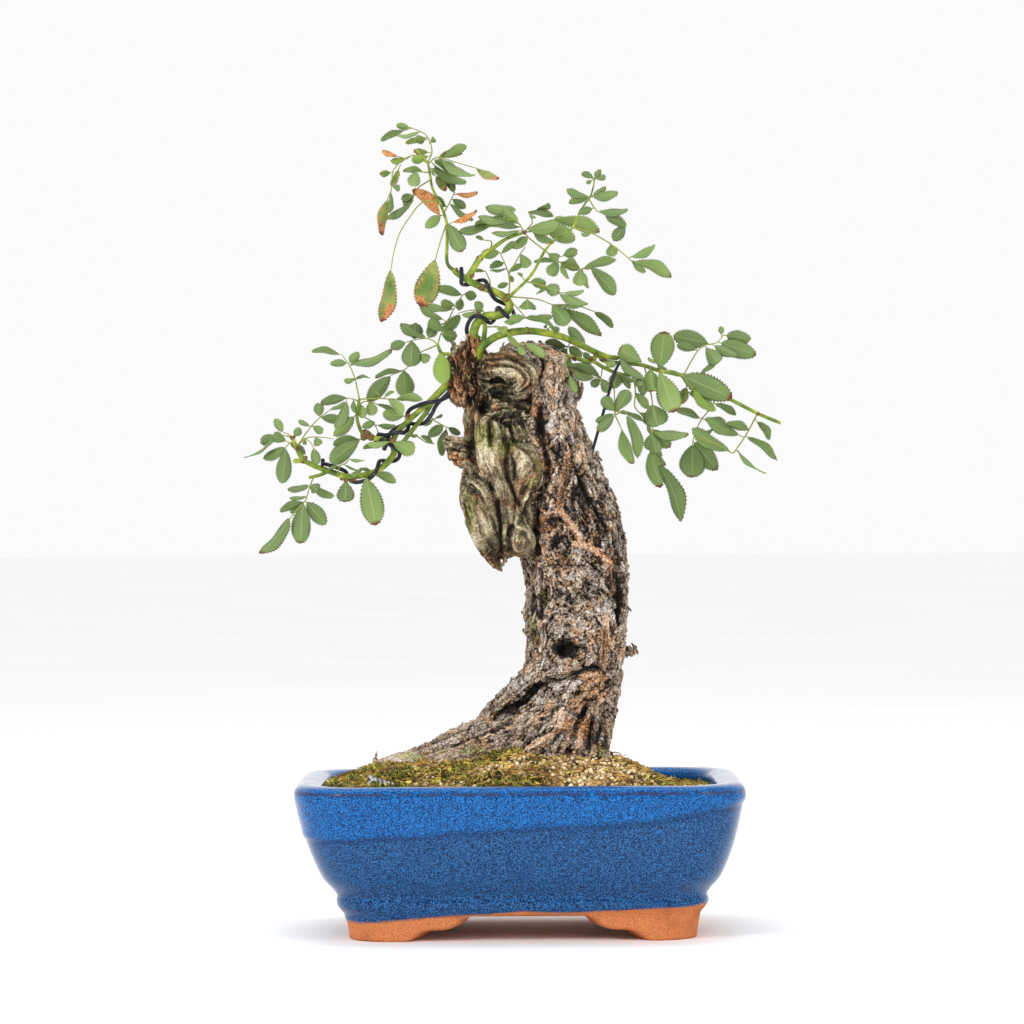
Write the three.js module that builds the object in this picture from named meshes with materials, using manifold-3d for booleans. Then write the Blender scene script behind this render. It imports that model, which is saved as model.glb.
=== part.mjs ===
// Rose bonsai in a glazed pot: pot, drain screens, soil, trunk, leafy branches and training wires.
// Millimetres, +Z up, the pot's front towards -Y, standing on z = 0.
import * as THREE from "three";
import { mergeVertices } from "three/addons/utils/BufferGeometryUtils.js";
import Module from "manifold-3d";

const wasm = await Module();
wasm.setup();

// Pot
const potWidth = 214;
const potDepth = 160;
const potHeight = 74;
const potCorner = 28;
const floorTop = 19.5;
const footRise = 12.2;
const holeRadius = 8;
const holeAcross = 45;
const screenSide = 24;
const screenThick = 0.8;

// Fits
const gap = 0.35;
const bladeThick = 1;
const stalkRadius = 0.45;
const wireRadius = 1.15;
const guyRadius = 0.75;
const tieRadius = 0.6;

// The plant's points are written as they show from the front, 2.06 m away, and each has its own depth.
const viewDistance = 2060;
const viewHeight = 204.9;
const viewSide = -2.94;
const viewRoll = THREE.MathUtils.degToRad(0.33);
const viewLift = 1.7;

const colours = {
  glaze: 0x1f4687,
  screen: 0x202225,
  soil: 0x6b5d2c,
  wood: 0x5c4a3c,
  leaf: 0x5f8442,
  wire: 0x2a2b33,
  steel: 0x9fa3a8,
};

const group = new THREE.Group();

function seen(x, z, y) {
  const across = x - viewSide;
  const up = z + viewLift - viewHeight;
  const scale = (viewDistance + y) / viewDistance;
  const levelX = across * Math.cos(viewRoll) + up * Math.sin(viewRoll);
  const levelZ = up * Math.cos(viewRoll) - across * Math.sin(viewRoll);
  return new THREE.Vector3(viewSide + levelX * scale, y, viewHeight + levelZ * scale);
}

function randomFrom(seed) {
  let state = seed >>> 0;
  return () => {
    state = (state * 1664525 + 1013904223) >>> 0;
    return state / 4294967296;
  };
}

function solidOf(geometry) {
  const plain = geometry.index ? geometry.toNonIndexed() : geometry.clone();
  plain.deleteAttribute("normal");
  plain.deleteAttribute("uv");
  const merged = mergeVertices(plain, 1e-4);
  const mesh = new wasm.Mesh({
    numProp: 3,
    vertProperties: new Float32Array(merged.attributes.position.array),
    triVerts: new Uint32Array(merged.index.array),
  });
  return new wasm.Manifold(mesh);
}

function joined(solids) {
  return solids.reduce((sum, next) => sum.add(next));
}

function addNode(name, solid, colour, roughness, metalness = 0) {
  const mesh = solid.getMesh();
  const geometry = new THREE.BufferGeometry();
  geometry.setAttribute("position", new THREE.BufferAttribute(mesh.vertProperties, 3));
  geometry.setIndex(new THREE.BufferAttribute(mesh.triVerts, 1));
  geometry.computeVertexNormals();
  const material = new THREE.MeshStandardMaterial({ color: colour, roughness, metalness });
  const node = new THREE.Mesh(geometry, material);
  node.name = name;
  group.add(node);
}

function closedSurface(points, triangles) {
  const geometry = new THREE.BufferGeometry();
  geometry.setAttribute("position", new THREE.Float32BufferAttribute(points.flatMap((p) => p.toArray()), 3));
  geometry.setIndex(triangles.flat());
  return solidOf(geometry);
}

// Rings of equal count, listed from the first end to the last, become one closed solid.
function lofted(rings) {
  const count = rings[0].length;
  const points = rings.flat();
  const triangles = [];
  for (let ring = 0; ring + 1 < rings.length; ring += 1) {
    for (let step = 0; step < count; step += 1) {
      const next = (step + 1) % count;
      const low = ring * count;
      const high = low + count;
      triangles.push([low + step, low + next, high + next]);
      triangles.push([low + step, high + next, high + step]);
    }
  }
  const last = (rings.length - 1) * count;
  const middle = (ring) => ring.reduce((sum, p) => sum.add(p), new THREE.Vector3()).divideScalar(count);
  points.push(middle(rings[0]), middle(rings[rings.length - 1]));
  for (let step = 0; step < count; step += 1) {
    const next = (step + 1) % count;
    triangles.push([points.length - 2, next, step]);
    triangles.push([points.length - 1, last + step, last + next]);
  }
  return closedSurface(points, triangles);
}

function roundedRing(halfX, halfY, corner, z) {
  const arcSteps = 4;
  const ring = [];
  for (let quarter = 0; quarter < 4; quarter += 1) {
    const signX = quarter === 0 || quarter === 3 ? 1 : -1;
    const signY = quarter < 2 ? 1 : -1;
    for (let step = 0; step <= arcSteps; step += 1) {
      const angle = ((quarter + step / arcSteps) * Math.PI) / 2;
      const x = signX * (halfX - corner) + corner * Math.cos(angle);
      const y = signY * (halfY - corner) + corner * Math.sin(angle);
      ring.push(new THREE.Vector3(x, y, z));
    }
  }
  return ring;
}

// Pot: half widths in X from the foot up to the rounded rim, then down the inside
const potOutside = [
  [0, 81.5], [8.4, 82.7], [13.2, 84.6], [15, 87.2], [18.5, 88.3], [21, 88.8], [29.5, 95],
  [41, 100], [50.5, 103], [64, 106], [70, 107], [72.6, 106.6], [73.7, 105], [74, 103],
];
const potInside = [
  [74, 98.5], [73.4, 96], [71.5, 94.8], [68, 95.2], [62, 97.4], [50, 95.6], [41, 92.6], [29.5, 87.4],
];
const potFloor = [[22, 80.5], [floorTop, 74]];
const depthLess = (potWidth - potDepth) / 2;

function potRing([z, half], less = 0) {
  const narrowed = half - less;
  const corner = potCorner - (potWidth / 2 - narrowed) * 0.35;
  return roundedRing(narrowed, narrowed - depthLess, corner, z);
}

function extrudedBlock(outline, from, to) {
  const shape = new THREE.Shape(outline.map(([x, y]) => new THREE.Vector2(x, y)));
  const geometry = new THREE.ExtrudeGeometry(shape, { depth: to - from, bevelEnabled: false });
  geometry.translate(0, 0, from);
  return geometry;
}

function archOutline(points) {
  const mirrored = points.map(([x, z]) => [-x, z]).reverse();
  return [...points, ...mirrored];
}

function buildPot() {
  const shell = lofted([...potOutside, ...potInside, ...potFloor].map((row) => potRing(row)));
  const frontArch = archOutline([
    [58.4, -2], [58.4, 0], [56, 1.3], [52.8, 3.8], [49.3, 5], [38.8, 5.8], [35, 7.4], [31.6, 10.4],
    [26.9, footRise],
  ]);
  const sideArch = archOutline([
    [32, -2], [32, 0], [30, 1.3], [27.5, 3.8], [25, 5], [18.5, 5.8], [15.5, 7.4], [13, 10.4],
    [9.5, footRise],
  ]);
  const throughDepth = extrudedBlock(frontArch, -potDepth, potDepth).rotateX(Math.PI / 2);
  const throughWidth = extrudedBlock(sideArch, -potWidth, potWidth).rotateX(Math.PI / 2).rotateZ(Math.PI / 2);
  const pocket = lofted([-2, footRise].map((z) => roundedRing(65, 38, 10, z)));
  let pot = shell.subtract(solidOf(throughDepth)).subtract(solidOf(throughWidth)).subtract(pocket);
  for (const side of [-1, 1]) {
    const hole = new THREE.CylinderGeometry(holeRadius, holeRadius, 4 * floorTop, 16).rotateX(Math.PI / 2);
    pot = pot.subtract(solidOf(hole.translate(side * holeAcross, 0, 0)));
  }
  return pot;
}

function drainScreen(side) {
  const openings = 3;
  const pitch = screenSide / openings;
  let screen = solidOf(new THREE.BoxGeometry(screenSide, screenSide, screenThick));
  for (let row = 0; row < openings; row += 1) {
    for (let column = 0; column < openings; column += 1) {
      const opening = new THREE.BoxGeometry(pitch * 0.7, pitch * 0.7, 3 * screenThick);
      opening.translate((column + 0.5) * pitch - screenSide / 2, (row + 0.5) * pitch - screenSide / 2, 0);
      screen = screen.subtract(solidOf(opening));
    }
  }
  return screen.translate([side * holeAcross, 0, floorTop + gap + screenThick / 2]);
}

// Soil: fills the pot and rises in a mound to the trunk and along the root
function soilHeight(x, y) {
  const hump = (at, wide) => Math.exp(-(Math.abs((x - at) / wide) ** 4));
  const across = Math.exp(-((y / 48) ** 2));
  const lumps = 0.5 * Math.sin(x * 0.21 + y * 0.13) + 0.4 * Math.sin(y * 0.27 - x * 0.09);
  const front = y < 0 ? 2.2 * Math.min(1, -y / 50) : -1.2 * Math.min(1, y / 50);
  return 70.6 - x / 80 + front + (13.4 * hump(24, 34) + 9.8 * hump(-38, 42)) * across + lumps * across;
}

function buildSoil(hole) {
  const walls = [[floorTop + gap, 73], [22.4, 80.2], ...potInside.slice(3).reverse().map((row) => [...row])];
  const rings = walls.map((row) => potRing(row, gap));
  const edge = potRing([70, 94.9], gap);
  for (const share of [1, 0.9, 0.76, 0.6, 0.42, 0.22]) {
    const settled = edge.map((p) => {
      const x = p.x * share;
      const y = p.y * share;
      return new THREE.Vector3(x, y, share === 1 ? Math.min(soilHeight(x, y), 72) : soilHeight(x, y));
    });
    rings.push(settled);
  }
  let soil = lofted(rings).subtract(hole);
  const recess = screenSide + 2;
  for (const side of [-1, 1]) {
    const box = new THREE.BoxGeometry(recess, recess, 2 * (screenThick + gap));
    soil = soil.subtract(solidOf(box.translate(side * holeAcross, 0, floorTop + gap)));
  }
  return soil;
}

// A stem's rows are x, z, depth y and radius; the curve through them carries the radius along.
function stemOf(rows) {
  const curve = new THREE.CatmullRomCurve3(rows.map(([x, z, y]) => seen(x, z, y)), false, "centripetal");
  const spans = rows.length - 1;
  const radiusAt = (t) => {
    const place = Math.min(t * spans, spans - 1e-6);
    const row = Math.floor(place);
    return THREE.MathUtils.lerp(rows[row][3], rows[row + 1][3], place - row);
  };
  return { curve, spans, radiusAt };
}

function sideways(tangent) {
  const side = new THREE.Vector3().crossVectors(tangent, new THREE.Vector3(0, 1, 0));
  if (side.lengthSq() < 1e-4) side.set(1, 0, 0);
  return side.normalize();
}

// A round or flattened limb along a stem, closed at both ends, grown by the clearance and run on beyond
// its last point
function limb(stem, { sides = 6, clearance = 0, flat = 1, ripple = 0, beyond = 0 } = {}) {
  const rings = [];
  const count = stem.spans;
  for (let step = 0; step <= count; step += 1) {
    const t = step / count;
    const centre = stem.curve.getPoint(t);
    const tangent = stem.curve.getTangent(t);
    const side = sideways(tangent);
    const across = new THREE.Vector3().crossVectors(tangent, side).normalize();
    if (step === 0) centre.addScaledVector(tangent, -clearance);
    if (step === count) centre.addScaledVector(tangent, clearance + beyond);
    const ring = [];
    for (let turn = 0; turn < sides; turn += 1) {
      const angle = (turn * 2 * Math.PI) / sides;
      const lobed = 1 + ripple * Math.sin(3 * angle + 0.7 * step) + 0.6 * ripple * Math.sin(5 * angle - step);
      const radius = stem.radiusAt(t) * lobed + clearance;
      ring.push(centre.clone()
        .addScaledVector(side, radius * Math.cos(angle))
        .addScaledVector(across, radius * flat * Math.sin(angle)));
    }
    rings.push(ring);
  }
  return lofted(rings);
}

function egg(x, z, y, radiusX, radiusY, radiusZ, sides = 10, rings = 7) {
  const geometry = new THREE.SphereGeometry(1, sides, rings);
  geometry.rotateX(Math.PI / 2).scale(radiusX, radiusY, radiusZ);
  const at = seen(x, z, y);
  return solidOf(geometry.translate(at.x, at.y, at.z));
}

// Trunk: rows are height z, left and right edge x, front and back edge y
const trunkRows = [
  [48, -4, 40, -20, 20], [66, -9, 43, -24, 24], [80, -14, 43.5, -27, 25], [91, -15, 43.8, -25, 24],
  [102, -9, 46, -23, 23], [112, -2, 48.7, -21, 22], [122, 2, 50.5, -20, 21], [132, 5, 52, -19.5, 21],
  [141, 5, 53, -19, 21], [152, 5, 53.5, -19, 21], [165, 6, 54, -19, 21], [178, 3, 54, -19, 21],
  [190, 2, 52.4, -19, 20], [205, 0, 47.5, -18, 19], [220, -2, 42, -18, 18], [235, -4, 35.5, -18, 17],
  [248, -8, 29.6, -18, 17], [258, -10, 27, -17, 17], [268, -14, 28.2, -17, 17], [276, -12, 25.5, -15, 15],
  [281, -7, 19.5, -11, 12], [284, 1, 13, -5, 6],
];
const deadwoodRows = [
  [174, -9.6, -7, -15, -11], [178, -14.6, -6.4, -18, -8], [182, -17, 3, -20, -4],
  [189.5, -20, 8.3, -22.5, 2],
  [199, -23.5, 9, -23.5, 4], [209, -26, 10, -24, 6], [218, -28.6, 11, -24, 7], [226, -25.6, 11, -24, 8],
  [236, -26, 10.5, -24, 8], [245, -27, 10, -23, 9], [252, -26.5, 9, -21.5, 10], [258, -24.5, 8, -19.5, 12],
  [265, -23, 6, -18, 12], [273, -20, 4, -16, 12], [281, -14, 2, -11, 10],
];

function woodRings(rows, sides, clearance, seed) {
  return rows.map(([z, left, right, front, back], row) => {
    const centre = seen((left + right) / 2, z, (front + back) / 2);
    const ring = [];
    if (row === 0) centre.z -= clearance;
    for (let turn = 0; turn < sides; turn += 1) {
      const angle = (turn * 2 * Math.PI) / sides;
      const flute = 0.035 * Math.sin(5 * angle + 0.45 * row + seed) + 0.03 * Math.sin(9 * angle - 0.8 * row);
      const radiusX = ((right - left) / 2) * (1 + flute) + clearance;
      const radiusY = ((back - front) / 2) * (1 + flute) + clearance;
      const x = centre.x + radiusX * Math.sign(Math.cos(angle)) * Math.abs(Math.cos(angle)) ** 0.85;
      const y = centre.y + radiusY * Math.sign(Math.sin(angle)) * Math.abs(Math.sin(angle)) ** 0.85;
      ring.push(new THREE.Vector3(x, y, centre.z));
    }
    return ring;
  });
}

const leftRoot = stemOf([
  [12, 88, -2, 20], [-8, 87, -3, 18.5], [-22, 84, -4, 15.5], [-36, 80.5, -5, 12.5], [-50, 77.3, -6, 10],
  [-60, 76, -7, 8], [-68, 74, -8, 5.5], [-75, 69, -9, 3],
]);
const frontRoot = stemOf([[16, 104, -12, 11], [10, 88, -21, 9], [0, 76, -29, 6], [-8, 66, -35, 3]]);
const rightRoot = stemOf([[34, 106, -9, 10], [36, 90, -17, 8.5], [39, 76, -24, 6], [44, 64, -29, 3]]);
const backRoot = stemOf([[20, 104, 10, 12], [26, 86, 20, 9], [34, 74, 29, 6], [42, 64, 36, 3]]);

function trunkFoot(clearance) {
  return joined([
    lofted(woodRings(trunkRows, 16, clearance, 0)),
    limb(leftRoot, { sides: 10, clearance, flat: 0.92, ripple: 0.035 }),
    limb(frontRoot, { sides: 8, clearance, ripple: 0.05 }),
    limb(rightRoot, { sides: 8, clearance, ripple: 0.05 }),
    limb(backRoot, { sides: 8, clearance, ripple: 0.05 }),
  ]);
}

const beak = stemOf([[-20, 234, -9, 9.5], [-27.5, 234, -9, 8.6], [-32, 236, -8, 6], [-35.4, 239.4, -8, 2]]);
const sideStub = stemOf([[46, 135.5, 2, 3], [52, 135.6, 2, 3], [55.6, 135.2, 2, 2.6]]);
const burrHorn = stemOf([[-28, 276, -2, 4], [-30.5, 282, -3, 2.4], [-32.4, 286.4, -3, 1.2]]);
const burrPeg = stemOf([[-25, 276, -2, 4.5], [-26, 283, -3, 2.2], [-27.4, 286, -3, 1]]);
const collar = stemOf([[-20, 270, -4, 9], [-21, 279, -4, 6.5], [-22, 286, -4, 4.4], [-22.4, 289, -4, 3.2]]);

function trunkForms() {
  return [
    lofted(woodRings(deadwoodRows, 12, 0, 2)),
    egg(-26.5, 270, -3, 9, 12, 15.5, 12, 8),
    egg(-27.5, 262, -4, 7, 9, 7),
    egg(-2, 271, -13, 13.5, 9, 11.5, 12, 8),
    egg(2, 228, -18.5, 7.5, 7.5, 16),
    egg(3, 188, -19, 7, 6.5, 8),
    egg(27, 262, 1, 4.6, 6, 5),
    egg(4, 281.5, 0, 13, 11, 4.6),
    limb(beak, { sides: 8, flat: 0.75 }),
    limb(sideStub, { sides: 6 }),
    limb(burrHorn, { sides: 6 }),
    limb(burrPeg, { sides: 6 }),
    limb(collar, { sides: 8, ripple: 0.05 }),
  ];
}

function trunkHollows() {
  return [
    egg(-15.5, 254.5, -22, 7, 8, 4.6),
    egg(22.5, 136, -20, 5.6, 6, 4.8),
    egg(11.5, 214, -25, 2.4, 8.5, 32),
  ];
}

// Left cane with its stub, twigs and knobs
const leftCane = stemOf([
  [-26, 272.5, -2, 2], [-33, 268, -5, 2], [-36.5, 264, -6, 1.95], [-41, 259, -5, 1.85], [-47, 253, -4, 1.8],
  [-55, 246, -3, 1.75], [-60, 240.8, -3, 1.75], [-61.3, 236.5, -3, 1.7], [-60.8, 232.3, -3, 1.65],
  [-64, 227.5, -3, 1.6], [-70, 223, -4, 1.55], [-76, 221.2, -5, 1.5], [-84, 220.6, -6, 1.45],
  [-92, 223, -7, 1.4], [-100, 225.9, -8, 1.3], [-105, 228.2, -8, 1.25], [-109.3, 228.2, -8, 1.15],
]);
const leftTwigs = [
  [[-60.5, 238, -3, 1.4], [-66, 238.7, -3, 1.3], [-72, 239.8, -2, 1.4], [-76, 241, -2, 1.5]],
  [[-75.5, 240.5, -2, 1.1], [-77.5, 244, -2, 0.9], [-79, 250, -2, 0.8], [-77.8, 258.5, -2, 0.75]],
  [[-105, 228.6, -8, 1.5], [-108, 233.5, -8, 1.2], [-110.6, 239.5, -7, 1]],
  [[-40, 259, 1, 1.5], [-47, 250.5, 2, 1.3], [-54, 242, 3, 1.1], [-58.6, 238.5, 0, 0.9]],
  [[-93, 223, -7, 1], [-97, 221.4, -8, 0.9], [-102, 220.2, -9, 0.8]],
];
const leftKnobs = [[-74.4, 240.3, -2.2, 2.9], [-105, 228.9, -8, 2]];

// Crown cane with the tall twig, the middle twig, the long front shoot and the thin inner stem
const crownCane = stemOf([
  [-21.5, 280, -4, 2.4], [-22, 287, -4, 2.3], [-21.6, 292, -5, 2.2], [-19.5, 296.6, -6, 2.15],
  [-15.5, 299.2, -7, 2.1],
  [-10, 299.7, -8, 2.1], [-5.4, 301.5, -8, 2.05], [-4.2, 305, -8, 2], [-7, 308.7, -8, 1.9],
  [-12, 311.4, -8, 1.8],
  [-18, 313.6, -8, 1.7], [-24, 316.6, -8, 1.7], [-28.6, 319.6, -8, 1.6], [-31, 321.3, -8, 1.4],
]);
const crownTwigs = [
  [
    [-30.4, 320.8, -8, 1.1], [-34.4, 324.6, -7, 0.85], [-34.8, 335, -5, 0.8], [-35, 345, -2, 0.75],
    [-38, 354, 1, 0.7], [-42, 362, 5, 0.65], [-43.2, 369, 8, 0.6], [-44.5, 374.5, 10, 0.55],
    [-49.8, 381, 12, 0.45],
  ],
  [
    [-25, 318, -8, 1.6], [-22, 322.3, -8, 1.6], [-18.6, 327.6, -8, 1.5], [-13, 332, -9, 1.05],
    [-6, 337, -10, 0.9], [3, 340.4, -11, 0.75],
  ],
  [
    [-5, 307, -9, 1.2], [-3, 310, -12, 1], [3, 315.6, -16, 0.9], [7.5, 321, -19, 0.85], [13, 331, -22, 0.8],
    [17, 335.8, -24, 0.75], [27, 343, -27, 0.7], [30.2, 350, -29, 0.65], [33, 354.6, -30, 0.6],
    [35.3, 357.6, -31, 0.6], [37, 363, -32, 0.5], [37.5, 367, -33, 0.45],
  ],
  [[-16.8, 298.3, -6.6, 1.1], [-16.2, 293.5, -4.6, 1.15], [-16.8, 288, -3, 1.25], [-17.5, 281, -2, 1.4]],
];
const crownKnobs = [[-5.5, 307.8, -9, 2.4], [-30.6, 321, -8, 1.9]];

// Right cane, its long thin run and the lower stem that joins it
const rightCane = stemOf([
  [-19, 279.5, -9, 2], [-18, 283.5, -11, 1.95], [-11.5, 288.8, -12, 1.9], [-4, 291.2, -12, 1.85],
  [5, 292, -10, 1.8],
  [14, 291, -8, 1.75], [22, 289, -6, 1.7], [30, 285.5, -5, 1.6], [38, 281.6, -4, 1.5], [44, 279.4, -4, 1.3],
  [48.4, 278.8, -4, 1.2],
]);
const rightTwigs = [
  [
    [38.5, 281, -4, 1.2], [42, 277.6, -3, 1.1], [51, 276.2, 0, 1.05], [60.8, 275.3, 2, 1.05],
    [69, 272.6, 4, 1],
    [81.3, 269.9, 8, 1], [92, 264.5, 13, 1], [105.4, 257.8, 20, 0.95], [117.5, 251.6, 26, 0.9],
    [128.2, 247, 31, 0.85],
  ],
  [
    [38.6, 281, -4, 1.3], [36, 277, -4, 1.05], [28, 278.8, -1, 1.1], [20, 280.3, 2, 1.1],
    [9, 279.5, 3, 1.2],
  ],
  [[36.6, 277, -4, 1], [44.6, 272.8, -7, 0.9], [51, 270.8, -9, 0.8], [56.6, 270.2, -10, 0.7]],
];
const rightKnobs = [[38.6, 280.6, -4.2, 1.9], [5, 291.8, -10.4, 2.1]];
const topShoot = stemOf([
  [-29, 279.5, -5, 1.3], [-34, 280.6, -7, 1], [-37.4, 281, -6, 0.9], [-39.4, 285.2, -3, 0.8],
]);

// Compound leaves: the leaf stalk's points x, z, y, then its leaflets as base x, z, tip x, z and the
// width that shows. A sixth number is how much deeper the tip lies than the base.
const leftLeaves = [
  [[[-110.6, 238, -7], [-112.6, 236.4, -6], [-113.8, 235, -5]], [
    [-114, 234.4, -124.5, 229.3, 5, 5], [-113.9, 234, -115.6, 217, 7.3, -3],
    [-111.4, 237, -104.5, 232, 3.6, 6], [-112.6, 239.4, -120.6, 241, 5.2, -5],
  ]],
  [[[-110.6, 239.5, -7], [-114, 240.6, -3], [-118, 240.8, 1]], [
    [-118.4, 240, -126, 237.2, 5.4, 3], [-118, 241.4, -132.8, 228, 2.4, -9],
  ]],
  [[[-107, 236, -8], [-101.6, 245, -4], [-97, 249.6, 1], [-92, 253.4, 5]], [
    [-96.6, 249.4, -86.4, 248.4, 4.6, 4], [-93, 252.8, -85, 256.8, 2.4, 6],
  ]],
  [[[-107.4, 236.4, -8], [-104, 238.8, -14], [-101.4, 236.8, -17], [-100, 234, -18]], [
    [-100, 234.3, -98.4, 225.9, 4.6, -4],
  ]],
  [[[-77.8, 258.4, -2], [-80, 268.5, 2], [-82.6, 275, 6], [-86.6, 280.6, 9]], [
    [-86.8, 280.8, -100.6, 283.2, 2.8, 6], [-84, 276.6, -92, 276, 3.6, 3],
    [-82.2, 275, -61.6, 281, 4.8, 8], [-79.8, 269, -72.4, 270, 1.8, -6],
  ]],
  [[[-77.8, 258.2, -2], [-70.4, 258.9, -6], [-64, 258.7, -9], [-59.6, 258.6, -10]], [
    [-63.4, 258.4, -55.2, 250.8, 5.2, -7], [-60, 259.2, -46.6, 259.6, 4, -2],
  ]],
  [[[-78, 257.4, -2], [-81, 258.6, -5], [-83.6, 259.2, -7]], [
    [-83.5, 259.3, -97, 256.8, 4.5, -4], [-84, 257, -88.6, 243.6, 5.8, -8],
  ]],
  [[[-78.4, 255, -2], [-75.4, 257.4, 3], [-73, 257.4, 5]], [[-77, 256, -76, 249, 4.4, -3]]],
  [[[-73, 257.4, 5], [-70, 256.4, 8]], [[-69.4, 255.6, -61, 253, 2.2, 4]]],
  [[[-79, 250.6, -2], [-76, 250, 3], [-70.6, 246.6, 6], [-68, 240.4, 5]], [
    [-69.4, 246.8, -60.2, 245.2, 2.6, 3],
  ]],
  [[[-78.6, 252, -2], [-80, 250.4, 2]], [[-79.5, 250, -90, 240.6, 6, 4]]],
  [[[-76, 240.2, -2], [-77.6, 238.4, -6]], [
    [-77.4, 238, -93, 227.4, 8.4, -9], [-77.8, 239.2, -90.4, 237, 5, 4],
  ]],
  [[[-53.8, 250, -4], [-56, 250.4, -9]], [[-55, 250.4, -66.8, 251.4, 6, -5]]],
  [[[-61.4, 237.2, -4], [-63, 237.6, -10.6]], [
    [-61.4, 237.8, -50.3, 232.9, 7.4, -8], [-63.6, 237.6, -74, 236, 3.4, -5],
  ]],
  [[[-66, 238.6, -3], [-65.6, 237, 3], [-66.8, 236, 8]], [[-68, 236.2, -76, 235, 2.6, 3]]],
  [[[-84, 219, -6.5], [-84.4, 218, -8]], [[-84.4, 218.2, -84.8, 207.8, 8.4, -3]]],
  [[[-74, 221.6, -5], [-74.4, 219.8, -9]], [[-74.4, 219.8, -69.4, 196.2, 11, -6]]],
  [[[-71, 222.6, -4], [-70.6, 221.6, -9]], [
    [-70.6, 223, -60, 218.3, 4.4, 5], [-70.4, 223.6, -78, 224.4, 2, 2],
  ]],
  [[[-87, 221, -6.4], [-88.4, 222.4, -11], [-87, 226, -13], [-84.4, 227.1, -13]], [
    [-85.4, 226.8, -77, 222.8, 1.2, 2],
  ]],
  [[[-84.4, 227.1, -13], [-82.8, 229.2, -13]], [[-82.6, 229.5, -75.2, 228.1, 1.6, -3]]],
  [[[-100, 220.4, -9], [-102, 216, -12], [-104.4, 208.8, -16], [-108.5, 204, -19], [-111.4, 200.6, -21]], [
    [-102.6, 215.8, -112.8, 214, 3.4, 5], [-100.6, 215.8, -90.8, 210.4, 4, 4],
    [-104, 210.6, -112, 209.8, 2, 4], [-104.8, 208.4, -117, 204, 4, -2],
    [-103.4, 208.4, -94.4, 197.2, 7.2, 5], [-105, 207.6, -107, 187, 9, -7],
    [-111.2, 201.6, -125.4, 181.4, 6.6, -4],
  ]],
];

const topShootLeaves = [
  [[[-37.4, 281, -6], [-38, 281.4, -12.5]], [[-38.2, 281.2, -36.4, 265.8, 8.8, -5]]],
  [[[-38.4, 283, -5], [-40.4, 286.2, -2], [-44, 288.2, 1], [-50, 287.8, 3], [-55, 286.4, 4]], [
    [-45, 289, -57.5, 295, 4.8, 8], [-44, 288.8, -40.4, 295.6, 5.4, 6], [-50.8, 288, -50, 295.6, 7.2, 5],
    [-54.8, 286.4, -62.4, 284, 4.8, 3], [-52, 287, -52.6, 274.2, 9.4, -5],
  ]],
  [[[-39.6, 285.2, -3], [-43, 283.6, 0], [-48.6, 281, 3], [-53.4, 275, 6], [-56, 272.8, 8],
   [-62.4, 270.2, 9]], [
    [-56.4, 273.6, -70, 270.6, 2.8, 5], [-56, 272.6, -55, 259.4, 9, 4],
    [-62.6, 270, -73.6, 257.6, 7.2, 5],
  ]],
  [[[-39.4, 285.2, -3], [-37.6, 291, 3], [-33, 299.6, 6], [-31.4, 303, 7], [-28, 308.4, 8],
   [-26.6, 310, 8]], [
    [-37.5, 290.6, -30, 289.4, 6.2, 3], [-37, 291.4, -28.6, 299.2, 5.6, 7],
    [-37, 298, -49.6, 304.8, 4, -2], [-32, 303, -46.2, 304.4, 3.8, 6], [-37, 297.8, -44, 293, 2, 5],
    [-27, 310, -40, 313.2, 4.6, 3],
  ]],
];

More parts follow.
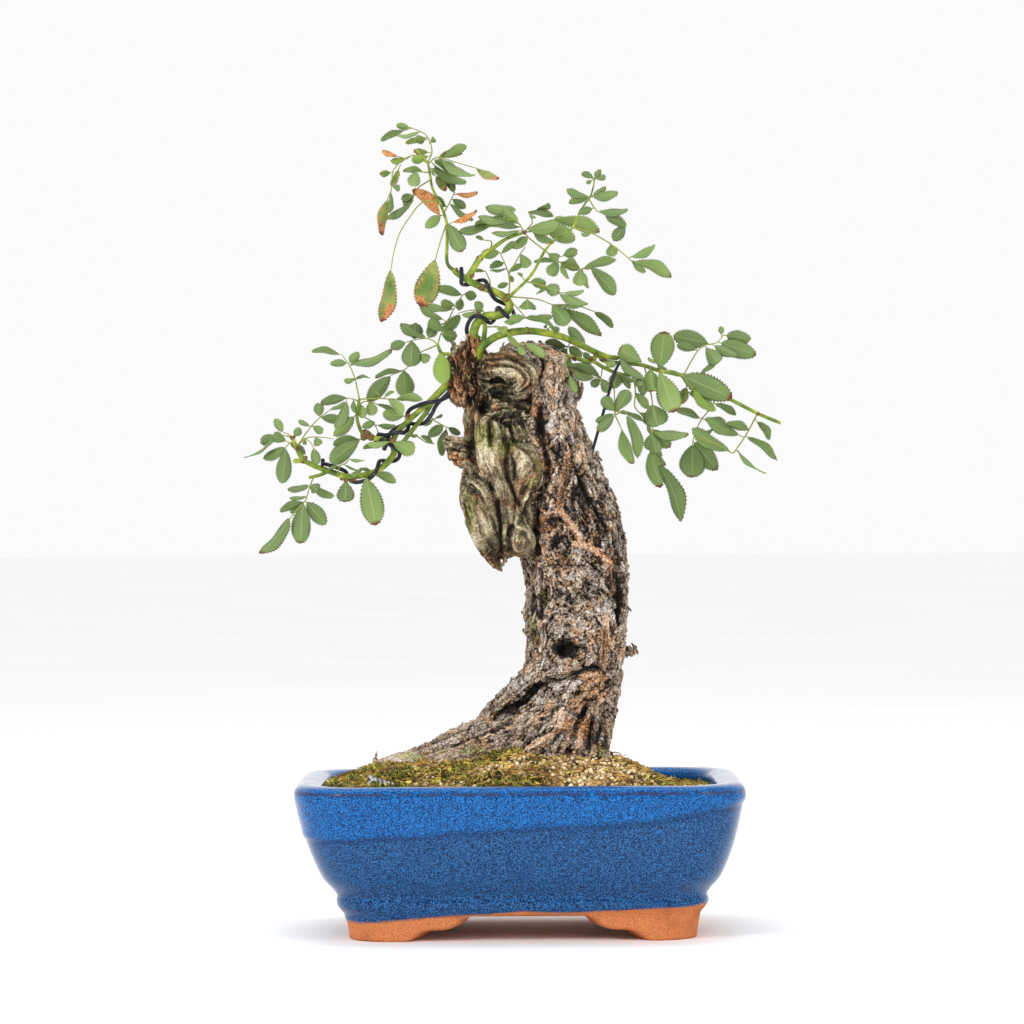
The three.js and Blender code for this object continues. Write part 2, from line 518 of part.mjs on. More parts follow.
const crownLeaves = [
  // Tall twig
  [[[-44.4, 374.5, 10], [-42.2, 380, 13], [-45, 388, 16], [-53.4, 392, 18]], [
    [-51, 391, -67.4, 386.2, 4.2, 4], [-49, 390, -60, 386.8, 2.8, -6],
  ]],
  [[[-44.2, 374, 10], [-40, 377, 6], [-30, 374.6, 2], [-21, 372, 0]], [
    [-39, 378, -22, 366, 6, -8], [-20.4, 372.2, -9.4, 366, 4, -5], [-37, 378, -26, 383, 4.6, 6],
  ]],
  [[[-43.4, 371, 9], [-43.2, 372, 5]], [[-43, 372, -26, 364, 5, 8]]],
  [[[-44.4, 374.4, 10], [-52, 378, 14], [-61, 371, 16], [-62, 362, 15], [-64, 356.6, 14]], [
    [-55, 376.6, -62.4, 375, 3, 5], [-60.6, 371.6, -67.4, 369, 4, 4], [-64, 358, -67.5, 339, 4.6, -4],
    [-60.4, 361.4, -63, 350, 3, 6],
  ]],
  [[[-43.4, 369.4, 8], [-49.6, 370.2, 2]], [[-49.8, 370, -52.2, 362.6, 6, -4]]],
  [[[-42.6, 366, 7], [-50, 361, 14], [-52, 355, 16]], [[-52, 354.8, -64, 346.4, 4, 6]]],
  [[[-39.2, 356, 2], [-47, 355, -2], [-53, 348, -6], [-58, 340, -9], [-61, 330, -11],
   [-62.4, 321.4, -12]], [
    [-62.5, 321.4, -66, 296, 8, -3],
  ]],
  [[[-35.8, 348, -1], [-38, 348.8, 5]], [[-37.4, 348.8, -50, 362, 5.4, 7], [-38, 348.4, -45, 343, 5, 6]]],
  [[[-35, 345.6, -2], [-38, 336, -7], [-40.4, 327.4, -9]], [[-40.8, 327, -47.4, 303.6, 11.6, -3]]],
  [[[-34.9, 344, -2.4], [-33.8, 344.6, -7]], [
    [-34, 344.4, -27, 330.4, 7.6, -6], [-34, 346.4, -19.6, 350.2, 3.6, -5],
  ]],
  [[[-36.4, 349.6, 0], [-33, 356, 8], [-31, 360, 11]], [
    [-31, 359.6, -20, 359, 4.6, 5], [-35, 353, -42, 358, 3.4, 6], [-32.4, 357.6, -26, 352.4, 4, 6],
    [-30.8, 360, -38, 369.6, 2.6, 8], [-34, 354.6, -22.6, 346, 3.4, 9],
  ]],
  // Middle twig
  [[[3, 340.3, -11], [1, 344, -9], [-3, 349, -6], [-1, 351.6, -4]], [
    [1.4, 342.4, -20.4, 346, 4.8, 8], [0, 340.6, -29, 341, 5.2, 3], [1, 340, -13, 339.4, 3, -3],
    [0.4, 343, -7, 351.4, 5, 4], [-1.4, 351.4, -15.4, 352, 5.6, 8],
  ]],
  [[[3, 340.5, -11], [7, 345.4, -9], [5, 350.4, -7]], [
    [-1, 352.2, 15.4, 352.6, 3.2, 7], [5.6, 350.8, 17, 348.6, 2.8, 9], [3.4, 341.4, 20.6, 344, 6.6, -2],
  ]],
  [[[3, 340.3, -11], [9, 341.4, -7], [15, 346, -2], [19, 346.8, 1]], [
    [13, 343, 27.6, 336.4, 8.4, 3], [19, 346.6, 40, 341.4, 6.6, 6], [7, 340.6, 17, 335, 4.2, 3],
  ]],
  [[[3, 340.2, -11], [5.4, 337.6, -9], [13, 331.6, -6], [20, 326, -4], [25, 323.8, -3], [30, 322.4, -2],
   [36, 323, 0]], [
    [5, 338, -2, 332.6, 4.6, 5], [21.6, 331, 28.8, 331.4, 4.8, 5], [21.6, 328, 29, 326, 3.6, -5],
    [20.6, 326.2, 30, 322.6, 4.4, 5], [21, 325.4, 24.4, 317.2, 2.8, -4], [20, 325.6, 15, 319.2, 6, -4],
    [30.5, 322.6, 30.5, 313.6, 7, -5], [31.6, 323.6, 47.6, 327.6, 4, 6], [36, 323, 48.2, 310, 6.8, -5],
    [19.4, 326, 8, 326.2, 2.4, 5],
  ]],
  // Inner stalks over the crown cane
  [[[-4.6, 308.4, -9], [-4.2, 318, -5], [-6, 324, -3], [-9, 330.6, -2]], [
    [-9, 330.4, -18, 329.4, 5, 4], [-8, 330, 0.6, 336, 3.4, -4], [-6.4, 325.6, -13.6, 323.4, 3.4, 5],
    [-5.4, 322, -14, 321.2, 1.6, -5],
  ]],
  [[[-4.2, 320, -5], [1, 329.4, -4], [3.4, 333, -2]], [[1.2, 329.4, 5, 322.8, 5.4, -4]]],
  [[[-15, 301, -7], [-18, 302, -3], [-25, 301.9, 1], [-29.4, 300.6, 3]], [
    [-17.6, 301.4, -27.6, 299.4, 3.2, -1], [-13, 302.6, -20.6, 306, 4.4, 5],
  ]],
  [[[-15.4, 294, -5], [-13, 294, -11], [-9, 294, -17], [-4, 290, -20], [0, 284.6, -23]], [
    [-11.4, 295.6, -5, 291.4, 4.4, -4], [-5, 291.6, 0.4, 284, 3.2, -3],
  ]],
  [[[0, 285, -23], [2.6, 286, -25], [4, 285.6, -26]], [[3.6, 285.3, 14, 279.4, 4.6, -2]]],
  // Front shoot
  [[[35.2, 357.4, -31], [35, 357.6, -34]], [
    [34.6, 358.4, 23.4, 360.6, 4.2, -5], [34.4, 357, 25, 355, 3.8, 4], [36, 359.4, 43, 362, 3, 5],
    [37, 357.4, 49.6, 359, 5, -5],
  ]],
  [[[35, 356.8, -31], [38.6, 351, -34], [43, 349.2, -36]], [
    [38, 351, 30, 350, 3.8, 4], [40, 350.6, 54.2, 350.2, 4.2, -4], [42.4, 349, 53, 343.4, 5, 4],
  ]],
  [[[43, 349.2, -36], [49, 348, -32], [53, 344.4, -30]], [[53.2, 343.6, 46.8, 336.4, 5.6, 3]]],
  [[[27, 343, -27], [36, 340, -31], [45, 335, -34], [50, 331.2, -36], [55.4, 326.6, -38]], [
    [55.8, 328, 68, 333, 4, -5], [55.4, 326, 62.4, 320.8, 3.6, 5], [57, 327, 76.2, 320, 5.2, -3],
  ]],
  [[[3.4, 316, -16], [13, 314, -20], [19, 310.8, -23]], [
    [3.6, 319.4, 13.4, 315.4, 4.8, 5], [12, 317.2, 20.6, 311, 6, -5], [20.6, 311, 33, 304, 4.6, -4],
    [22.6, 311.4, 32, 310.4, 2.6, 5],
  ]],
  [[[-4.4, 308.2, -11], [10, 307.4, -15], [17, 304.8, -18]], [
    [17, 305, 25, 294.6, 8.4, -6], [19, 305.8, 41.6, 290.4, 5.2, 3], [20, 306, 34, 303.4, 1.4, 5],
  ]],
  [[[17, 304.8, -18], [28, 304.6, -14], [37.4, 301.6, -11]], [[37.6, 301.2, 47, 294.4, 3.6, 3]]],
  [[[-3.6, 306.6, -10], [0.4, 302.4, -14], [4, 298.4, -17]], [
    [4, 298.6, 18.6, 295.2, 3, -5], [8, 297.4, 16.6, 298.6, 3.6, 5], [3.4, 298.4, -4.6, 297.4, 4.4, -3],
    [5, 297.4, -6.6, 296, 2.6, 5],
  ]],
];

const rightLeaves = [
  [[[60, 275.6, 2], [60.6, 276.8, -8]], [
    [60.8, 277, 49.3, 283.4, 8.8, -4], [60.6, 276.6, 48.4, 277.4, 2, -3],
  ]],
  [[[56.6, 270.2, -10], [61.4, 268.6, -12]], [
    [61.4, 268.6, 49, 277, 5, -4], [60, 268.6, 61.6, 260.6, 4.4, 5],
  ]],
  [[[51, 270.8, -9], [49.4, 271.6, -5]], [
    [49, 271.6, 46.6, 264, 6.6, 5], [50, 270.8, 57, 267, 2.4, 5], [49.4, 270.8, 54.6, 264, 2.6, 8],
  ]],
  [[[41.2, 274.8, -6], [41, 271, -8], [40.6, 268.6, -9]], [
    [40.6, 268.6, 45, 261.8, 5.2, -4], [40.4, 269, 25, 277, 4.6, -10], [37, 266.4, 26, 271.6, 5.4, -11],
  ]],
  [[[27, 279.2, -1], [24, 279, -14], [23.4, 276, -19], [25, 271, -20]], [[25, 270, 28.4, 262, 4, 4]]],
  [[[33, 284.2, -5], [33, 285.4, -2]], [[33.2, 285.4, 25, 293.8, 5, 6]]],
  [[[26, 287.4, -5], [24.6, 284.4, 1]], [[24.6, 283.6, 13.4, 286.6, 3.6, 5]]],
  [[[46.6, 272, -7], [47.2, 264, -14], [47.3, 257, -17], [47.6, 250.6, -19]], [
    [46.6, 252, 41.4, 259.8, 5.8, -4], [47, 250.6, 38.4, 247.6, 3.8, 6], [47.4, 250, 38.8, 242.8, 5, -4],
    [48, 251, 49.6, 258.8, 4.4, 5], [49, 252, 54.8, 263.4, 6.6, -6], [50, 253, 61.6, 248.6, 2.2, 7],
  ]],
  [[[47.6, 250.6, -19], [50, 245.6, -21], [50.8, 243.6, -22]], [[50.8, 243.6, 55.3, 226.2, 6, -4]]],
  [[[47.7, 250.8, -19], [52, 253, -24], [53.8, 250.4, -26]], [[53.8, 250.2, 60, 229.8, 5.6, -5]]],
  [[[56.6, 270.2, -10], [57.6, 262, -6], [57.4, 254.6, -3], [60, 251.4, -1], [63, 247.6, 0]], [
    [57.8, 261.6, 63.8, 254.4, 4.2, 5], [63.4, 247.2, 66.4, 240.4, 2.4, 5],
  ]],
  [[[61.4, 275.2, 2], [64.4, 265, -3], [66, 256, -7], [66.2, 244.6, -11], [64.8, 238, -13],
   [65, 233.4, -14], [70, 226.4, -17]], [
    [66, 255.8, 68.4, 245, 12, -5], [66, 243.4, 74.4, 235, 6.4, 6], [64.6, 242, 63, 233.6, 4.2, -4],
    [66.4, 242, 83.8, 240.4, 4.8, -6], [64.8, 233.8, 69.4, 215.6, 8.2, 6],
    [67.6, 234.6, 71.6, 226, 3.8, 8], [70, 226.6, 82.2, 199, 7, -4],
  ]],
  [[[65, 274.2, 3], [65, 273.4, -8]], [[65.4, 273.4, 65.6, 261.8, 9.2, -5]]],
  [[[69, 272.6, 4], [69.6, 271.6, -6]], [[69.6, 271.6, 77, 251.6, 11.4, -8]]],
  [[[69.4, 273, 4], [69.6, 274.2, 1]], [[69.7, 274.2, 72, 292.2, 11.4, -5]]],
  [[[80, 270.2, 8], [80.6, 269.8, -2]], [[80.6, 269.8, 105.8, 259.6, 9.6, -4]]],
  [[[81, 270.2, 8], [83, 273.6, 12], [88, 282, 19], [91, 284.8, 22], [95, 285.6, 25], [98, 286.6, 27],
   [101, 290.4, 29]], [
    [96, 286.6, 76.6, 288.4, 7.6, 8], [88.6, 283.6, 77.8, 285.4, 4.6, -5],
    [93, 284.4, 98.6, 275.9, 6, -8], [99.6, 287, 116.6, 279, 6.6, 5], [96.4, 284.8, 107.6, 279.5, 5, -6],
    [101.4, 290.8, 113.6, 287.6, 4.4, 8],
  ]],
  [[[86, 267.6, 10], [89, 270.6, 15]], [[89.4, 271.4, 96, 275.6, 2.6, 5]]],
  [[[84, 268.7, 9], [83, 265.4, 14]], [[82, 264.8, 79.8, 256.4, 4.8, 5]]],
  [[[92, 264.5, 13], [96, 256.8, 19], [90.6, 249.4, 23], [88.4, 245.6, 25], [86, 239, 27],
   [85.6, 236, 27]], [
    [94.6, 255, 85, 262.4, 3.8, 6], [90.6, 250, 78, 253.6, 4, 7], [97, 256.6, 106.8, 251.6, 3.4, 6],
    [91.6, 249.4, 101.6, 247, 3.6, 8], [86, 242, 96, 242.8, 3, -5], [85.7, 236.2, 85.4, 219.4, 12.4, -6],
    [86.4, 238.6, 97.4, 224, 9.4, 7],
  ]],
  [[[117.5, 251.6, 26], [111.6, 240.6, 18], [107, 234, 13], [105.6, 232.2, 12], [98, 236, 6],
   [88, 239.6, 2]], [
    [113, 243.6, 101.8, 247.4, 3.8, -8], [110, 240.8, 95, 246, 4.4, -4],
    [104.4, 233.4, 84, 241.4, 5.2, -7], [118.4, 248.8, 125, 239.4, 4.2, -8],
    [113, 241.2, 128, 229.6, 3.6, -8], [107.4, 234.2, 120.4, 220.6, 2.4, -6],
  ]],
];

// One serrated leaflet from its seat on the stalk: thickest at the midrib and thin at the rim, folded on
// the midrib, arched to the tip, and turned on the midrib until it shows the given width
function leafletSolid(seat, row, random) {
  const [baseX, baseZ, tipX, tipZ, shown, deeper = 0] = row;
  const base = seen(baseX, baseZ, seat.y);
  const tip = seen(tipX, tipZ, seat.y + deeper);
  const along = tip.clone().sub(seat);
  const length = along.length();
  along.normalize();
  const width = Math.max(shown, 0.42 * base.distanceTo(tip));
  const facing = sideways(along);
  const towards = new THREE.Vector3().crossVectors(along, facing).normalize();
  const turn = Math.acos(Math.min(1, shown / width)) * (random() < 0.5 ? -1 : 1);
  const side = facing.clone().multiplyScalar(Math.cos(turn)).addScaledVector(towards, Math.sin(turn));
  const up = new THREE.Vector3().crossVectors(side, along).normalize();
  const arch = length * (0.05 + 0.07 * random());
  const fold = 0.16 + 0.16 * random();
  const start = Math.min(0.4, seat.distanceTo(base) / length);
  const halfWidth = (t) => 0.54 * width * Math.sin(Math.PI * t ** 0.85) ** 0.7;
  const teeth = length > 16 ? 3 : 2;
  const edge = [];
  for (let tooth = 0; tooth < teeth; tooth += 1) {
    const reach = (tooth + 0.7) / (teeth + 0.4);
    edge.push([reach, halfWidth(reach)]);
    if (tooth + 1 < teeth && teeth > 2) edge.push([reach + 0.06, 0.84 * halfWidth(reach + 0.06)]);
  }
  const point = (t, offset, level) => seat.clone()
    .addScaledVector(along, (t === 0 ? 0 : start + (1 - start) * t) * length)
    .addScaledVector(side, offset)
    .addScaledVector(up, Math.abs(offset) * fold - arch * (t === 0 ? 0 : 4 * (t - 0.4) ** 2 - 0.16) + level);
  const other = edge.map(([t, offset]) => [t, -offset]).reverse();
  const rim = [[0, 0], ...edge, [1, 0], ...other].map(([t, offset]) => point(t, offset, 0));
  const lower = rim.length;
  const points = [...rim, point(0.42, 0, -0.5 * bladeThick), point(0.42, 0, 0.5 * bladeThick)];
  const triangles = [];
  for (let step = 0; step < lower; step += 1) {
    const next = (step + 1) % lower;
    triangles.push([lower, next, step], [lower + 1, step, next]);
  }
  return closedSurface(points, triangles);
}

// The point on the straight runs of the carriers for which the measure is least
function nearestOn(carriers, measure) {
  let best = null;
  for (const { curve } of carriers) {
    for (let span = 0; span + 1 < curve.points.length; span += 1) {
      for (let step = 0; step <= 8; step += 1) {
        const at = curve.points[span].clone().lerp(curve.points[span + 1], step / 8);
        const away = measure(at);
        if (!best || away < best.away) best = { away, at };
      }
    }
  }
  return best.at;
}

// A stem whose first point is moved onto the axis of what carries it
function rootedStem(rows, carriers) {
  const stem = stemOf(rows);
  const start = stem.curve.points[0];
  start.copy(nearestOn(carriers, (at) => at.distanceTo(start)));
  return stem;
}

function compoundLeaf([stalkPoints, leaflets], carriers, random) {
  const stalk = rootedStem(stalkPoints.map((point) => [...point, stalkRadius]), carriers);
  const solids = [limb(stalk, { sides: 3, beyond: 0.8 })];
  for (const row of leaflets) {
    const base = seen(row[0], row[1], 0);
    const seat = nearestOn([stalk], (at) => Math.hypot(at.x - base.x, at.z - base.z));
    solids.push(leafletSolid(seat, row, random));
  }
  carriers.push(stalk);
  return solids;
}

function leafyStem(cane, twigs, knobs, leaves, seed) {
  const random = randomFrom(seed);
  const carriers = [cane];
  const solids = [limb(cane, { sides: 5 })];
  for (const rows of twigs) {
    const twig = rootedStem(rows, carriers);
    carriers.push(twig);
    solids.push(limb(twig, { sides: 4 }));
  }
  for (const [x, z, y, radius] of knobs) solids.push(egg(x, z, y, radius, radius, radius * 0.85, 5, 3));
  for (const leaf of leaves) solids.push(...compoundLeaf(leaf, carriers, random));
  return joined(solids);
}

// A wire wound round a stem: rows are the length along it, the turn in degrees from the front towards the
// left of the stem's run, and how far the wire stands off
function woundPoints(stem, rows, wire, free = []) {
  const total = stem.curve.getLength();
  const rowPoints = rows.map(([s, degrees, off]) => new THREE.Vector3(s, degrees, off));
  const turns = new THREE.CatmullRomCurve3(rowPoints);
  const count = rows.length * 3;
  const points = [];
  for (let step = 0; step <= count; step += 1) {
    const at = turns.getPoint(step / count);
    const u = THREE.MathUtils.clamp(at.x / total, 0, 1);
    const centre = stem.curve.getPointAt(u);
    const tangent = stem.curve.getTangentAt(u);
    const side = sideways(tangent);
    const front = new THREE.Vector3().crossVectors(tangent, side).normalize();
    const angle = THREE.MathUtils.degToRad(at.y);
    const stand = stem.radiusAt(stem.curve.getUtoTmapping(u)) + wire + 0.45 + at.z;
    centre.addScaledVector(side, stand * Math.sin(angle)).addScaledVector(front, -stand * Math.cos(angle));
    points.push(centre);
  }
  for (const [x, z, y] of free) points.push(seen(x, z, y));
  return points;
}

function wireSolid(points, radius, clearance = 0, sides = 5) {
  const curve = new THREE.CatmullRomCurve3(points.map((point) => point.clone()), false, "centripetal");
  const first = curve.points[0];
  const last = curve.points[points.length - 1];
  first.addScaledVector(first.clone().sub(points[1]).normalize(), clearance);
  last.addScaledVector(last.clone().sub(points[points.length - 2]).normalize(), clearance);
  const section = new THREE.Shape();
  for (let turn = 0; turn < sides; turn += 1) {
    const angle = (turn * 2 * Math.PI) / sides;
    const x = (radius + clearance) * Math.cos(angle);
    const y = (radius + clearance) * Math.sin(angle);
    if (turn === 0) section.moveTo(x, y);
    else section.lineTo(x, y);
  }
  const steps = Math.round(curve.getLength() / Math.max(2.6, radius * 2.6));
  return solidOf(new THREE.ExtrudeGeometry(section, { steps, bevelEnabled: false, extrudePath: curve }));
}

const leftWire = woundPoints(leftCane, [
  [18, 95, 0], [24, 92, 0], [30, 95, 0], [37, 160, 0], [46, 130, 0], [55, 92, 0], [59, 180, 0],
  [63, 265, 0],
  [70, 360, 0], [77, 450, 0], [81, 540, 0], [85, 630, 0], [90, 720, 0], [93, 805, 0], [95, 900, 0],
  [97, 975, 0],
], wireRadius, [[-95.9, 226.6, -9], [-95.7, 228.6, -9]]);
const stubWire = woundPoints(leftCane, [
  [9, 128, 0.6], [14, 70, 0.2], [22, 0, 0], [28, -80, 0], [32, -160, 2.6], [35, -235, 2.8], [38, -300, 0.6],
  [42, -362, 0], [47, -440, 0],
], wireRadius, [
  [-66, 242.4, 0.5], [-68.4, 241.9, 2.6], [-70, 238.6, 3.4], [-69.4, 235.7, 0], [-68.6, 235.9, -5],
  [-66.6, 239, -7.4], [-64.6, 235.8, -8], [-65.4, 234.2, -7],
]);
const crownWire = woundPoints(crownCane, [
  [4, -40, 0.4], [8, 30, 0], [13, 85, 0.2], [18, 130, 0.4], [22, 210, 0], [26, 350, 0], [30, 500, 0],
  [33, 640, 0.4],
  [36, 725, 0.4], [42, 790, 0], [48, 880, 0], [53, 985, 0.3], [58, 1080, 0.3], [61, 1140, 0],
  [63.4, 1230, 0],
], wireRadius, [[-27.6, 319.6, -11.4], [-27.8, 322.6, -11.6]]);
const guyWire = [
  seen(53, 274.2, 4.4), seen(52.6, 277.6, 3.6), seen(51.6, 279, 0), seen(50.6, 277.6, -6.4),
  seen(47.6, 272, -15),
  seen(44, 259.6, -15), seen(40, 245.4, -9), seen(37.2, 235.4, -4), seen(35.6, 229.4, -1), seen(34.4, 225, 1),
];

function tieWire() {
  const from = new THREE.Vector3(-60, -61, 66);
  const to = new THREE.Vector3(-77, -47, 82.4);
  const along = to.clone().sub(from);
  const side = sideways(along.clone().normalize());
  const front = new THREE.Vector3().crossVectors(along, side).normalize();
  const strands = [0, Math.PI].map((start) => {
    const points = [];
    for (let step = 0; step <= 12; step += 1) {
      const t = step / 12;
      const angle = start + t * 5 * Math.PI;
      const spread = t > 0.9 ? 0.5 + (t - 0.9) * 14 : 0.5;
      points.push(from.clone().addScaledVector(along, t)
        .addScaledVector(side, spread * Math.cos(angle))
        .addScaledVector(front, spread * Math.sin(angle)));
    }
    return wireSolid(points, tieRadius, 0, 4);
  });
  return joined(strands);
}

function tieHole() {
  const from = new THREE.Vector3(-60, -61, 66);
  const to = new THREE.Vector3(-77, -47, 82.4);
  const start = from.clone().addScaledVector(to.clone().sub(from).normalize(), -1);
  const curve = new THREE.LineCurve3(start, to);
  return limb({ curve, spans: 1, radiusAt: () => 1.6 }, { sides: 8 });
}

const canes = [leftCane, crownCane, rightCane, topShoot, stemOf(crownTwigs[3]), stemOf(rightTwigs[1])];
const wires = [
  wireSolid(leftWire, wireRadius), wireSolid(stubWire, wireRadius), wireSolid(crownWire, wireRadius),
  wireSolid(guyWire, guyRadius),
];

function buildTrunk() {
  let trunk = joined([trunkFoot(0), ...trunkForms()]);
  for (const hollow of trunkHollows()) trunk = trunk.subtract(hollow);
  for (const cane of canes) trunk = trunk.subtract(limb(cane, { sides: 5, clearance: gap }));
  for (const [points, radius] of [[stubWire, wireRadius], [crownWire, wireRadius], [guyWire, guyRadius]]) {
    trunk = trunk.subtract(wireSolid(points, radius, gap));
  }
  return largestOf(trunk);
}

function largestOf(solid) {
  return solid.decompose().reduce((best, next) => (next.volume() > best.volume() ? next : best));
}

addNode("pot", buildPot(), colours.glaze, 0.2);
addNode("drain_mesh_left", drainScreen(-1), colours.screen, 0.6);
addNode("drain_mesh_right", drainScreen(1), colours.screen, 0.6);
addNode("soil", largestOf(buildSoil(trunkFoot(gap).add(tieHole()))), colours.soil, 1);
addNode("trunk", buildTrunk(), colours.wood, 0.95);
addNode("branch_left", leafyStem(leftCane, leftTwigs, leftKnobs, leftLeaves, 11), colours.leaf, 0.6);
addNode("shoot_left_top", leafyStem(topShoot, [], [], topShootLeaves, 23), colours.leaf, 0.6);
addNode("branch_crown", leafyStem(crownCane, crownTwigs, crownKnobs, crownLeaves, 37), colours.leaf, 0.6);
addNode("branch_right", leafyStem(rightCane, rightTwigs, rightKnobs, rightLeaves, 51), colours.leaf, 0.6);
addNode("wire_left", wires[0], colours.wire, 0.4, 0.6);
addNode("wire_stub", wires[1], colours.wire, 0.4, 0.6);
addNode("wire_crown", wires[2], colours.wire, 0.4, 0.6);
addNode("wire_guy", wires[3], colours.wire, 0.4, 0.6);
addNode("tie_wire", tieWire(), colours.steel, 0.35, 1);

export default group;
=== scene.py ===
import math

import bmesh
import bpy
import numpy as np
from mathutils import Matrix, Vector


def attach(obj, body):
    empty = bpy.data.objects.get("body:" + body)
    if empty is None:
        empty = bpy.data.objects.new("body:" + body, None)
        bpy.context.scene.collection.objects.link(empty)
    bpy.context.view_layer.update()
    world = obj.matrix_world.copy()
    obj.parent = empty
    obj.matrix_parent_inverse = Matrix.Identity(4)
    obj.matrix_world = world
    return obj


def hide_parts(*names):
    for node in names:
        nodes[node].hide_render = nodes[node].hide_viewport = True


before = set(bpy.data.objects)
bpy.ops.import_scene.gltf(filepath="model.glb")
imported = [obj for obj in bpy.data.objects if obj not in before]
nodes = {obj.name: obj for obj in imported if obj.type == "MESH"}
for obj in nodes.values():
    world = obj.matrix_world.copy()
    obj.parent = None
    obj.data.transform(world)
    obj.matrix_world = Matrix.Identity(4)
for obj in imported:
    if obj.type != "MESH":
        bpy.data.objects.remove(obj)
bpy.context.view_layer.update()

# ---- Camera: where the photograph was taken from
view = {"distance": 2060.0, "height": 204.9, "side": -2.94, "lift": 1.7, "roll": math.radians(0.33), "lens": 147.656}


def makeCamera():
    data = bpy.data.cameras.new("frontCamera")
    data.lens = view["lens"]
    data.sensor_width = 36
    data.clip_start = 0.05
    data.clip_end = 20
    camera = bpy.data.objects.new("frontCamera", data)
    camera.location = (view["side"] / 1000, -view["distance"] / 1000, view["height"] / 1000)
    camera.rotation_euler = (math.pi / 2, view["roll"], 0)
    bpy.context.scene.collection.objects.link(camera)
    bpy.context.scene.camera = camera


makeCamera()
print("camera set")


# ---- Points, curves and noise
def seen(x, z, y):
    # a point read from the front view, put at its own depth
    x, z, y = np.broadcast_arrays(np.asarray(x, float), np.asarray(z, float), np.asarray(y, float))
    across = x - view["side"]
    up = z + view["lift"] - view["height"]
    scale = (view["distance"] + y) / view["distance"]
    cos, sin = math.cos(view["roll"]), math.sin(view["roll"])
    return np.stack([view["side"] + (across * cos + up * sin) * scale, y,
                     view["height"] + (up * cos - across * sin) * scale], -1)


def readBack(points):
    # where a point shows in the front view
    scale = (view["distance"] + points[:, 1]) / view["distance"]
    levelX = (points[:, 0] - view["side"]) / scale
    levelZ = (points[:, 2] - view["height"]) / scale
    cos, sin = math.cos(view["roll"]), math.sin(view["roll"])
    return levelX * cos - levelZ * sin + view["side"], levelX * sin + levelZ * cos - view["lift"] + view["height"]


def curveAt(points, t):
    # centripetal curve through the points
    last = len(points) - 1
    place = np.clip(np.atleast_1d(t), 0, 1) * last
    index = np.minimum(place.astype(int), last - 1)
    w = (place - index)[:, None]
    more = np.vstack([2 * points[0] - points[1], points, 2 * points[-1] - points[-2]])
    p0, p1, p2, p3 = more[index], more[index + 1], more[index + 2], more[index + 3]
    d0, d1, d2 = (np.sqrt(np.linalg.norm(b - a, axis=1))[:, None] for a, b in ((p0, p1), (p1, p2), (p2, p3)))
    d1 = np.where(d1 < 1e-4, 1, d1)
    d0, d2 = np.where(d0 < 1e-4, d1, d0), np.where(d2 < 1e-4, d1, d2)
    t1 = ((p1 - p0) / d0 - (p2 - p0) / (d0 + d1) + (p2 - p1) / d1) * d1
    t2 = ((p2 - p1) / d1 - (p3 - p1) / (d1 + d2) + (p3 - p2) / d2) * d1
    return p1 + t1 * w + (-3 * p1 + 3 * p2 - 2 * t1 - t2) * w ** 2 + (2 * p1 - 2 * p2 + t1 + t2) * w ** 3


def unit(vectors):
    return vectors / np.maximum(np.linalg.norm(vectors, axis=-1, keepdims=True), 1e-9)


def tangentAt(points, t):
    t = np.atleast_1d(t)
    return unit(curveAt(points, np.minimum(t + 1e-4, 1)) - curveAt(points, np.maximum(t - 1e-4, 0)))


def stemOf(rows):
    rows = np.array(rows, float)
    return {"points": seen(rows[:, 0], rows[:, 1], rows[:, 2]), "radii": rows[:, 3]}


def radiusAt(stem, t):
    return np.interp(np.atleast_1d(t) * (len(stem["radii"]) - 1), np.arange(len(stem["radii"])), stem["radii"])


def sideways(tangents):
    side = np.cross(tangents, (0, 1, 0))
    flat = np.linalg.norm(side, axis=-1, keepdims=True) < 0.01
    return unit(np.where(flat, (1, 0, 0), side))


def smoothstep(low, high, value):
    t = np.clip((value - low) / (high - low), 0, 1)
    return t * t * (3 - 2 * t)


def scatterOf(cells, seed):
    # three repeatable numbers from 0 to 1 for each whole-number cell
    cells = cells.astype(np.int64).astype(np.uint32)
    mixed = cells[..., 0] * np.uint32(73856093) ^ cells[..., 1] * np.uint32(19349663)
    mixed = mixed ^ cells[..., 2] * np.uint32(83492791) ^ np.uint32(seed * 2654435 + 97)
    out = []
    for step in (np.uint32(2246822519), np.uint32(3266489917), np.uint32(668265263)):
        mixed = (mixed ^ (mixed >> np.uint32(15))) * step
        mixed = mixed ^ (mixed >> np.uint32(13))
        out.append(mixed.astype(np.float64) / 4294967296)
    return np.stack(out, -1)


def noiseAt(points, size, seed=0):
    # smooth noise from -1 to 1
    p = points / size
    base = np.floor(p)
    f = p - base
    f = f * f * (3 - 2 * f)
    total = np.zeros(len(p))
    for corner in np.ndindex(2, 2, 2):
        weight = np.prod(np.where(np.array(corner) == 1, f, 1 - f), axis=1)
        total += weight * scatterOf(base + corner, seed)[:, 0]
    return total * 2 - 1


def layeredNoise(points, size, layers=3, seed=0):
    total = np.zeros(len(points))
    for layer in range(layers):
        total += noiseAt(points, size / 2 ** layer, seed + layer) / 2 ** layer
    return total / (2 - 2 ** (1 - layers))


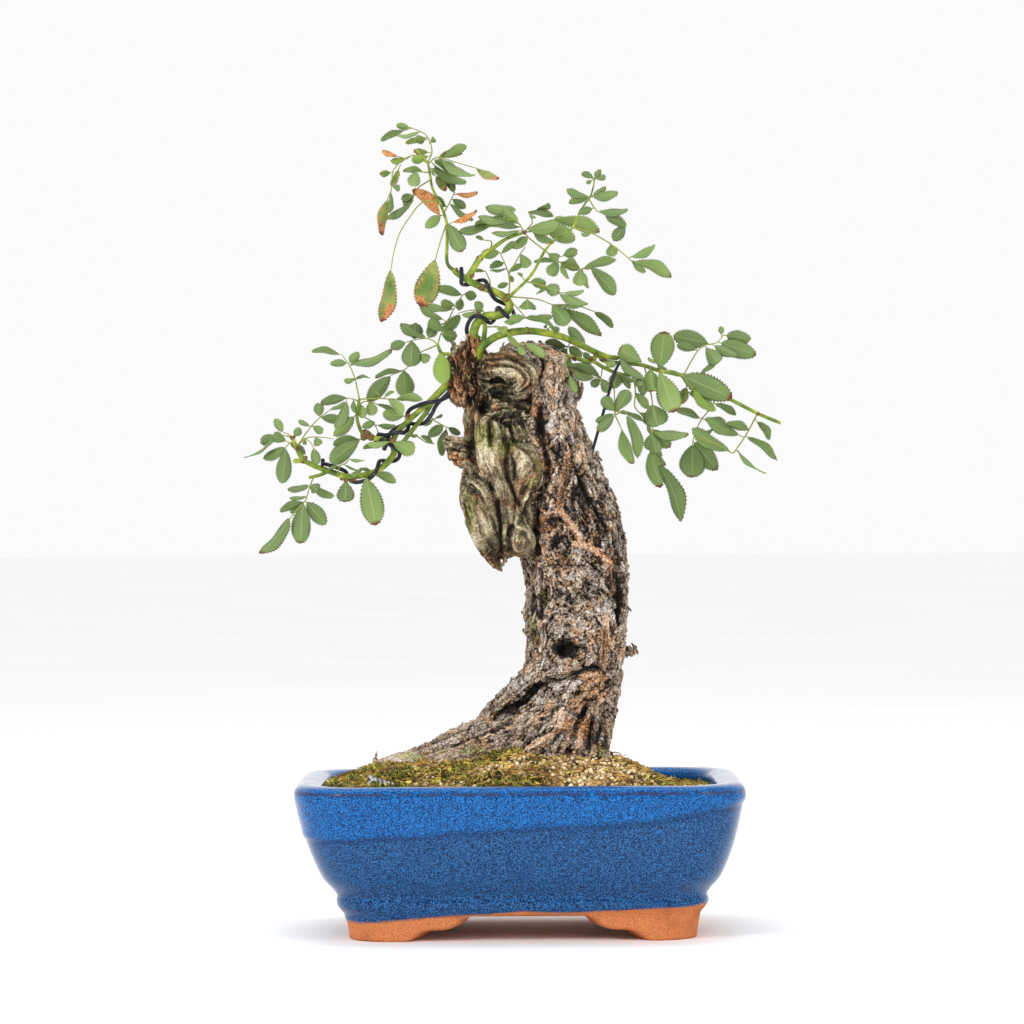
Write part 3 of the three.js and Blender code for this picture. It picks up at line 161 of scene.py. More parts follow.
def cellsAt(points, size, seed=0):
    # nearest and second nearest distance to scattered seeds, the nearest seed's number and the lean of its plate
    p = points / size
    base = np.floor(p)
    first = np.full(len(p), 9.0)
    second = np.full(len(p), 9.0)
    own = np.zeros(len(p))
    lean = np.zeros(len(p))
    for offset in np.ndindex(3, 3, 3):
        cell = base + np.array(offset) - 1
        drawn = scatterOf(cell, seed)
        apart = p - cell - drawn
        away = np.linalg.norm(apart, axis=1)
        closer = away < first
        second = np.where(closer, first, np.minimum(second, away))
        own = np.where(closer, drawn[:, 1], own)
        lean = np.where(closer, (apart * (drawn[:, ::-1] * 2 - 1)).sum(1), lean)
        first = np.where(closer, away, first)
    return first, second, own, lean


# ---- Meshes
def makeObject(name, points, quads=None, triangles=None, values=None, uv=None, smooth=True):
    # points in millimetres; values are named numbers for each point, uv is a pair for each point
    quads = np.zeros((0, 4), int) if quads is None else np.asarray(quads)
    triangles = np.zeros((0, 3), int) if triangles is None else np.asarray(triangles)
    mesh = bpy.data.meshes.new(name)
    mesh.vertices.add(len(points))
    mesh.vertices.foreach_set("co", (np.asarray(points, float) / 1000).ravel())
    corners = np.concatenate([quads.ravel(), triangles.ravel()])
    mesh.loops.add(len(corners))
    mesh.loops.foreach_set("vertex_index", corners)
    mesh.polygons.add(len(quads) + len(triangles))
    starts = np.concatenate([np.arange(len(quads)) * 4, len(quads) * 4 + np.arange(len(triangles)) * 3])
    mesh.polygons.foreach_set("loop_start", starts)
    mesh.polygons.foreach_set("use_smooth", np.full(len(starts), smooth))
    for label, numbers in (values or {}).items():
        layer = mesh.attributes.new(label, "FLOAT", "POINT")
        layer.data.foreach_set("value", np.asarray(numbers, float))
    if uv is not None:
        layer = mesh.uv_layers.new(name="UVMap")
        layer.data.foreach_set("uv", np.asarray(uv, float)[corners].ravel())
    mesh.update(calc_edges=True)
    mesh.validate()
    made = bpy.data.objects.new(name, mesh)
    bpy.context.scene.collection.objects.link(made)
    return made


def addValues(made, values):
    for label, numbers in values.items():
        layer = made.data.attributes.new(label, "FLOAT", "POINT")
        layer.data.foreach_set("value", np.asarray(numbers, float))


def place(made, material, slot, *replaced):
    made.data.materials.clear()
    made.data.materials.append(material)
    if replaced:
        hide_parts(*replaced)
    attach(made, "root")
    return made


def pointsOf(made):
    points = np.empty(len(made.data.vertices) * 3)
    made.data.vertices.foreach_get("co", points)
    return points.reshape(-1, 3) * 1000


def normalsOf(made):
    normals = np.empty(len(made.data.vertices) * 3)
    made.data.vertex_normals.foreach_get("vector", normals)
    return normals.reshape(-1, 3)


def valuesOf(made, name):
    values = np.empty(len(made.data.vertices))
    made.data.attributes[name].data.foreach_get("value", values)
    return values


def setPoints(made, points):
    made.data.vertices.foreach_set("co", (points / 1000).ravel())
    made.data.update()


def ringGrid(rings, count, start=0, closed=True):
    # quads between rings of equal count, turning outwards when each ring runs anticlockwise seen from its end
    ring = np.arange(rings - 1)[:, None] * count
    step = np.arange(count if closed else count - 1)[None, :]
    after = (step + 1) % count
    quads = np.stack([ring + step, ring + after, ring + count + after, ring + count + step], -1)
    return quads.reshape(-1, 4) + start


class Builder:
    # gathers many small shapes into one mesh
    def __init__(self):
        self.points, self.quads, self.triangles, self.uv, self.values = [], [], [], [], {}
        self.count = 0

    def add(self, points, quads=None, triangles=None, uv=None, values=None):
        self.points.append(points)
        if quads is not None and len(quads):
            self.quads.append(np.asarray(quads) + self.count)
        if triangles is not None and len(triangles):
            self.triangles.append(np.asarray(triangles) + self.count)
        self.uv.append(np.zeros((len(points), 2)) if uv is None else uv)
        for label in set(self.values) | set(values or {}):
            column = self.values.setdefault(label, [np.zeros(self.count)] if self.count else [])
            given = (values or {}).get(label, 0.0)
            column.append(np.broadcast_to(np.asarray(given, float), (len(points),)))
        self.count += len(points)

    def tube(self, centres, radii, sides, flat=1.0, values=None, domed=True, lobes=None):
        points, quads, triangles = tubeMesh(centres, radii, sides, flat, domed, lobes)
        along = np.repeat(np.linspace(0, 1, (len(points) - 2) // sides), sides)
        around = np.tile(np.arange(sides) / sides, (len(points) - 2) // sides)
        uv = np.vstack([np.stack([around, along], 1), [[0, 0], [0, 1]]])
        self.add(points, quads, triangles, uv, values(points) if callable(values) else values)

    def make(self, name, smooth=True):
        quads = np.vstack(self.quads) if self.quads else None
        triangles = np.vstack(self.triangles) if self.triangles else None
        values = {label: np.concatenate(column) for label, column in self.values.items()}
        return makeObject(name, np.vstack(self.points), quads, triangles, values, np.vstack(self.uv), smooth)


def tubeMesh(centres, radii, sides, flat=1.0, domed=True, lobes=None):
    # a closed tube along the centres, with a frame that doesn't twist
    centres = np.asarray(centres, float)
    radii = np.broadcast_to(np.asarray(radii, float), (len(centres),)).copy()
    tangents = unit(np.gradient(centres, axis=0))
    if domed:
        # two more rings at each end round it off
        ends = []
        for index, sign in ((0, -1), (-1, 1)):
            shift = tangents[index] * sign * radii[index]
            ends.append([(centres[index] + shift * out, radii[index] * share) for out, share in ((0.5, 0.86), (0.85, 0.5))])
        head, tail = ends[0][::-1], ends[1]
        centres = np.vstack([[c for c, r in head], centres, [c for c, r in tail]])
        radii = np.concatenate([[r for c, r in head], radii, [r for c, r in tail]])
        tangents = np.vstack([tangents[:1], tangents[:1], tangents, tangents[-1:], tangents[-1:]])
    side = sideways(tangents[:1])[0]
    sides1 = []
    for tangent in tangents:
        side = side - tangent * side.dot(tangent)
        side = side / max(np.linalg.norm(side), 1e-9)
        sides1.append(side)
    sides1 = np.array(sides1)
    sides2 = np.cross(tangents, sides1)
    angle = np.arange(sides) * 2 * math.pi / sides
    reach = radii[:, None] * (1 if lobes is None else lobes(np.arange(len(radii))[:, None], angle[None, :]))
    ring = (centres[:, None] + sides1[:, None] * (reach * np.cos(angle))[..., None]
            + sides2[:, None] * (reach * flat * np.sin(angle))[..., None])
    points = np.vstack([ring.reshape(-1, 3), centres[:1], centres[-1:]])
    quads = ringGrid(len(centres), sides)
    last = (len(centres) - 1) * sides
    step = np.arange(sides)
    after = (step + 1) % sides
    low = np.stack([np.full(sides, len(points) - 2), after, step], 1)
    high = np.stack([np.full(sides, len(points) - 1), last + step, last + after], 1)
    return points, quads, np.vstack([low, high])


spike = np.array([[1, 0, -0.15], [-0.5, 0.87, -0.15], [-0.5, -0.87, -0.15], [0, 0, 1]])
spikeFaces = np.array([[0, 2, 1], [0, 1, 3], [1, 2, 3], [2, 0, 3]])


def strewn(name, at, axes, shape, faces, values, smooth=False):
    # many copies of one small closed shape; axes holds the three drawn-out directions of each copy
    points = at[:, None] + np.einsum("nij,njk->nik", np.broadcast_to(shape, (len(at),) + shape.shape[-2:]), axes)
    count = points.shape[1]
    every = np.asarray(faces)[None] + np.arange(len(at))[:, None, None] * count
    values = {label: np.broadcast_to(numbers, (len(at), count)).ravel() if np.ndim(numbers) == 2
              else np.repeat(numbers, count) for label, numbers in values.items()}
    return makeObject(name, points.reshape(-1, 3), None, every.reshape(-1, 3), values, smooth=smooth)


def axesAlong(along, draw, width, length):
    # three directions with the last one along, drawn out to a width and a length
    along = unit(along)
    side = unit(np.cross(along, unit(draw.normal(0, 1, along.shape))))
    other = np.cross(along, side)
    return np.stack([side * width[:, None], other * width[:, None], along * length[:, None]], 1)


# ---- Shader nodes
def addNode(tree, kind, inputs=None, **settings):
    made = tree.nodes.new(kind)
    for key, value in settings.items():
        setattr(made, key, value)
    for key, value in (inputs or {}).items():
        socket = made.inputs[key]
        if isinstance(value, bpy.types.NodeSocket):
            tree.links.new(value, socket)
        else:
            socket.default_value = value
    return made


def colour(red, green, blue):
    return (red, green, blue, 1)


def mixed(tree, share, first, second, way="MIX"):
    made = addNode(tree, "ShaderNodeMix", {0: share, 6: first, 7: second}, data_type="RGBA", blend_type=way)
    return made.outputs[2]


def worked(tree, operation, first, second=0.0, clamp=False):
    made = addNode(tree, "ShaderNodeMath", {0: first, 1: second}, operation=operation, use_clamp=clamp)
    return made.outputs[0]


def spread(tree, value, low, high, to=(0.0, 1.0)):
    made = addNode(tree, "ShaderNodeMapRange", {0: value, 1: low, 2: high, 3: to[0], 4: to[1]})
    made.clamp = True
    return made.outputs[0]


def ramp(tree, value, stops):
    made = addNode(tree, "ShaderNodeValToRGB", {0: value})
    elements = made.color_ramp.elements
    while len(elements) < len(stops):
        elements.new(0.5)
    for element, (position, shade) in zip(elements, stops):
        element.position = position
        element.color = shade
    return made.outputs[0]


def noise(tree, vector, scale, detail=3.0, roughness=0.55, distortion=0.0):
    made = addNode(tree, "ShaderNodeTexNoise", {"Vector": vector, "Scale": scale, "Detail": detail,
                                                "Roughness": roughness, "Distortion": distortion})
    return made.outputs[0]


def voronoi(tree, vector, scale, feature="F1", output="Distance", randomness=1.0):
    made = addNode(tree, "ShaderNodeTexVoronoi", {"Vector": vector, "Scale": scale, "Randomness": randomness},
                   feature=feature)
    return made.outputs[output]


def attribute(tree, name):
    return addNode(tree, "ShaderNodeAttribute", attribute_name=name).outputs["Fac"]


def stretched(tree, vector, scale):
    return addNode(tree, "ShaderNodeMapping", {"Vector": vector, "Scale": scale}).outputs[0]


def bumped(tree, height, strength, distance, normal=None):
    inputs = {"Height": height, "Strength": strength, "Distance": distance}
    if normal is not None:
        inputs["Normal"] = normal
    return addNode(tree, "ShaderNodeBump", inputs).outputs[0]


def newMaterial(name, **uniform):
    material = bpy.data.materials.new(name)
    material.use_nodes = True
    tree = material.node_tree
    shader = tree.nodes["Principled BSDF"]
    for key, value in uniform.items():
        shader.inputs[key].default_value = value
    place3d = addNode(tree, "ShaderNodeTexCoord").outputs["Object"]
    return material, tree, shader, place3d


def newGroup(name, inputs, outputs):
    # inputs and outputs are (name, kind, default) rows
    tree = bpy.data.node_groups.new(name, "ShaderNodeTree")
    for label, kind, start in inputs:
        socket = tree.interface.new_socket(name=label, in_out="INPUT", socket_type=kind)
        if start is not None:
            socket.default_value = start
    for label, kind in outputs:
        tree.interface.new_socket(name=label, in_out="OUTPUT", socket_type=kind)
    source = tree.nodes.new("NodeGroupInput")
    target = tree.nodes.new("NodeGroupOutput")
    return tree, source.outputs, target.inputs


def useGroup(tree, group, **inputs):
    made = addNode(tree, "ShaderNodeGroup", node_tree=group)
    for key, value in inputs.items():
        socket = made.inputs[key]
        if isinstance(value, bpy.types.NodeSocket):
            tree.links.new(value, socket)
        else:
            socket.default_value = value
    return made.outputs


def makeSpeckle():
    # soft blotches with fine flecks on them
    tree, given, wanted = newGroup("speckle", [
        ("place", "NodeSocketVector", None), ("size", "NodeSocketFloat", 0.01), ("fleck", "NodeSocketFloat", 0.001),
    ], [("blotch", "NodeSocketFloat"), ("fleck", "NodeSocketFloat")])
    wide = addNode(tree, "ShaderNodeTexNoise", {"Vector": given["place"], "Detail": 3.0, "Roughness": 0.55})
    tree.links.new(worked(tree, "DIVIDE", 1.0, given["size"]), wide.inputs["Scale"])
    fine = addNode(tree, "ShaderNodeTexNoise", {"Vector": given["place"], "Detail": 4.0, "Roughness": 0.7})
    tree.links.new(worked(tree, "DIVIDE", 1.0, given["fleck"]), fine.inputs["Scale"])
    tree.links.new(wide.outputs[0], wanted["blotch"])
    tree.links.new(fine.outputs[0], wanted["fleck"])
    return tree


def makeGrain():
    # fibres that run along the place's third axis
    tree, given, wanted = newGroup("grain", [
        ("place", "NodeSocketVector", None), ("across", "NodeSocketFloat", 0.001), ("along", "NodeSocketFloat", 0.01),
        ("bend", "NodeSocketFloat", 0.002),
    ], [("fibre", "NodeSocketFloat"), ("split", "NodeSocketFloat")])
    drift = addNode(tree, "ShaderNodeTexNoise", {"Vector": given["place"], "Scale": 60.0, "Detail": 2.0})
    pushed = addNode(tree, "ShaderNodeVectorMath", {0: drift.outputs["Color"]}, operation="SCALE")
    tree.links.new(given["bend"], pushed.inputs["Scale"])
    bent = addNode(tree, "ShaderNodeVectorMath", {0: given["place"], 1: pushed.outputs[0]}, operation="ADD")
    thin = worked(tree, "DIVIDE", 1.0, given["across"])
    long = worked(tree, "DIVIDE", 1.0, given["along"])
    scale = addNode(tree, "ShaderNodeCombineXYZ", {0: thin, 1: thin, 2: long})
    run = addNode(tree, "ShaderNodeVectorMath", {0: bent.outputs[0], 1: scale.outputs[0]}, operation="MULTIPLY")
    fibre = addNode(tree, "ShaderNodeTexNoise", {"Vector": run.outputs[0], "Scale": 1.0, "Detail": 4.0, "Roughness": 0.6})
    cracks = addNode(tree, "ShaderNodeTexNoise", {"Vector": run.outputs[0], "Scale": 0.4, "Detail": 2.0, "Roughness": 0.5})
    tree.links.new(fibre.outputs[0], wanted["fibre"])
    tree.links.new(spread(tree, cracks.outputs[0], 0.36, 0.46), wanted["split"])
    return tree


speckleGroup = makeSpeckle()
grainGroup = makeGrain()
print("helpers ready")


# ---- Pot
potShape = {
    "width": 107.0, "depth": 80.0, "corner": 28.0, "footRise": 12.2, "floorTop": 19.5, "hole": 8.0,
    "holeAcross": 45.0, "pocket": (65.0, 38.0, 10.0), "wobble": 0.3,
    "glazeEdge": (8.6, 9.4, 12.4, 13.8, 14.4, 16.2, 17.4), "coatEdge": (50.0, 51.5, 54.0, 56.0, 59.0, 66.0),
    "glazeThick": 0.35, "coatThick": 0.5, "bow": 0.8, "archShift": 2.6, "footShift": 1.4,
}
# height and half width, up the outside, over the rim and down to the floor
potOutside = [
    (0, 83.8), (5, 84.4), (9, 85.2), (12.2, 86), (14.2, 87.6), (16.4, 89), (19, 89.5), (21.4, 89.1), (23.6, 90.3),
    (29.5, 95.2), (41, 100.4), (50.5, 103.4), (64, 106.5), (70, 107.4), (72.4, 107), (73.9, 105.6), (74.6, 103),
]
potInside = [(74.4, 98.5), (73.4, 96), (71.5, 94.8), (68, 95.2), (62, 97.4), (50, 95.6), (41, 92.6), (29.5, 87.4),
             (22, 80.5), (19.5, 74)]
# half width and height of the cloud-foot arches, from the foot to their flat top
frontArch = [(26.9, 12.2), (31.6, 10.4), (35, 7.4), (38.8, 5.8), (49.3, 5), (52.8, 3.8), (56, 1.3), (58.4, 0)]
sideArch = [(9.5, 12.2), (13, 10.4), (15.5, 7.4), (18.5, 5.8), (25, 5), (27.5, 3.8), (30, 1.3), (32, 0)]


def smoothRows(rows, step):
    # a two-number profile as a soft curve, sampled about every step millimetres
    rows = np.array(rows, float)
    fine = curveAt(np.c_[rows, np.zeros(len(rows))], np.linspace(0, 1, 40 * len(rows)))[:, :2]
    length = np.concatenate([[0], np.cumsum(np.linalg.norm(np.diff(fine, axis=0), axis=1))])
    wanted = np.linspace(0, length[-1], max(3, int(length[-1] / step)))
    return np.stack([np.interp(wanted, length, fine[:, 0]), np.interp(wanted, length, fine[:, 1])], 1)


def roundedLoop(halfX, halfY, corner, arcSteps=16, spacing=2.6):
    # anticlockwise from the +X side, with the same count of points for every size
    stepsX = int(2 * (potShape["width"] - potShape["corner"]) / spacing)
    stepsY = int(2 * (potShape["depth"] - potShape["corner"]) / spacing)
    corners = [(1, 1), (-1, 1), (-1, -1), (1, -1)]
    arcs = []
    for quarter, (signX, signY) in enumerate(corners):
        angle = (quarter + np.linspace(0, 1, arcSteps + 1)) * math.pi / 2
        arcs.append(np.stack([signX * (halfX - corner) + corner * np.cos(angle),
                              signY * (halfY - corner) + corner * np.sin(angle)], 1))
    loop = []
    for quarter, arc in enumerate(arcs):
        steps = stepsX if quarter % 2 == 0 else stepsY
        share = (np.arange(1, steps) / steps)[:, None]
        loop += [arc, arc[-1] + (arcs[(quarter + 1) % 4][0] - arc[-1]) * share]
    return np.vstack(loop)


def potLoop(half, less=0.0, **fineness):
    half = half - less
    corner = potShape["corner"] - (potShape["width"] - half) * 0.35
    deep = half - (potShape["width"] - potShape["depth"])
    loop = roundedLoop(half, deep, corner, **fineness)
    loop[:, 0] *= 1 + potShape["bow"] * (1 - 2 * (loop[:, 1] / deep) ** 2) / half
    return loop


def archRise(loop):
    # how far the foot ring is cut up at each point of its outline
    front, side = smoothRows(frontArch, 0.8), smoothRows(sideArch, 0.8)
    overFront = np.interp(np.abs(loop[:, 0] - potShape["archShift"]), front[:, 0], front[:, 1])
    overSide = np.interp(np.abs(loop[:, 1]), side[:, 0], side[:, 1])
    alongX = np.abs(loop[:, 1]) > np.abs(loop[:, 0]) - (potShape["width"] - potShape["depth"])
    return np.clip(np.where(alongX, overFront, overSide), 0, potShape["footRise"] - 0.3)


def edgeAcross(x, levels):
    return np.interp(x, np.linspace(-potShape["width"], potShape["width"], len(levels)), levels)


def makePot():
    foot, edge = potShape["footRise"], 0.5
    base = potLoop(potOutside[0][1])
    rise = archRise(base)
    pocket = roundedLoop(*potShape["pocket"])
    profile = smoothRows(potOutside, 1.1)
    lower, upper = profile[(profile[:, 0] > edge) & (profile[:, 0] < 70)], profile[profile[:, 0] >= 70]
    # the hollow's ceiling, its wall and the foot ring's underside
    rings = [np.c_[pocket * share, np.full(len(pocket), foot)] for share in (0.1, 0.3, 0.5, 0.7, 0.85, 0.95, 0.99)]
    rings += [np.c_[pocket, foot + (rise - foot) * share] for share in (0.1, 0.5, 0.95)]
    rings += [np.c_[pocket + (base - pocket) * share, rise] for share in (0.06, 0.5, 0.93)]
    rings.append(np.c_[base * 0.997, rise + 0.08])
    # the outside: below the moulding each column starts at its own arch
    levels = np.linspace(0, 71, 240)
    loops = np.array([potLoop(half) for half in np.interp(levels, profile[:, 0], profile[:, 1])])
    squeeze = np.clip((21 - lower[:, 0]) / (21 - edge), 0, 1)
    heights = lower[:, :1] + squeeze[:, None] * rise[None, :]
    for level in heights:
        rings.append(np.stack([
            [np.interp(level[column], levels, loops[:, column, axis]) for column in range(len(rise))]
            for axis in (0, 1)] + [level], 1))
    rings += [np.c_[potLoop(half), np.full(len(base), z)] for z, half in upper]
    outer = len(rings)
    rings += [np.c_[potLoop(half), np.full(len(base), z)] for z, half in smoothRows(potOutside[-1:] + potInside, 1.8)[1:]]
    rings += [np.c_[potLoop(74) * share, np.full(len(base), potShape["floorTop"])] for share in (0.93, 0.8, 0.6, 0.4, 0.2)]
    count = len(base)
    points = np.vstack(rings + [np.array([[0, 0, foot], [0, 0, potShape["floorTop"]]])])
    step = np.arange(count)
    after = (step + 1) % count
    last = (len(rings) - 1) * count
    low = np.stack([np.full(count, len(points) - 2), after, step], 1)
    high = np.stack([np.full(count, len(points) - 1), last + step, last + after], 1)
    pot = makeObject("potBody", points, ringGrid(len(rings), count), np.vstack([low, high]))
    x, z = points[:, 0], points[:, 2]
    ring = np.minimum(np.arange(len(points)) // count, len(rings) - 1)
    x += potShape["footShift"] * np.clip(1 - z / 60, 0, 1) * (ring < outer)
    shown = (ring >= 13) & (ring < outer + 12)
    lines = layeredNoise(points * (1, 1, 0.3), 22, 3, 5)
    glazeLine = edgeAcross(x, potShape["glazeEdge"]) + 1.3 * lines
    coatLine = edgeAcross(x, potShape["coatEdge"]) + 1.5 * lines
    glaze = np.where(shown, smoothstep(-0.5, 0.5, z - glazeLine), 0)
    roll = np.exp(-((z - glazeLine - 1.2) / 1.1) ** 2)
    coat = np.where(shown, smoothstep(-1, 1, z - coatLine), 0)
    swell = np.exp(-((z - coatLine - 1.9) / 2) ** 2)
    lift = potShape["glazeThick"] * (glaze + 0.8 * roll * glaze) + potShape["coatThick"] * (coat + 0.7 * swell * coat)
    lift += potShape["wobble"] * layeredNoise(points, 40, 2, 9) * smoothstep(2, 14, z) * shown
    setPoints(pot, points + normalsOf(pot) * (lift - 0.35)[:, None] * shown[:, None])
    rimLine = np.exp(-((z - 71.6) / 0.6) ** 2) * (ring < outer)
    # painted shade: a darker band just under the raised edge of the upper coat, where its ledge shades the wall
    ledgeShade = np.exp(-((z - coatLine + 1.4) / 1.5) ** 2) * shown
    addValues(pot, {"glaze": glaze, "coat": coat, "thin": rimLine, "ledgeShade": ledgeShade})
    cutter = Builder()
    for side in (-1, 1):
        centres = [(side * potShape["holeAcross"], 0, z) for z in (5, 30)]
        cutter.tube(centres, potShape["hole"], 48, domed=False)
    holes = cutter.make("drainCutter")
    cut = pot.modifiers.new("drainHoles", "BOOLEAN")
    cut.object = holes
    cut.solver = "EXACT"
    applyModifiers(pot)
    bpy.data.objects.remove(holes)
    return pot


def applyModifiers(made):
    graph = bpy.context.evaluated_depsgraph_get()
    graph.update()
    fresh = bpy.data.meshes.new_from_object(made.evaluated_get(graph))
    made.modifiers.clear()
    old = made.data
    made.data = fresh
    bpy.data.meshes.remove(old)


def potMaterial():
    material, tree, shader, where = newMaterial("blueGlaze", **{"Specular IOR Level": 0.12, "Coat Roughness": 0.06})
    blotches = useGroup(tree, speckleGroup, place=where, size=0.03, fleck=0.00062)
    flecks = useGroup(tree, speckleGroup, place=where, size=0.006, fleck=0.0005)
    glaze, coat = attribute(tree, "glaze"), attribute(tree, "coat")
    dark = ramp(tree, blotches["fleck"], [(0.42, colour(0.001, 0.003, 0.02)), (0.5, colour(0.003, 0.042, 0.135)),
                                          (0.57, colour(0.04, 0.17, 0.42))])
    bright = ramp(tree, blotches["fleck"], [(0.42, colour(0.001, 0.01, 0.06)), (0.5, colour(0.002, 0.068, 0.25)),
                                            (0.57, colour(0.02, 0.21, 0.6))])
    blue = mixed(tree, coat, dark, bright)
    blue = mixed(tree, spread(tree, blotches["blotch"], 0.3, 0.75, (0.0, 0.22)), blue, colour(0.003, 0.06, 0.21))
    # painted shade under the upper coat's ledge
    blue = mixed(tree, worked(tree, "MULTIPLY", attribute(tree, "ledgeShade"), 0.45), blue, colour(0.001, 0.016, 0.09))
    brown = worked(tree, "MULTIPLY", attribute(tree, "thin"), spread(tree, flecks["blotch"], 0.3, 0.5), True)
    blue = mixed(tree, worked(tree, "MULTIPLY", brown, 0.85), blue, colour(0.045, 0.026, 0.035))
    clay = ramp(tree, flecks["fleck"], [(0.3, colour(0.26, 0.07, 0.025)), (0.52, colour(0.62, 0.205, 0.072)),
                                        (0.75, colour(0.84, 0.4, 0.17))])
    # kiln scorch darkens parts of the bare clay
    scorch = spread(tree, blotches["blotch"], 0.52, 0.66, (0.0, 0.5))
    clay = mixed(tree, scorch, clay, colour(0.3, 0.085, 0.03))
    tree.links.new(mixed(tree, glaze, clay, blue), shader.inputs["Base Color"])
    # the clear coat shows most where the wall turns away
    rim = addNode(tree, "ShaderNodeLayerWeight", {"Blend": 0.5}).outputs["Facing"]
    tree.links.new(worked(tree, "MULTIPLY", glaze, spread(tree, rim, 0.45, 0.95, (0.14, 1.0))), shader.inputs["Coat Weight"])
    gloss = spread(tree, flecks["fleck"], 0.3, 0.7, (0.2, 0.36))
    rough = addNode(tree, "ShaderNodeMix", {0: glaze, 2: 0.85, 3: gloss}, data_type="FLOAT").outputs[0]
    tree.links.new(rough, shader.inputs["Roughness"])
    height = worked(tree, "ADD", worked(tree, "MULTIPLY", blotches["fleck"], 0.35), flecks["fleck"])
    tree.links.new(bumped(tree, height, 0.25, 0.00025), shader.inputs["Normal"])
    return material


potBody = makePot()
place(potBody, potMaterial(), "pot", "pot")
print("pot made")


# ---- Drain screens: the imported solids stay, with a moulded plastic finish
def screenMaterial():
    material, tree, shader, where = newMaterial("screenPlastic", **{"Specular IOR Level": 0.4})
    specks = useGroup(tree, speckleGroup, place=where, size=0.004, fleck=0.0004)
    tree.links.new(ramp(tree, specks["blotch"], [(0.3, colour(0.012, 0.012, 0.014)), (0.7, colour(0.03, 0.03, 0.034))]),
                   shader.inputs["Base Color"])
    tree.links.new(spread(tree, specks["fleck"], 0.3, 0.7, (0.42, 0.62)), shader.inputs["Roughness"])
    tree.links.new(bumped(tree, specks["fleck"], 0.3, 0.0001), shader.inputs["Normal"])
    return material


screenFinish = screenMaterial()
for name in ("drain_mesh_left", "drain_mesh_right"):
    nodes[name].data.materials.clear()
    nodes[name].data.materials.append(screenFinish)


# ---- Soil
soilShape = {"gap": 0.35, "spacing": 1.2, "arcSteps": 28, "ringStep": 0.9, "lumps": 1.0, "grit": 0.8}


def soilHeight(x, y):
    def hump(at, wide):
        return np.exp(-np.abs((x - at) / wide) ** 4)
    across = np.exp(-(y / 54) ** 4)
    lumps = 0.5 * np.sin(x * 0.21 + y * 0.13) + 0.4 * np.sin(y * 0.27 - x * 0.09)
    front = np.where(y < 0, 2.2 * np.minimum(1, -y / 50), -1.2 * np.minimum(1, y / 50))
    return 70.6 - x / 80 + front + (14.6 * hump(27, 39) + 11.6 * hump(-38, 45)) * across + lumps * across


def mossAt(x, y):
    # where the bed is mossy, from 0 to 1
    points = np.stack([x, y, np.zeros_like(x)], -1)
    patchy = layeredNoise(points, 16, 3, 21)
    left = smoothstep(14, -8, x + 0.15 * y) + 0.6 * smoothstep(52, 66, x)
    return np.clip(left * smoothstep(-0.5, 0.15, patchy + 0.15), 0, 1)


def makeSoil():
    fine = {"arcSteps": soilShape["arcSteps"], "spacing": soilShape["spacing"]}
    walls = [(19.85, 73), (22.4, 80.2), (29.5, 87.4), (41, 92.6), (50, 95.6), (62, 97.4), (68, 95.2)]
    rings = [np.c_[potLoop(half, soilShape["gap"], **fine), np.full(len(potLoop(half, **fine)), z)] for z, half in walls]
    edge = potLoop(94.9, soilShape["gap"], **fine)
    shares = 1 - np.linspace(0, 1, int(95 / soilShape["ringStep"]))[:-1]
    top = []
    for share in shares:
        x, y = edge[:, 0] * share, edge[:, 1] * share
        z = soilHeight(x, y)
        top.append(np.stack([x, y, np.minimum(z, 72) if share == 1 else z], 1))
    flat = np.vstack(top)
    moss = mossAt(flat[:, 0], flat[:, 1])
    first, second, own, lean = cellsAt(flat * (1, 1, 0), 2.6, 31)
    grit = (0.5 - first) * (0.5 + own) * soilShape["grit"] * (1 - 0.6 * moss)
    lump = layeredNoise(flat, 9, 3, 41) * soilShape["lumps"] + layeredNoise(flat, 2.2, 2, 43) * 0.45 * moss
    inside = smoothstep(0, 3, 1.0 * np.repeat(1 - shares, len(edge)) * 95)
    flat[:, 2] += (grit + lump) * inside
    points = np.vstack([np.vstack(rings), flat])
    total = len(rings) + len(top)
    count = len(edge)
    quads = ringGrid(total, count)
    centre = np.array([[0, 0, 19.85], [0, 0, float(soilHeight(np.array(0.0), np.array(0.0)))]])
    points = np.vstack([points, centre])
    step = np.arange(count)
    after = (step + 1) % count
    last = (total - 1) * count
    low = np.stack([np.full(count, len(points) - 2), after, step], 1)
    high = np.stack([np.full(count, len(points) - 1), last + step, last + after], 1)
    blank = np.zeros(len(rings) * count)
    values = {
        "moss": np.concatenate([blank, moss, [0, 0]]),
        "grain": np.concatenate([blank, own, [0, 0]]),
        # painted shade in the low gaps between the grit's grains
        "gapShade": np.concatenate([blank, smoothstep(0.35, 0.75, first), [0, 0]]),
    }
    return makeObject("soilBed", points, quads, np.vstack([low, high]), values)


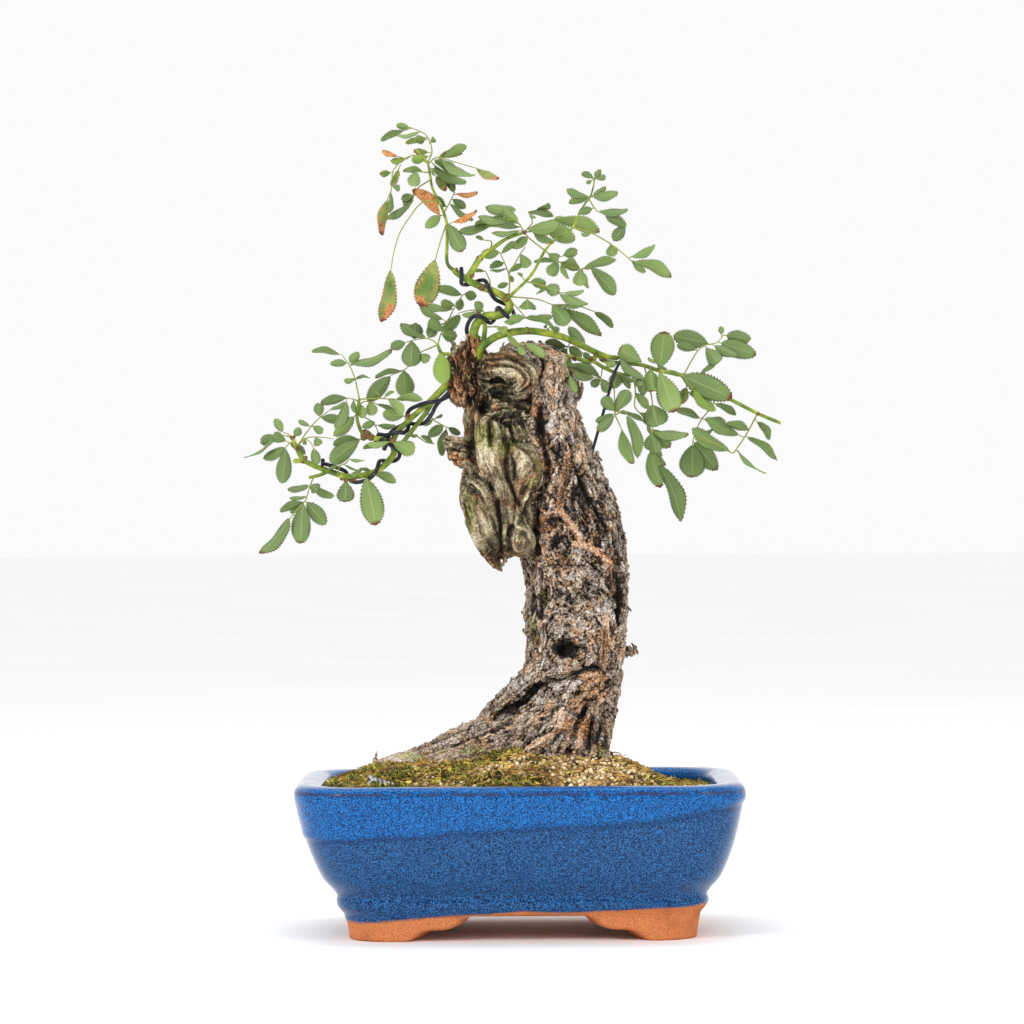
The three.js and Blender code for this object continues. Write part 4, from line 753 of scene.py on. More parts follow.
def soilMaterial():
    material, tree, shader, where = newMaterial("soilAndMoss", Roughness=0.95, **{"Specular IOR Level": 0.2})
    specks = useGroup(tree, speckleGroup, place=where, size=0.008, fleck=0.0012)
    fine = useGroup(tree, speckleGroup, place=where, size=0.003, fleck=0.0005)
    grain = attribute(tree, "grain")
    earth = ramp(tree, grain, [(0.0, colour(0.1, 0.055, 0.02)), (0.35, colour(0.28, 0.17, 0.06)),
                               (0.65, colour(0.46, 0.3, 0.12)), (1.0, colour(0.6, 0.44, 0.22))])
    earth = mixed(tree, spread(tree, fine["fleck"], 0.35, 0.65, (0.0, 0.5)), earth, colour(0.13, 0.075, 0.03))
    green = ramp(tree, specks["fleck"], [(0.3, colour(0.03, 0.035, 0.008)), (0.5, colour(0.12, 0.13, 0.02)),
                                         (0.7, colour(0.33, 0.33, 0.05))])
    green = mixed(tree, spread(tree, specks["blotch"], 0.45, 0.65), green, colour(0.16, 0.1, 0.04), "MIX")
    ground = mixed(tree, attribute(tree, "moss"), earth, green)
    # painted shade: the gaps between grains are drawn near black
    ground = mixed(tree, attribute(tree, "gapShade"), ground, colour(0.035, 0.022, 0.01), "MIX")
    tree.links.new(ground, shader.inputs["Base Color"])
    height = worked(tree, "ADD", specks["fleck"], worked(tree, "MULTIPLY", fine["fleck"], 0.5))
    tree.links.new(bumped(tree, height, 0.7, 0.0006), shader.inputs["Normal"])
    return material


# What grows and lies on the bed: moss, grains, needles and bits of leaf
coverShape = {
    "tufts": 3600, "spikes": 5, "tuftLength": (1.1, 3.2), "tuftWidth": (0.2, 0.34), "grains": 2400, "grainSize": (0.45, 1.3),
    "needles": 1100, "needleLength": (3.0, 10.0), "chips": 800, "chipSize": (0.7, 1.9),
}
# x, y, z and radius of a dry twig and of two hair roots
strayTwigs = [
    [(-91, -42, 73, 0.5), (-88, -42, 77.4, 0.45), (-81, -40, 80.6, 0.45), (-75.5, -38, 79, 0.4), (-72, -38, 75, 0.3)],
    [(43, -12, 83, 0.3), (46, -12, 87.4, 0.25), (49.4, -12.4, 86.4, 0.22), (48.4, -13, 83.6, 0.22), (45.8, -13, 84.4, 0.2)],
    [(-66, -30, 76, 0.4), (-60, -42, 78.6, 0.35), (-52, -47, 77, 0.3), (-44, -50, 74, 0.25)],
]


def bedPlaces(bed, count, chance, draw):
    # places on the bed clear of the rim and of the trunk's foot, more of them where the chance is high
    points = pointsOf(bed)
    x, y = points[:, 0], points[:, 1]
    clear = (np.abs(x) < 93) & (np.abs(y) < 66) & (np.hypot(np.maximum(np.abs(x) - 68, 0), np.maximum(np.abs(y) - 41, 0)) < 24.5)
    clear &= (normalsOf(bed)[:, 2] > 0.3) & (np.hypot((x - 18) / 24, y / 22) > 1) & (points[:, 2] > 64)
    weight = clear * chance * np.hypot(x / 95, y / 68)
    picked = draw.choice(len(points), count, p=weight / weight.sum())
    return points[picked] + draw.uniform(-0.6, 0.6, (count, 3)) * (1, 1, 0)


def makeCover(bed, seed=61):
    draw = np.random.RandomState(seed)
    moss = valuesOf(bed, "moss")
    count, spikes = coverShape["tufts"], coverShape["spikes"]
    tufts = bedPlaces(bed, count, moss ** 1.5 + 0.012, draw)
    at = np.repeat(tufts, spikes, axis=0) + draw.normal(0, 0.35, (count * spikes, 3)) * (1, 1, 0) - (0, 0, 0.2)
    lean = draw.normal(0, 0.65, (count * spikes, 3)) * (1, 1, 0) + (0, 0, 1)
    length = np.repeat(draw.uniform(*coverShape["tuftLength"], count), spikes) * draw.uniform(0.6, 1.1, count * spikes)
    axes = axesAlong(lean, draw, draw.uniform(*coverShape["tuftWidth"], count * spikes), length)
    patch = np.repeat(0.45 + 0.75 * layeredNoise(tufts * (1, 1, 0), 9, 3, 3), spikes)
    hue = np.clip(patch + draw.normal(0, 0.26, count * spikes), 0, 1)
    growing = strewn("bedMoss", at, axes, spike, spikeFaces, {"hue": hue, "tip": np.tile([0.0, 0, 0, 1], (len(at), 1))})
    gold = (1 + math.sqrt(5)) / 2
    corners = np.array([[-1, gold, 0], [1, gold, 0], [-1, -gold, 0], [1, -gold, 0], [0, -1, gold], [0, 1, gold],
                        [0, -1, -gold], [0, 1, -gold], [gold, 0, -1], [gold, 0, 1], [-gold, 0, -1], [-gold, 0, 1]]) / 1.9
    faces = [[0, 11, 5], [0, 5, 1], [0, 1, 7], [0, 7, 10], [0, 10, 11], [1, 5, 9], [5, 11, 4], [11, 10, 2], [10, 7, 6],
             [7, 1, 8], [3, 9, 4], [3, 4, 2], [3, 2, 6], [3, 6, 8], [3, 8, 9], [4, 9, 5], [2, 4, 11], [6, 2, 10], [8, 6, 7],
             [9, 8, 1]]
    count = coverShape["grains"]
    at = bedPlaces(bed, count, (1 - moss) ** 2 + 0.06, draw)
    size = draw.uniform(0, 1, count) ** 2 * (coverShape["grainSize"][1] - coverShape["grainSize"][0]) + coverShape["grainSize"][0]
    shapes = corners * (1 + 0.16 * draw.normal(0, 1, (count, 12, 1)))
    axes = axesAlong(draw.normal(0, 1, (count, 3)), draw, size, size * draw.uniform(0.7, 1.4, count))
    hue = np.clip(0.55 + 0.3 * layeredNoise(at * (1, 1, 0), 14, 2, 8) + draw.normal(0, 0.22, count), 0, 1)
    grains = strewn("bedGrains", at + (0, 0, 0.15), axes, shapes, faces, {"hue": hue}, True)
    count = coverShape["needles"]
    at = bedPlaces(bed, count, np.ones(len(moss)), draw) + (0, 0, 0.5)
    ring = np.array([[1, 0], [-0.5, 0.87], [-0.5, -0.87]])
    stick = np.vstack([np.c_[ring + (bend, 0), np.full(3, rise)] for rise, bend in ((-0.5, 0), (0, 2.4), (0.5, 0))])
    walls = [[a + 3 * row, (a + 1) % 3 + 3 * row, (a + 1) % 3 + 3 * row + 3] for row in (0, 1) for a in range(3)]
    walls += [[a + 3 * row, (a + 1) % 3 + 3 * row + 3, a + 3 * row + 3] for row in (0, 1) for a in range(3)]
    lie = draw.normal(0, 1, (count, 3)) * (1, 1, 0.22)
    axes = axesAlong(lie, draw, draw.uniform(0.14, 0.26, count), draw.uniform(*coverShape["needleLength"], count))
    needles = strewn("bedNeedles", at, axes, stick, walls + [[0, 2, 1], [6, 7, 8]], {"hue": draw.uniform(0.1, 0.9, count)})
    count = coverShape["chips"]
    at = bedPlaces(bed, count, 0.35 + moss, draw) + (0, 0, 0.6)
    turn = np.arange(5) * 2 * math.pi / 5
    leafBit = np.vstack([np.c_[np.cos(turn), np.sin(turn) * 0.6, np.full(5, level)] for level in (-0.12, 0.12)])
    bits = [[0, 2, 1], [0, 3, 2], [0, 4, 3], [5, 6, 7], [5, 7, 8], [5, 8, 9]]
    bits += [[a, (a + 1) % 5, (a + 1) % 5 + 5] for a in range(5)] + [[a, (a + 1) % 5 + 5, a + 5] for a in range(5)]
    size = draw.uniform(*coverShape["chipSize"], count)
    axes = axesAlong(draw.normal(0, 0.5, (count, 3)) + (0, 0, 1), draw, size, size)
    chips = strewn("bedLitter", at, axes, leafBit * (1 + 0.25 * draw.normal(0, 1, (count, 10, 1)) * (1, 1, 0)), bits,
                   {"hue": draw.uniform(0.25, 1, count)})
    strays = Builder()
    for rows in strayTwigs:
        table = np.array(rows, float)
        t = np.linspace(0, 1, 26)
        radii = np.interp(t * (len(table) - 1), np.arange(len(table)), table[:, 3])
        strays.tube(curveAt(table[:, :3], t), radii, 8, values={"hue": 0.2})
    return growing, grains, needles, chips, strays.make("strayRoots")


def coverMaterial(name, shades, rough=0.9):
    material, tree, shader, where = newMaterial(name, Roughness=rough, **{"Specular IOR Level": 0.2})
    fine = useGroup(tree, speckleGroup, place=where, size=0.002, fleck=0.0004)
    hue = worked(tree, "ADD", attribute(tree, "hue"), spread(tree, fine["fleck"], 0.3, 0.7, (-0.15, 0.15)), True)
    shade = ramp(tree, hue, shades)
    if name == "mossLeaves":
        # painted shade: each moss spike darkens towards its foot, down among the tufts
        shade = mixed(tree, spread(tree, attribute(tree, "tip"), 0.5, 0.0, (0.0, 0.75)), shade, colour(0.02, 0.018, 0.005))
    tree.links.new(shade, shader.inputs["Base Color"])
    tree.links.new(bumped(tree, fine["fleck"], 0.4, 0.0002), shader.inputs["Normal"])
    return material


soilBed = makeSoil()
place(soilBed, soilMaterial(), "soil", "soil")
mossShades = [(0.05, colour(0.014, 0.012, 0.004)), (0.3, colour(0.05, 0.048, 0.01)), (0.5, colour(0.16, 0.165, 0.02)),
              (0.68, colour(0.5, 0.5, 0.07)), (0.82, colour(0.72, 0.66, 0.2)), (0.95, colour(0.36, 0.22, 0.085))]
grainShades = [(0.05, colour(0.04, 0.022, 0.01)), (0.3, colour(0.22, 0.125, 0.04)), (0.6, colour(0.52, 0.35, 0.15)),
               (0.9, colour(0.85, 0.7, 0.46))]
litterShades = [(0.05, colour(0.05, 0.026, 0.012)), (0.35, colour(0.24, 0.13, 0.045)), (0.6, colour(0.62, 0.36, 0.06)),
                (0.8, colour(0.75, 0.55, 0.12)), (0.98, colour(0.42, 0.5, 0.08))]
mossTufts, bedGrains, bedNeedles, bedLitter, strayRoots = makeCover(soilBed)
place(mossTufts, coverMaterial("mossLeaves", mossShades), "soil", "soil")
place(bedGrains, coverMaterial("soilGrain", grainShades), "soil", "soil")
litterFinish = coverMaterial("dryLitter", litterShades)
for litter in (bedNeedles, bedLitter, strayRoots):
    place(litter, litterFinish, "soil", "soil")
print("soil made")


# ---- Trunk: rows are height z, left and right edge x, front and back edge y
trunkRows = [
    (48, -4, 40, -20, 20), (66, -9, 43, -24, 24), (80, -14, 43.5, -27, 25), (91, -15, 43.8, -25, 24),
    (102, -9, 46, -23, 23), (112, -2, 48.7, -21, 22), (122, 2, 50.5, -20, 21), (132, 5, 52, -19.5, 21),
    (141, 5, 53, -19, 21), (152, 5, 53.5, -19, 21), (165, 6, 54, -19, 21), (178, 3, 54, -19, 21),
    (190, 2, 52.4, -19, 20), (205, 0, 47.5, -18, 19), (220, -2, 42, -18, 18), (235, -4, 35.5, -18, 17),
    (248, -8, 29.6, -18, 17), (258, -10, 27, -17, 17), (268, -14, 28.2, -17, 17), (276, -12, 25.5, -15, 15),
    (281, -7, 19.5, -11, 12), (284, 1, 13, -5, 6),
]
deadwoodRows = [
    (180, -14.6, -8, -18, -8), (183, -18, 3, -19.5, -5), (189.5, -20, 6, -21, 2), (199, -23.5, 7.5, -21.5, 4),
    (209, -26, 9, -22, 6), (218, -28, 11.5, -22, 7), (226, -25.6, 12.4, -22.5, 8), (236, -25, 11.5, -22.5, 8),
    (245, -26, 9.6, -22, 9), (252, -25.6, 8.6, -20.5, 10), (258, -23.5, 8, -18.5, 12), (265, -21, 6, -16, 12),
    (273, -18, 4, -13, 12), (281, -14, 2, -9, 10),
]
# rounded limbs of the wood: rows of x, z, y and radius, and how flat they are
liveStems = {
    "left": ([(12, 88, -2, 20), (-8, 87, -3, 18.5), (-22, 84, -4, 15.5), (-36, 80.5, -5, 12.5), (-50, 77.3, -6, 10),
              (-60, 76, -7, 8.4), (-68, 74, -8, 6.4), (-75, 69, -9, 3)], 0.92),
    "front": ([(16, 104, -12, 11), (10, 88, -21, 9), (0, 76, -29, 6), (-8, 66, -35, 3)], 1.0),
    "middle": ([(26, 112, -12, 9), (22, 96, -20, 6.5), (16, 82, -27, 5), (10, 68, -34, 3)], 1.0),
    "right": ([(34, 106, -9, 10), (36, 90, -17, 8.5), (39, 76, -24, 6), (44, 64, -29, 3)], 1.0),
    "back": ([(20, 104, 10, 12), (26, 86, 20, 9), (34, 74, 29, 6), (42, 64, 36, 3)], 1.0),
    "fold": ([(14, 126, -13, 7), (6, 120, -12, 7), (-3, 112, -9, 6), (-14, 103, -7, 5)], 0.8),
    "stub": ([(46, 135.5, 2, 3), (52, 135.6, 2, 3), (55.6, 135.2, 2, 2.6)], 1.0),
    "spike": ([(-70, 78, -8, 1.6), (-70, 82, -8, 1), (-69.2, 86, -8, 0.5)], 1.0),
}
deadStems = {
    "beak": ([(-20, 233, -9, 9), (-27, 233, -9, 8.2), (-31, 235.4, -8, 5.8), (-34, 238.2, -8, 3.2), (-36, 240.6, -8, 1)], 0.75),
    "lobe": ([(-25, 217, -13, 3.4), (-23, 209, -16, 5.6), (-20, 199, -17, 6), (-17, 189, -16, 5), (-14, 182, -15, 3.4),
              (-10.5, 177.5, -14, 2.6), (-8, 174.4, -13.5, 0.8)], 0.8),
    "tail": ([(-1, 214, -19, 7), (0.5, 204, -20, 5), (1.5, 196, -20, 4.6)], 0.8),
    "ridge": ([(-15, 246, -17, 5), (-14, 232, -19, 5), (-9, 218, -20, 4.5), (-6, 205, -19, 4), (-5.6, 195, -18, 3)], 0.8),
    "tip": ([(-12, 184, -13, 2.6), (-13, 179.6, -13, 1.2), (-13.4, 177.6, -13, 0.6)], 1.0),
    "tipTwo": ([(-6.6, 186, -14, 2.2), (-6.4, 180.4, -13, 1), (-7, 177, -13, 0.6)], 1.0),
    "horn": ([(-28, 276, -2, 4), (-30.5, 282, -3, 2.4), (-32.4, 286.4, -3, 1.2)], 1.0),
    "peg": ([(-25, 276, -2, 4.5), (-26, 283, -3, 2.2), (-27.4, 286, -3, 1)], 1.0),
    "collar": ([(-20, 270, -4, 9), (-21, 279, -4, 6.5), (-22, 286, -4, 4.4), (-22.4, 289, -4, 3.2)], 1.0),
    "whorl": ([(-15, 273.5, -15, 5.4), (-9, 275.5, -18, 6.4), (-2, 274, -19, 7.4), (2.6, 269, -19, 7.6),
               (1, 264.5, -18, 4.6)], 0.9),
}
# lumps and hollows as x, z, y and three radii
liveLumps = [(27, 262, 1, 4.6, 6, 5), (4, 281.5, 0, 13, 11, 4.6), (12, 254, -15, 5, 5, 6), (17, 268, -13, 6, 5, 9)]
deadLumps = [
    (-26.5, 270, -3, 9, 12, 15.5), (-27.5, 262, -4, 7, 9, 7), (-2, 271, -10, 12, 8, 11), (1.8, 225, -18, 9, 7.5, 12.5),
    (1.6, 188.4, -18.5, 7, 6.5, 7.4), (-10.8, 254.4, -19.5, 2, 2, 1.7), (-4, 249.5, -16.5, 9, 6, 5),
]
liveHollows = [(22.5, 136, -21, 6.6, 6.5, 5.2), (31.5, 136.6, -20, 5, 2.2, 1.6), (4, 256, -18, 4, 4, 6)]
deadHollows = [(-17, 254.5, -24, 3.4, 10, 4.6), (-10, 260.6, -22, 4, 5, 2), (-23.4, 258, -18, 3, 7, 3)]
# lines that the grain follows, seen from the front
grainLines = [
    [(-15, 281), (-5, 280.4), (3, 277), (8, 271), (8.5, 265), (4, 261.5), (0, 261.5)],
    [(-15, 277), (-4, 277), (3, 273.4), (5.6, 268), (3, 264), (-1, 263)],
    [(-14, 272.6), (-5, 273), (0, 271), (2.6, 268), (1, 265.6)], [(-18.5, 278), (-19.4, 272), (-15, 268.6), (-8, 269)],
    [(-8, 264.6), (-3, 263.4), (-1, 266)], [(6, 236), (10, 231), (11.5, 225), (10.5, 219), (7, 214), (4, 209)],
    [(0, 238), (5, 236.6), (6, 236)], [(-5, 236), (-5.6, 228), (-4.6, 220), (-2.6, 213), (-1.4, 206), (-2, 196)],
    [(1, 234), (5, 232), (7, 226), (5, 219), (1, 214)], [(0, 232), (-2, 226), (-1, 219), (0, 213), (1, 205)],
    [(-20, 257), (-21, 245), (-20, 235), (-17, 225), (-12, 215), (-9, 205), (-8, 195), (-9, 185)],
    [(-12, 246), (-12, 235), (-10, 225), (-6.5, 215), (-5.4, 205), (-5, 195)], [(-18, 240), (-17, 230), (-13, 220)],
    [(-26, 214), (-24, 205), (-21, 193), (-16, 184), (-13, 178)],
    [(-28, 217), (-22, 216), (-17, 210), (-14, 200), (-12, 190), (-8, 177)],
    [(-1, 195.6), (4.6, 194), (7, 188), (4, 182.6), (-1, 182), (-4.6, 187), (-3, 193)],
    [(-36, 240.4), (-30, 240.6), (-24, 240.6)], [(-35, 237), (-30, 236), (-24, 236)], [(-33, 233), (-29, 230.4), (-24, 229)],
    [(-33, 281), (-30, 270), (-27, 261)], [(-27, 285), (-26, 275), (-24, 266), (-22, 259)],
    [(-22, 290), (-21, 280), (-20, 271)], [(-15, 251), (-8, 253), (0, 254), (6, 251)],
    [(10, 284), (12, 275), (10, 268), (11, 258), (12, 250), (12, 240), (15, 232), (17, 222), (14, 212), (11, 204)],
    [(17, 284), (21, 278), (24, 270), (22, 263), (20, 257), (22, 250), (23, 243), (25, 235), (26, 228)],
    [(14, 282), (18, 273), (15.6, 266), (18, 258), (17, 248), (19, 240), (19, 232)],
    [(25, 258), (28, 250), (32, 240), (37, 230), (42, 220), (47, 208), (51, 196), (53, 185), (52.5, 170), (53, 155), (51, 140),
     (50, 125)],
    [(27, 240), (31, 230), (36, 218), (41, 208), (46, 197), (48.5, 187), (49, 172), (49.5, 160)],
    [(24, 228), (22.5, 220), (20.5, 210), (21, 203), (26, 197), (30, 191), (35, 186), (41, 182), (45, 177), (47, 170), (49, 163)],
    [(2, 179), (5, 168), (6, 158), (6, 148), (6, 138), (5, 131), (0, 122), (-6, 112), (-16, 104)],
    [(9, 178), (12, 170), (13, 160), (11, 150), (12, 142)], [(14, 204), (12, 195), (14, 185), (20, 178), (28, 173)],
    [(20, 196), (19, 188), (24, 179), (34, 172), (42, 166)], [(19, 160), (26, 163), (34, 160), (40, 154)],
    [(14, 147), (19, 152), (24, 150)], [(14, 136), (18, 142), (26, 144), (33, 141), (36, 136), (33, 131), (26, 128), (18, 130),
                                         (14, 136)],
    [(17, 129), (18, 124), (15, 121), (10, 118), (4, 113), (-2, 109), (-12, 103)], [(40, 146), (43, 136), (42, 127)],
    [(15, 120), (22, 122), (30, 123.6), (38, 126)], [(20, 117), (28, 119), (36, 122)], [(44, 126), (40, 119), (34, 114)],
    [(40, 112), (33, 107), (28, 99), (25, 91), (22, 84)], [(38, 108), (36, 98), (34, 87)], [(46, 120), (43, 108), (42, 86)],
    [(24, 112), (21, 104), (19, 97), (12, 91), (5, 85)], [(14, 114), (4, 106), (-6, 101), (-18, 96), (-30, 91), (-44, 87)],
    [(16, 104), (6, 97), (-6, 92), (-18, 88), (-30, 84)], [(12, 97), (2, 91), (-6, 86)],
    [(-10, 107), (-22, 100), (-35, 94), (-50, 89), (-64, 86)], [(-34, 90), (-50, 85), (-66, 81)],
]
# carved lines: depth, half width and the points; a depth above nought is a ridge
deadCuts = [
    (-4, 1.9, [(-11, 208), (-10, 201), (-9.4, 194), (-8.4, 186), (-8.6, 181)]), (-1.4, 1, [(-14, 217), (-12, 212), (-11, 207)]),
    (-2, 1.1, [(-5, 236), (-6.4, 228), (-5.2, 220), (-2.6, 213), (0.6, 207)]), (-1.6, 1, [(3, 203), (6, 209), (9, 213)]),
    (1.3, 1.2, [(4, 210), (9.4, 217), (10.8, 225), (9.2, 231), (5, 236.4)]), (1.2, 1.6, [(-9, 242), (-9.6, 232), (-8, 223)]),
    (-1.1, 0.8, [(2, 212), (7, 219), (8, 226), (6, 232), (1, 235)]), (1.2, 2.6, [(-18, 246), (-18, 236), (-15, 227)]),
    (-2.2, 0.9, [(-14.6, 247), (-14, 241), (-13.6, 236)]), (-1.5, 1, [(-22, 247), (-22.6, 240), (-22, 231), (-19.6, 223)]),
    (-1.8, 1, [(-22, 222), (-17, 218.6), (-13, 214)]), (-1.6, 0.8, [(-16.4, 192), (-13.6, 186), (-12.4, 181)]),
    (-2.2, 1.2, [(-3.4, 196), (-5.4, 190), (-4.4, 184)]), (-0.6, 0.5, [(-1, 192), (3, 192.6), (5.4, 189)]),
    (-2, 1, [(-12, 250), (-4, 245), (-2, 238)]), (-1.4, 0.8, [(-8, 245), (-7, 238), (-6, 233)]),
    (-2, 1, [(6, 247), (7.6, 240), (5, 238)]), (-2.6, 1.2, [(-19, 277), (-19.6, 271), (-14, 267.6), (-8, 267.8), (-4.4, 265)]),
    (-1.4, 0.7, [(-14, 279.4), (-4, 279), (3, 275), (7, 269), (6.6, 264)]), (-1.3, 0.7, [(-13, 275), (-4, 275), (1, 272.6),
                                                                                      (4, 268), (2, 265)]),
    (-1.6, 0.8, [(-36, 238.6), (-30, 238.8), (-25, 238.6)]), (-1.4, 0.7, [(-34, 234.6), (-29, 233), (-25, 232.6)]),
    (-3, 1.6, [(-23, 246), (-23.6, 237), (-22.8, 227)]), (-2.4, 1.2, [(-30, 276), (-27, 268), (-24, 262)]),
    (-2.4, 1.4, [(-24, 282), (-22.6, 274), (-21, 266)]), (-1.4, 0.6, [(-4, 232), (-2, 226), (-2.6, 219)]),
]
liveCuts = [
    (-1.6, 1.9, [(24.4, 229), (23, 220), (21, 211), (20.2, 206)]), (0.9, 1.7, [(21, 203), (26, 197), (29, 192), (30, 188)]),
    (1, 1.6, [(29, 187.4), (35, 186), (41, 182), (45, 177)]), (-1, 1.4, [(45.4, 176), (47, 170), (49, 163)]),
    (-1.3, 2.2, [(42.6, 146), (42.8, 136), (42, 128)]), (-3.6, 1.3, [(2, 110), (8, 116.4), (15, 120.6), (21, 122.6), (29, 124.6)]),
    (-2, 1, [(29, 124.6), (36, 126.4), (41, 127)]), (-2, 1, [(-12, 102), (-6, 106.6), (0, 109)]),
    (-2.6, 1.1, [(34, 108), (30, 101), (27.6, 94), (25, 86)]), (-1.8, 0.9, [(38, 104), (35.4, 96), (34.4, 87)]),
    (-1.8, 0.9, [(12, 96), (6, 91.6), (1, 86)]), (-1.6, 0.9, [(21, 95.6), (14, 95), (6, 99)]), (1.6, 1.6, [(21, 104), (20, 97),
                                                                                              (13, 91.6), (6, 87)]),
    (-1.8, 0.8, [(25, 240), (27.4, 230), (30.6, 220), (35, 210), (40, 201), (46, 191), (49.4, 180), (50, 166), (49.6, 148)]),
    (-1.2, 0.7, [(22, 284), (24.6, 273), (21.6, 262), (20.4, 256), (22.6, 247), (24, 238)]), (1.4, 1.2, [(17, 284), (22, 277),
                                                                                        (23, 269), (20, 262)]),
    (-2, 0.9, [(10.6, 282), (13, 275), (10.8, 268), (12, 262)]), (-1.2, 0.7, [(14, 271), (18, 266.6), (17, 261)]),
    (-3.4, 1.6, [(10.6, 256), (10.4, 246), (12.4, 238), (14.6, 229), (14.4, 219), (10, 211), (8.6, 202), (8.8, 192), (8, 183)]),
    (-1.4, 0.9, [(26, 236), (29, 226), (32, 216)]), (-1.2, 0.8, [(33, 236), (37, 224), (42, 212), (46, 203)]),
    (-1.6, 0.9, [(14, 199), (19, 200), (24, 197)]), (-1.2, 0.8, [(16, 178), (24, 176), (32, 177), (40, 176)]),
    (-1.2, 0.8, [(13, 166), (13.6, 158), (10.4, 151)]), (-1.4, 0.9, [(-8, 98), (-20, 93), (-32, 89)]),
    (-1.4, 0.8, [(-24, 97), (-38, 91.6), (-52, 87)]), (-1.6, 1, [(44, 117), (38, 112), (33, 111)]),
]
# coloured places: x, z, half width and half height
deadTints = {
    "dark": [(-22, 262, 7, 5), (-2, 249, 9, 5), (-10, 200, 2, 7), (-27, 272, 8, 14), (7, 212, 3, 5), (-17, 256, 5, 6),
             (3, 200, 3, 4), (-3, 238, 5, 3), (-9.6, 262, 6, 4), (0, 257, 6, 3)],
    "rust": [(-11, 254.4, 1.8, 2), (-26, 275, 6, 9), (-22, 284, 4, 7), (-28, 264, 9, 8), (-31, 229, 4, 4), (-23.4, 229, 1.6, 2)],
    "moss": [(-16, 241, 7, 7), (10.6, 225, 1.4, 9), (-24, 204, 3, 12), (-8, 234, 3, 5), (-2, 237, 4, 3), (7, 217, 3, 3)],
    "crust": [(-26, 272, 12, 17), (-4, 250, 11, 5), (-8, 261, 9, 4), (-31, 232, 6, 6)],
    "pale": [(2, 228, 4, 6), (-15, 231, 6, 8), (2, 267.6, 3, 3), (-5, 273, 9, 4), (-18, 195, 5, 9), (5, 221, 4, 5), (-30, 240, 5, 2)],
}
liveTints = {
    "crust": [(20, 170, 45, 120)],
    "dark": [(13, 197, 6, 4), (20, 233, 5, 4), (32, 213, 7, 14), (40, 200, 9, 12), (44, 187, 8, 10), (21, 187, 7, 6), (23, 136, 6, 5), (48, 165, 4, 10),
             (27, 203, 4, 5), (10, 246, 3, 8), (-2, 108, 7, 4), (33, 100, 4, 8), (9, 190, 3, 12), (9, 158, 4, 8), (41, 95, 4, 9)],
    "rust": [(36, 122, 7, 3.4), (38, 114, 6, 5), (30, 108, 5, 4), (13, 198, 7, 5), (24, 98, 5, 5), (33, 98, 4, 6),
             (36, 140, 2, 8), (17, 283, 3, 3), (8, 256, 3, 3),
             (-16, 102, 2, 1), (16, 154, 1.6, 1.4)],
    "rustLines": [
        (2.2, [(24.6, 231), (22.8, 220), (20.8, 210), (20, 205)]), (1.9, [(20.6, 204), (25.6, 197.4), (29.4, 191)]),
        (2, [(29, 187.6), (35, 186), (41, 182), (45, 177.4)]), (1.1, [(45.4, 176), (47.4, 170), (49, 163)]),
        (2, [(43.4, 151), (42.8, 140), (42.2, 128)]), (1.4, [(21.4, 105), (20.6, 98), (14.4, 92.4), (5, 87.4)]),
        (1.3, [(28, 100), (25.4, 93), (22.6, 86)]), (1.2, [(33, 103), (31, 96), (29.6, 88)]), (1.6, [(4, 258), (6.6, 253), (9.6, 250)]),
        (1, [(22, 247), (24, 240), (25.6, 232)]), (0.9, [(32, 235), (35, 228)]), (1, [(40, 112), (44, 116)]),
        (0.8, [(9, 206), (13, 203), (19, 203)]), (0.8, [(16, 95), (8, 90)]), (0.8, [(11, 188), (13, 181), (17, 178)]),
    ],
    "moss": [(7.6, 146, 1.8, 8), (13, 160, 1.4, 5), (-52, 83, 7, 2), (-24, 86, 8, 2), (41, 86, 3, 4), (-38, 86, 3, 2)],
    "pale": [(19, 270, 7, 13), (36, 228, 4, 16), (45, 205, 2.4, 9), (24, 250, 5, 9), (35, 152, 12, 8), (28, 146, 9, 4), (17, 250, 5, 9), (31, 232, 3, 12), (36, 222, 3, 9), (12, 124, 6, 5),
             (16, 111, 9, 5), (46, 152, 4, 8), (4, 98, 9, 5), (-58, 83, 10, 4), (26, 119, 5, 3), (33, 140, 4, 4)],
}
woodShape = {
    "liveVoxel": 0.88, "deadVoxel": 0.55, "plate": 3.6, "chip": 1.8, "plateDepth": 1.1, "crackDepth": 0.8,
    "fibreDepth": 0.42, "flowGrid": 1.3, "fibreGrid": 0.45, "fibreReach": 8, "low": (-82.0, 44.0), "high": (62.0, 296.0),
}


def capped(rings):
    # closes a stack of equal rings with a point at each end
    sides = rings.shape[1]
    points = np.vstack([rings.reshape(-1, 3), rings[0].mean(0)[None], rings[-1].mean(0)[None]])
    step = np.arange(sides)
    after = (step + 1) % sides
    last = (len(rings) - 1) * sides
    low = np.stack([np.full(sides, len(points) - 2), after, step], 1)
    high = np.stack([np.full(sides, len(points) - 1), last + step, last + after], 1)
    return points, ringGrid(len(rings), sides), np.vstack([low, high])


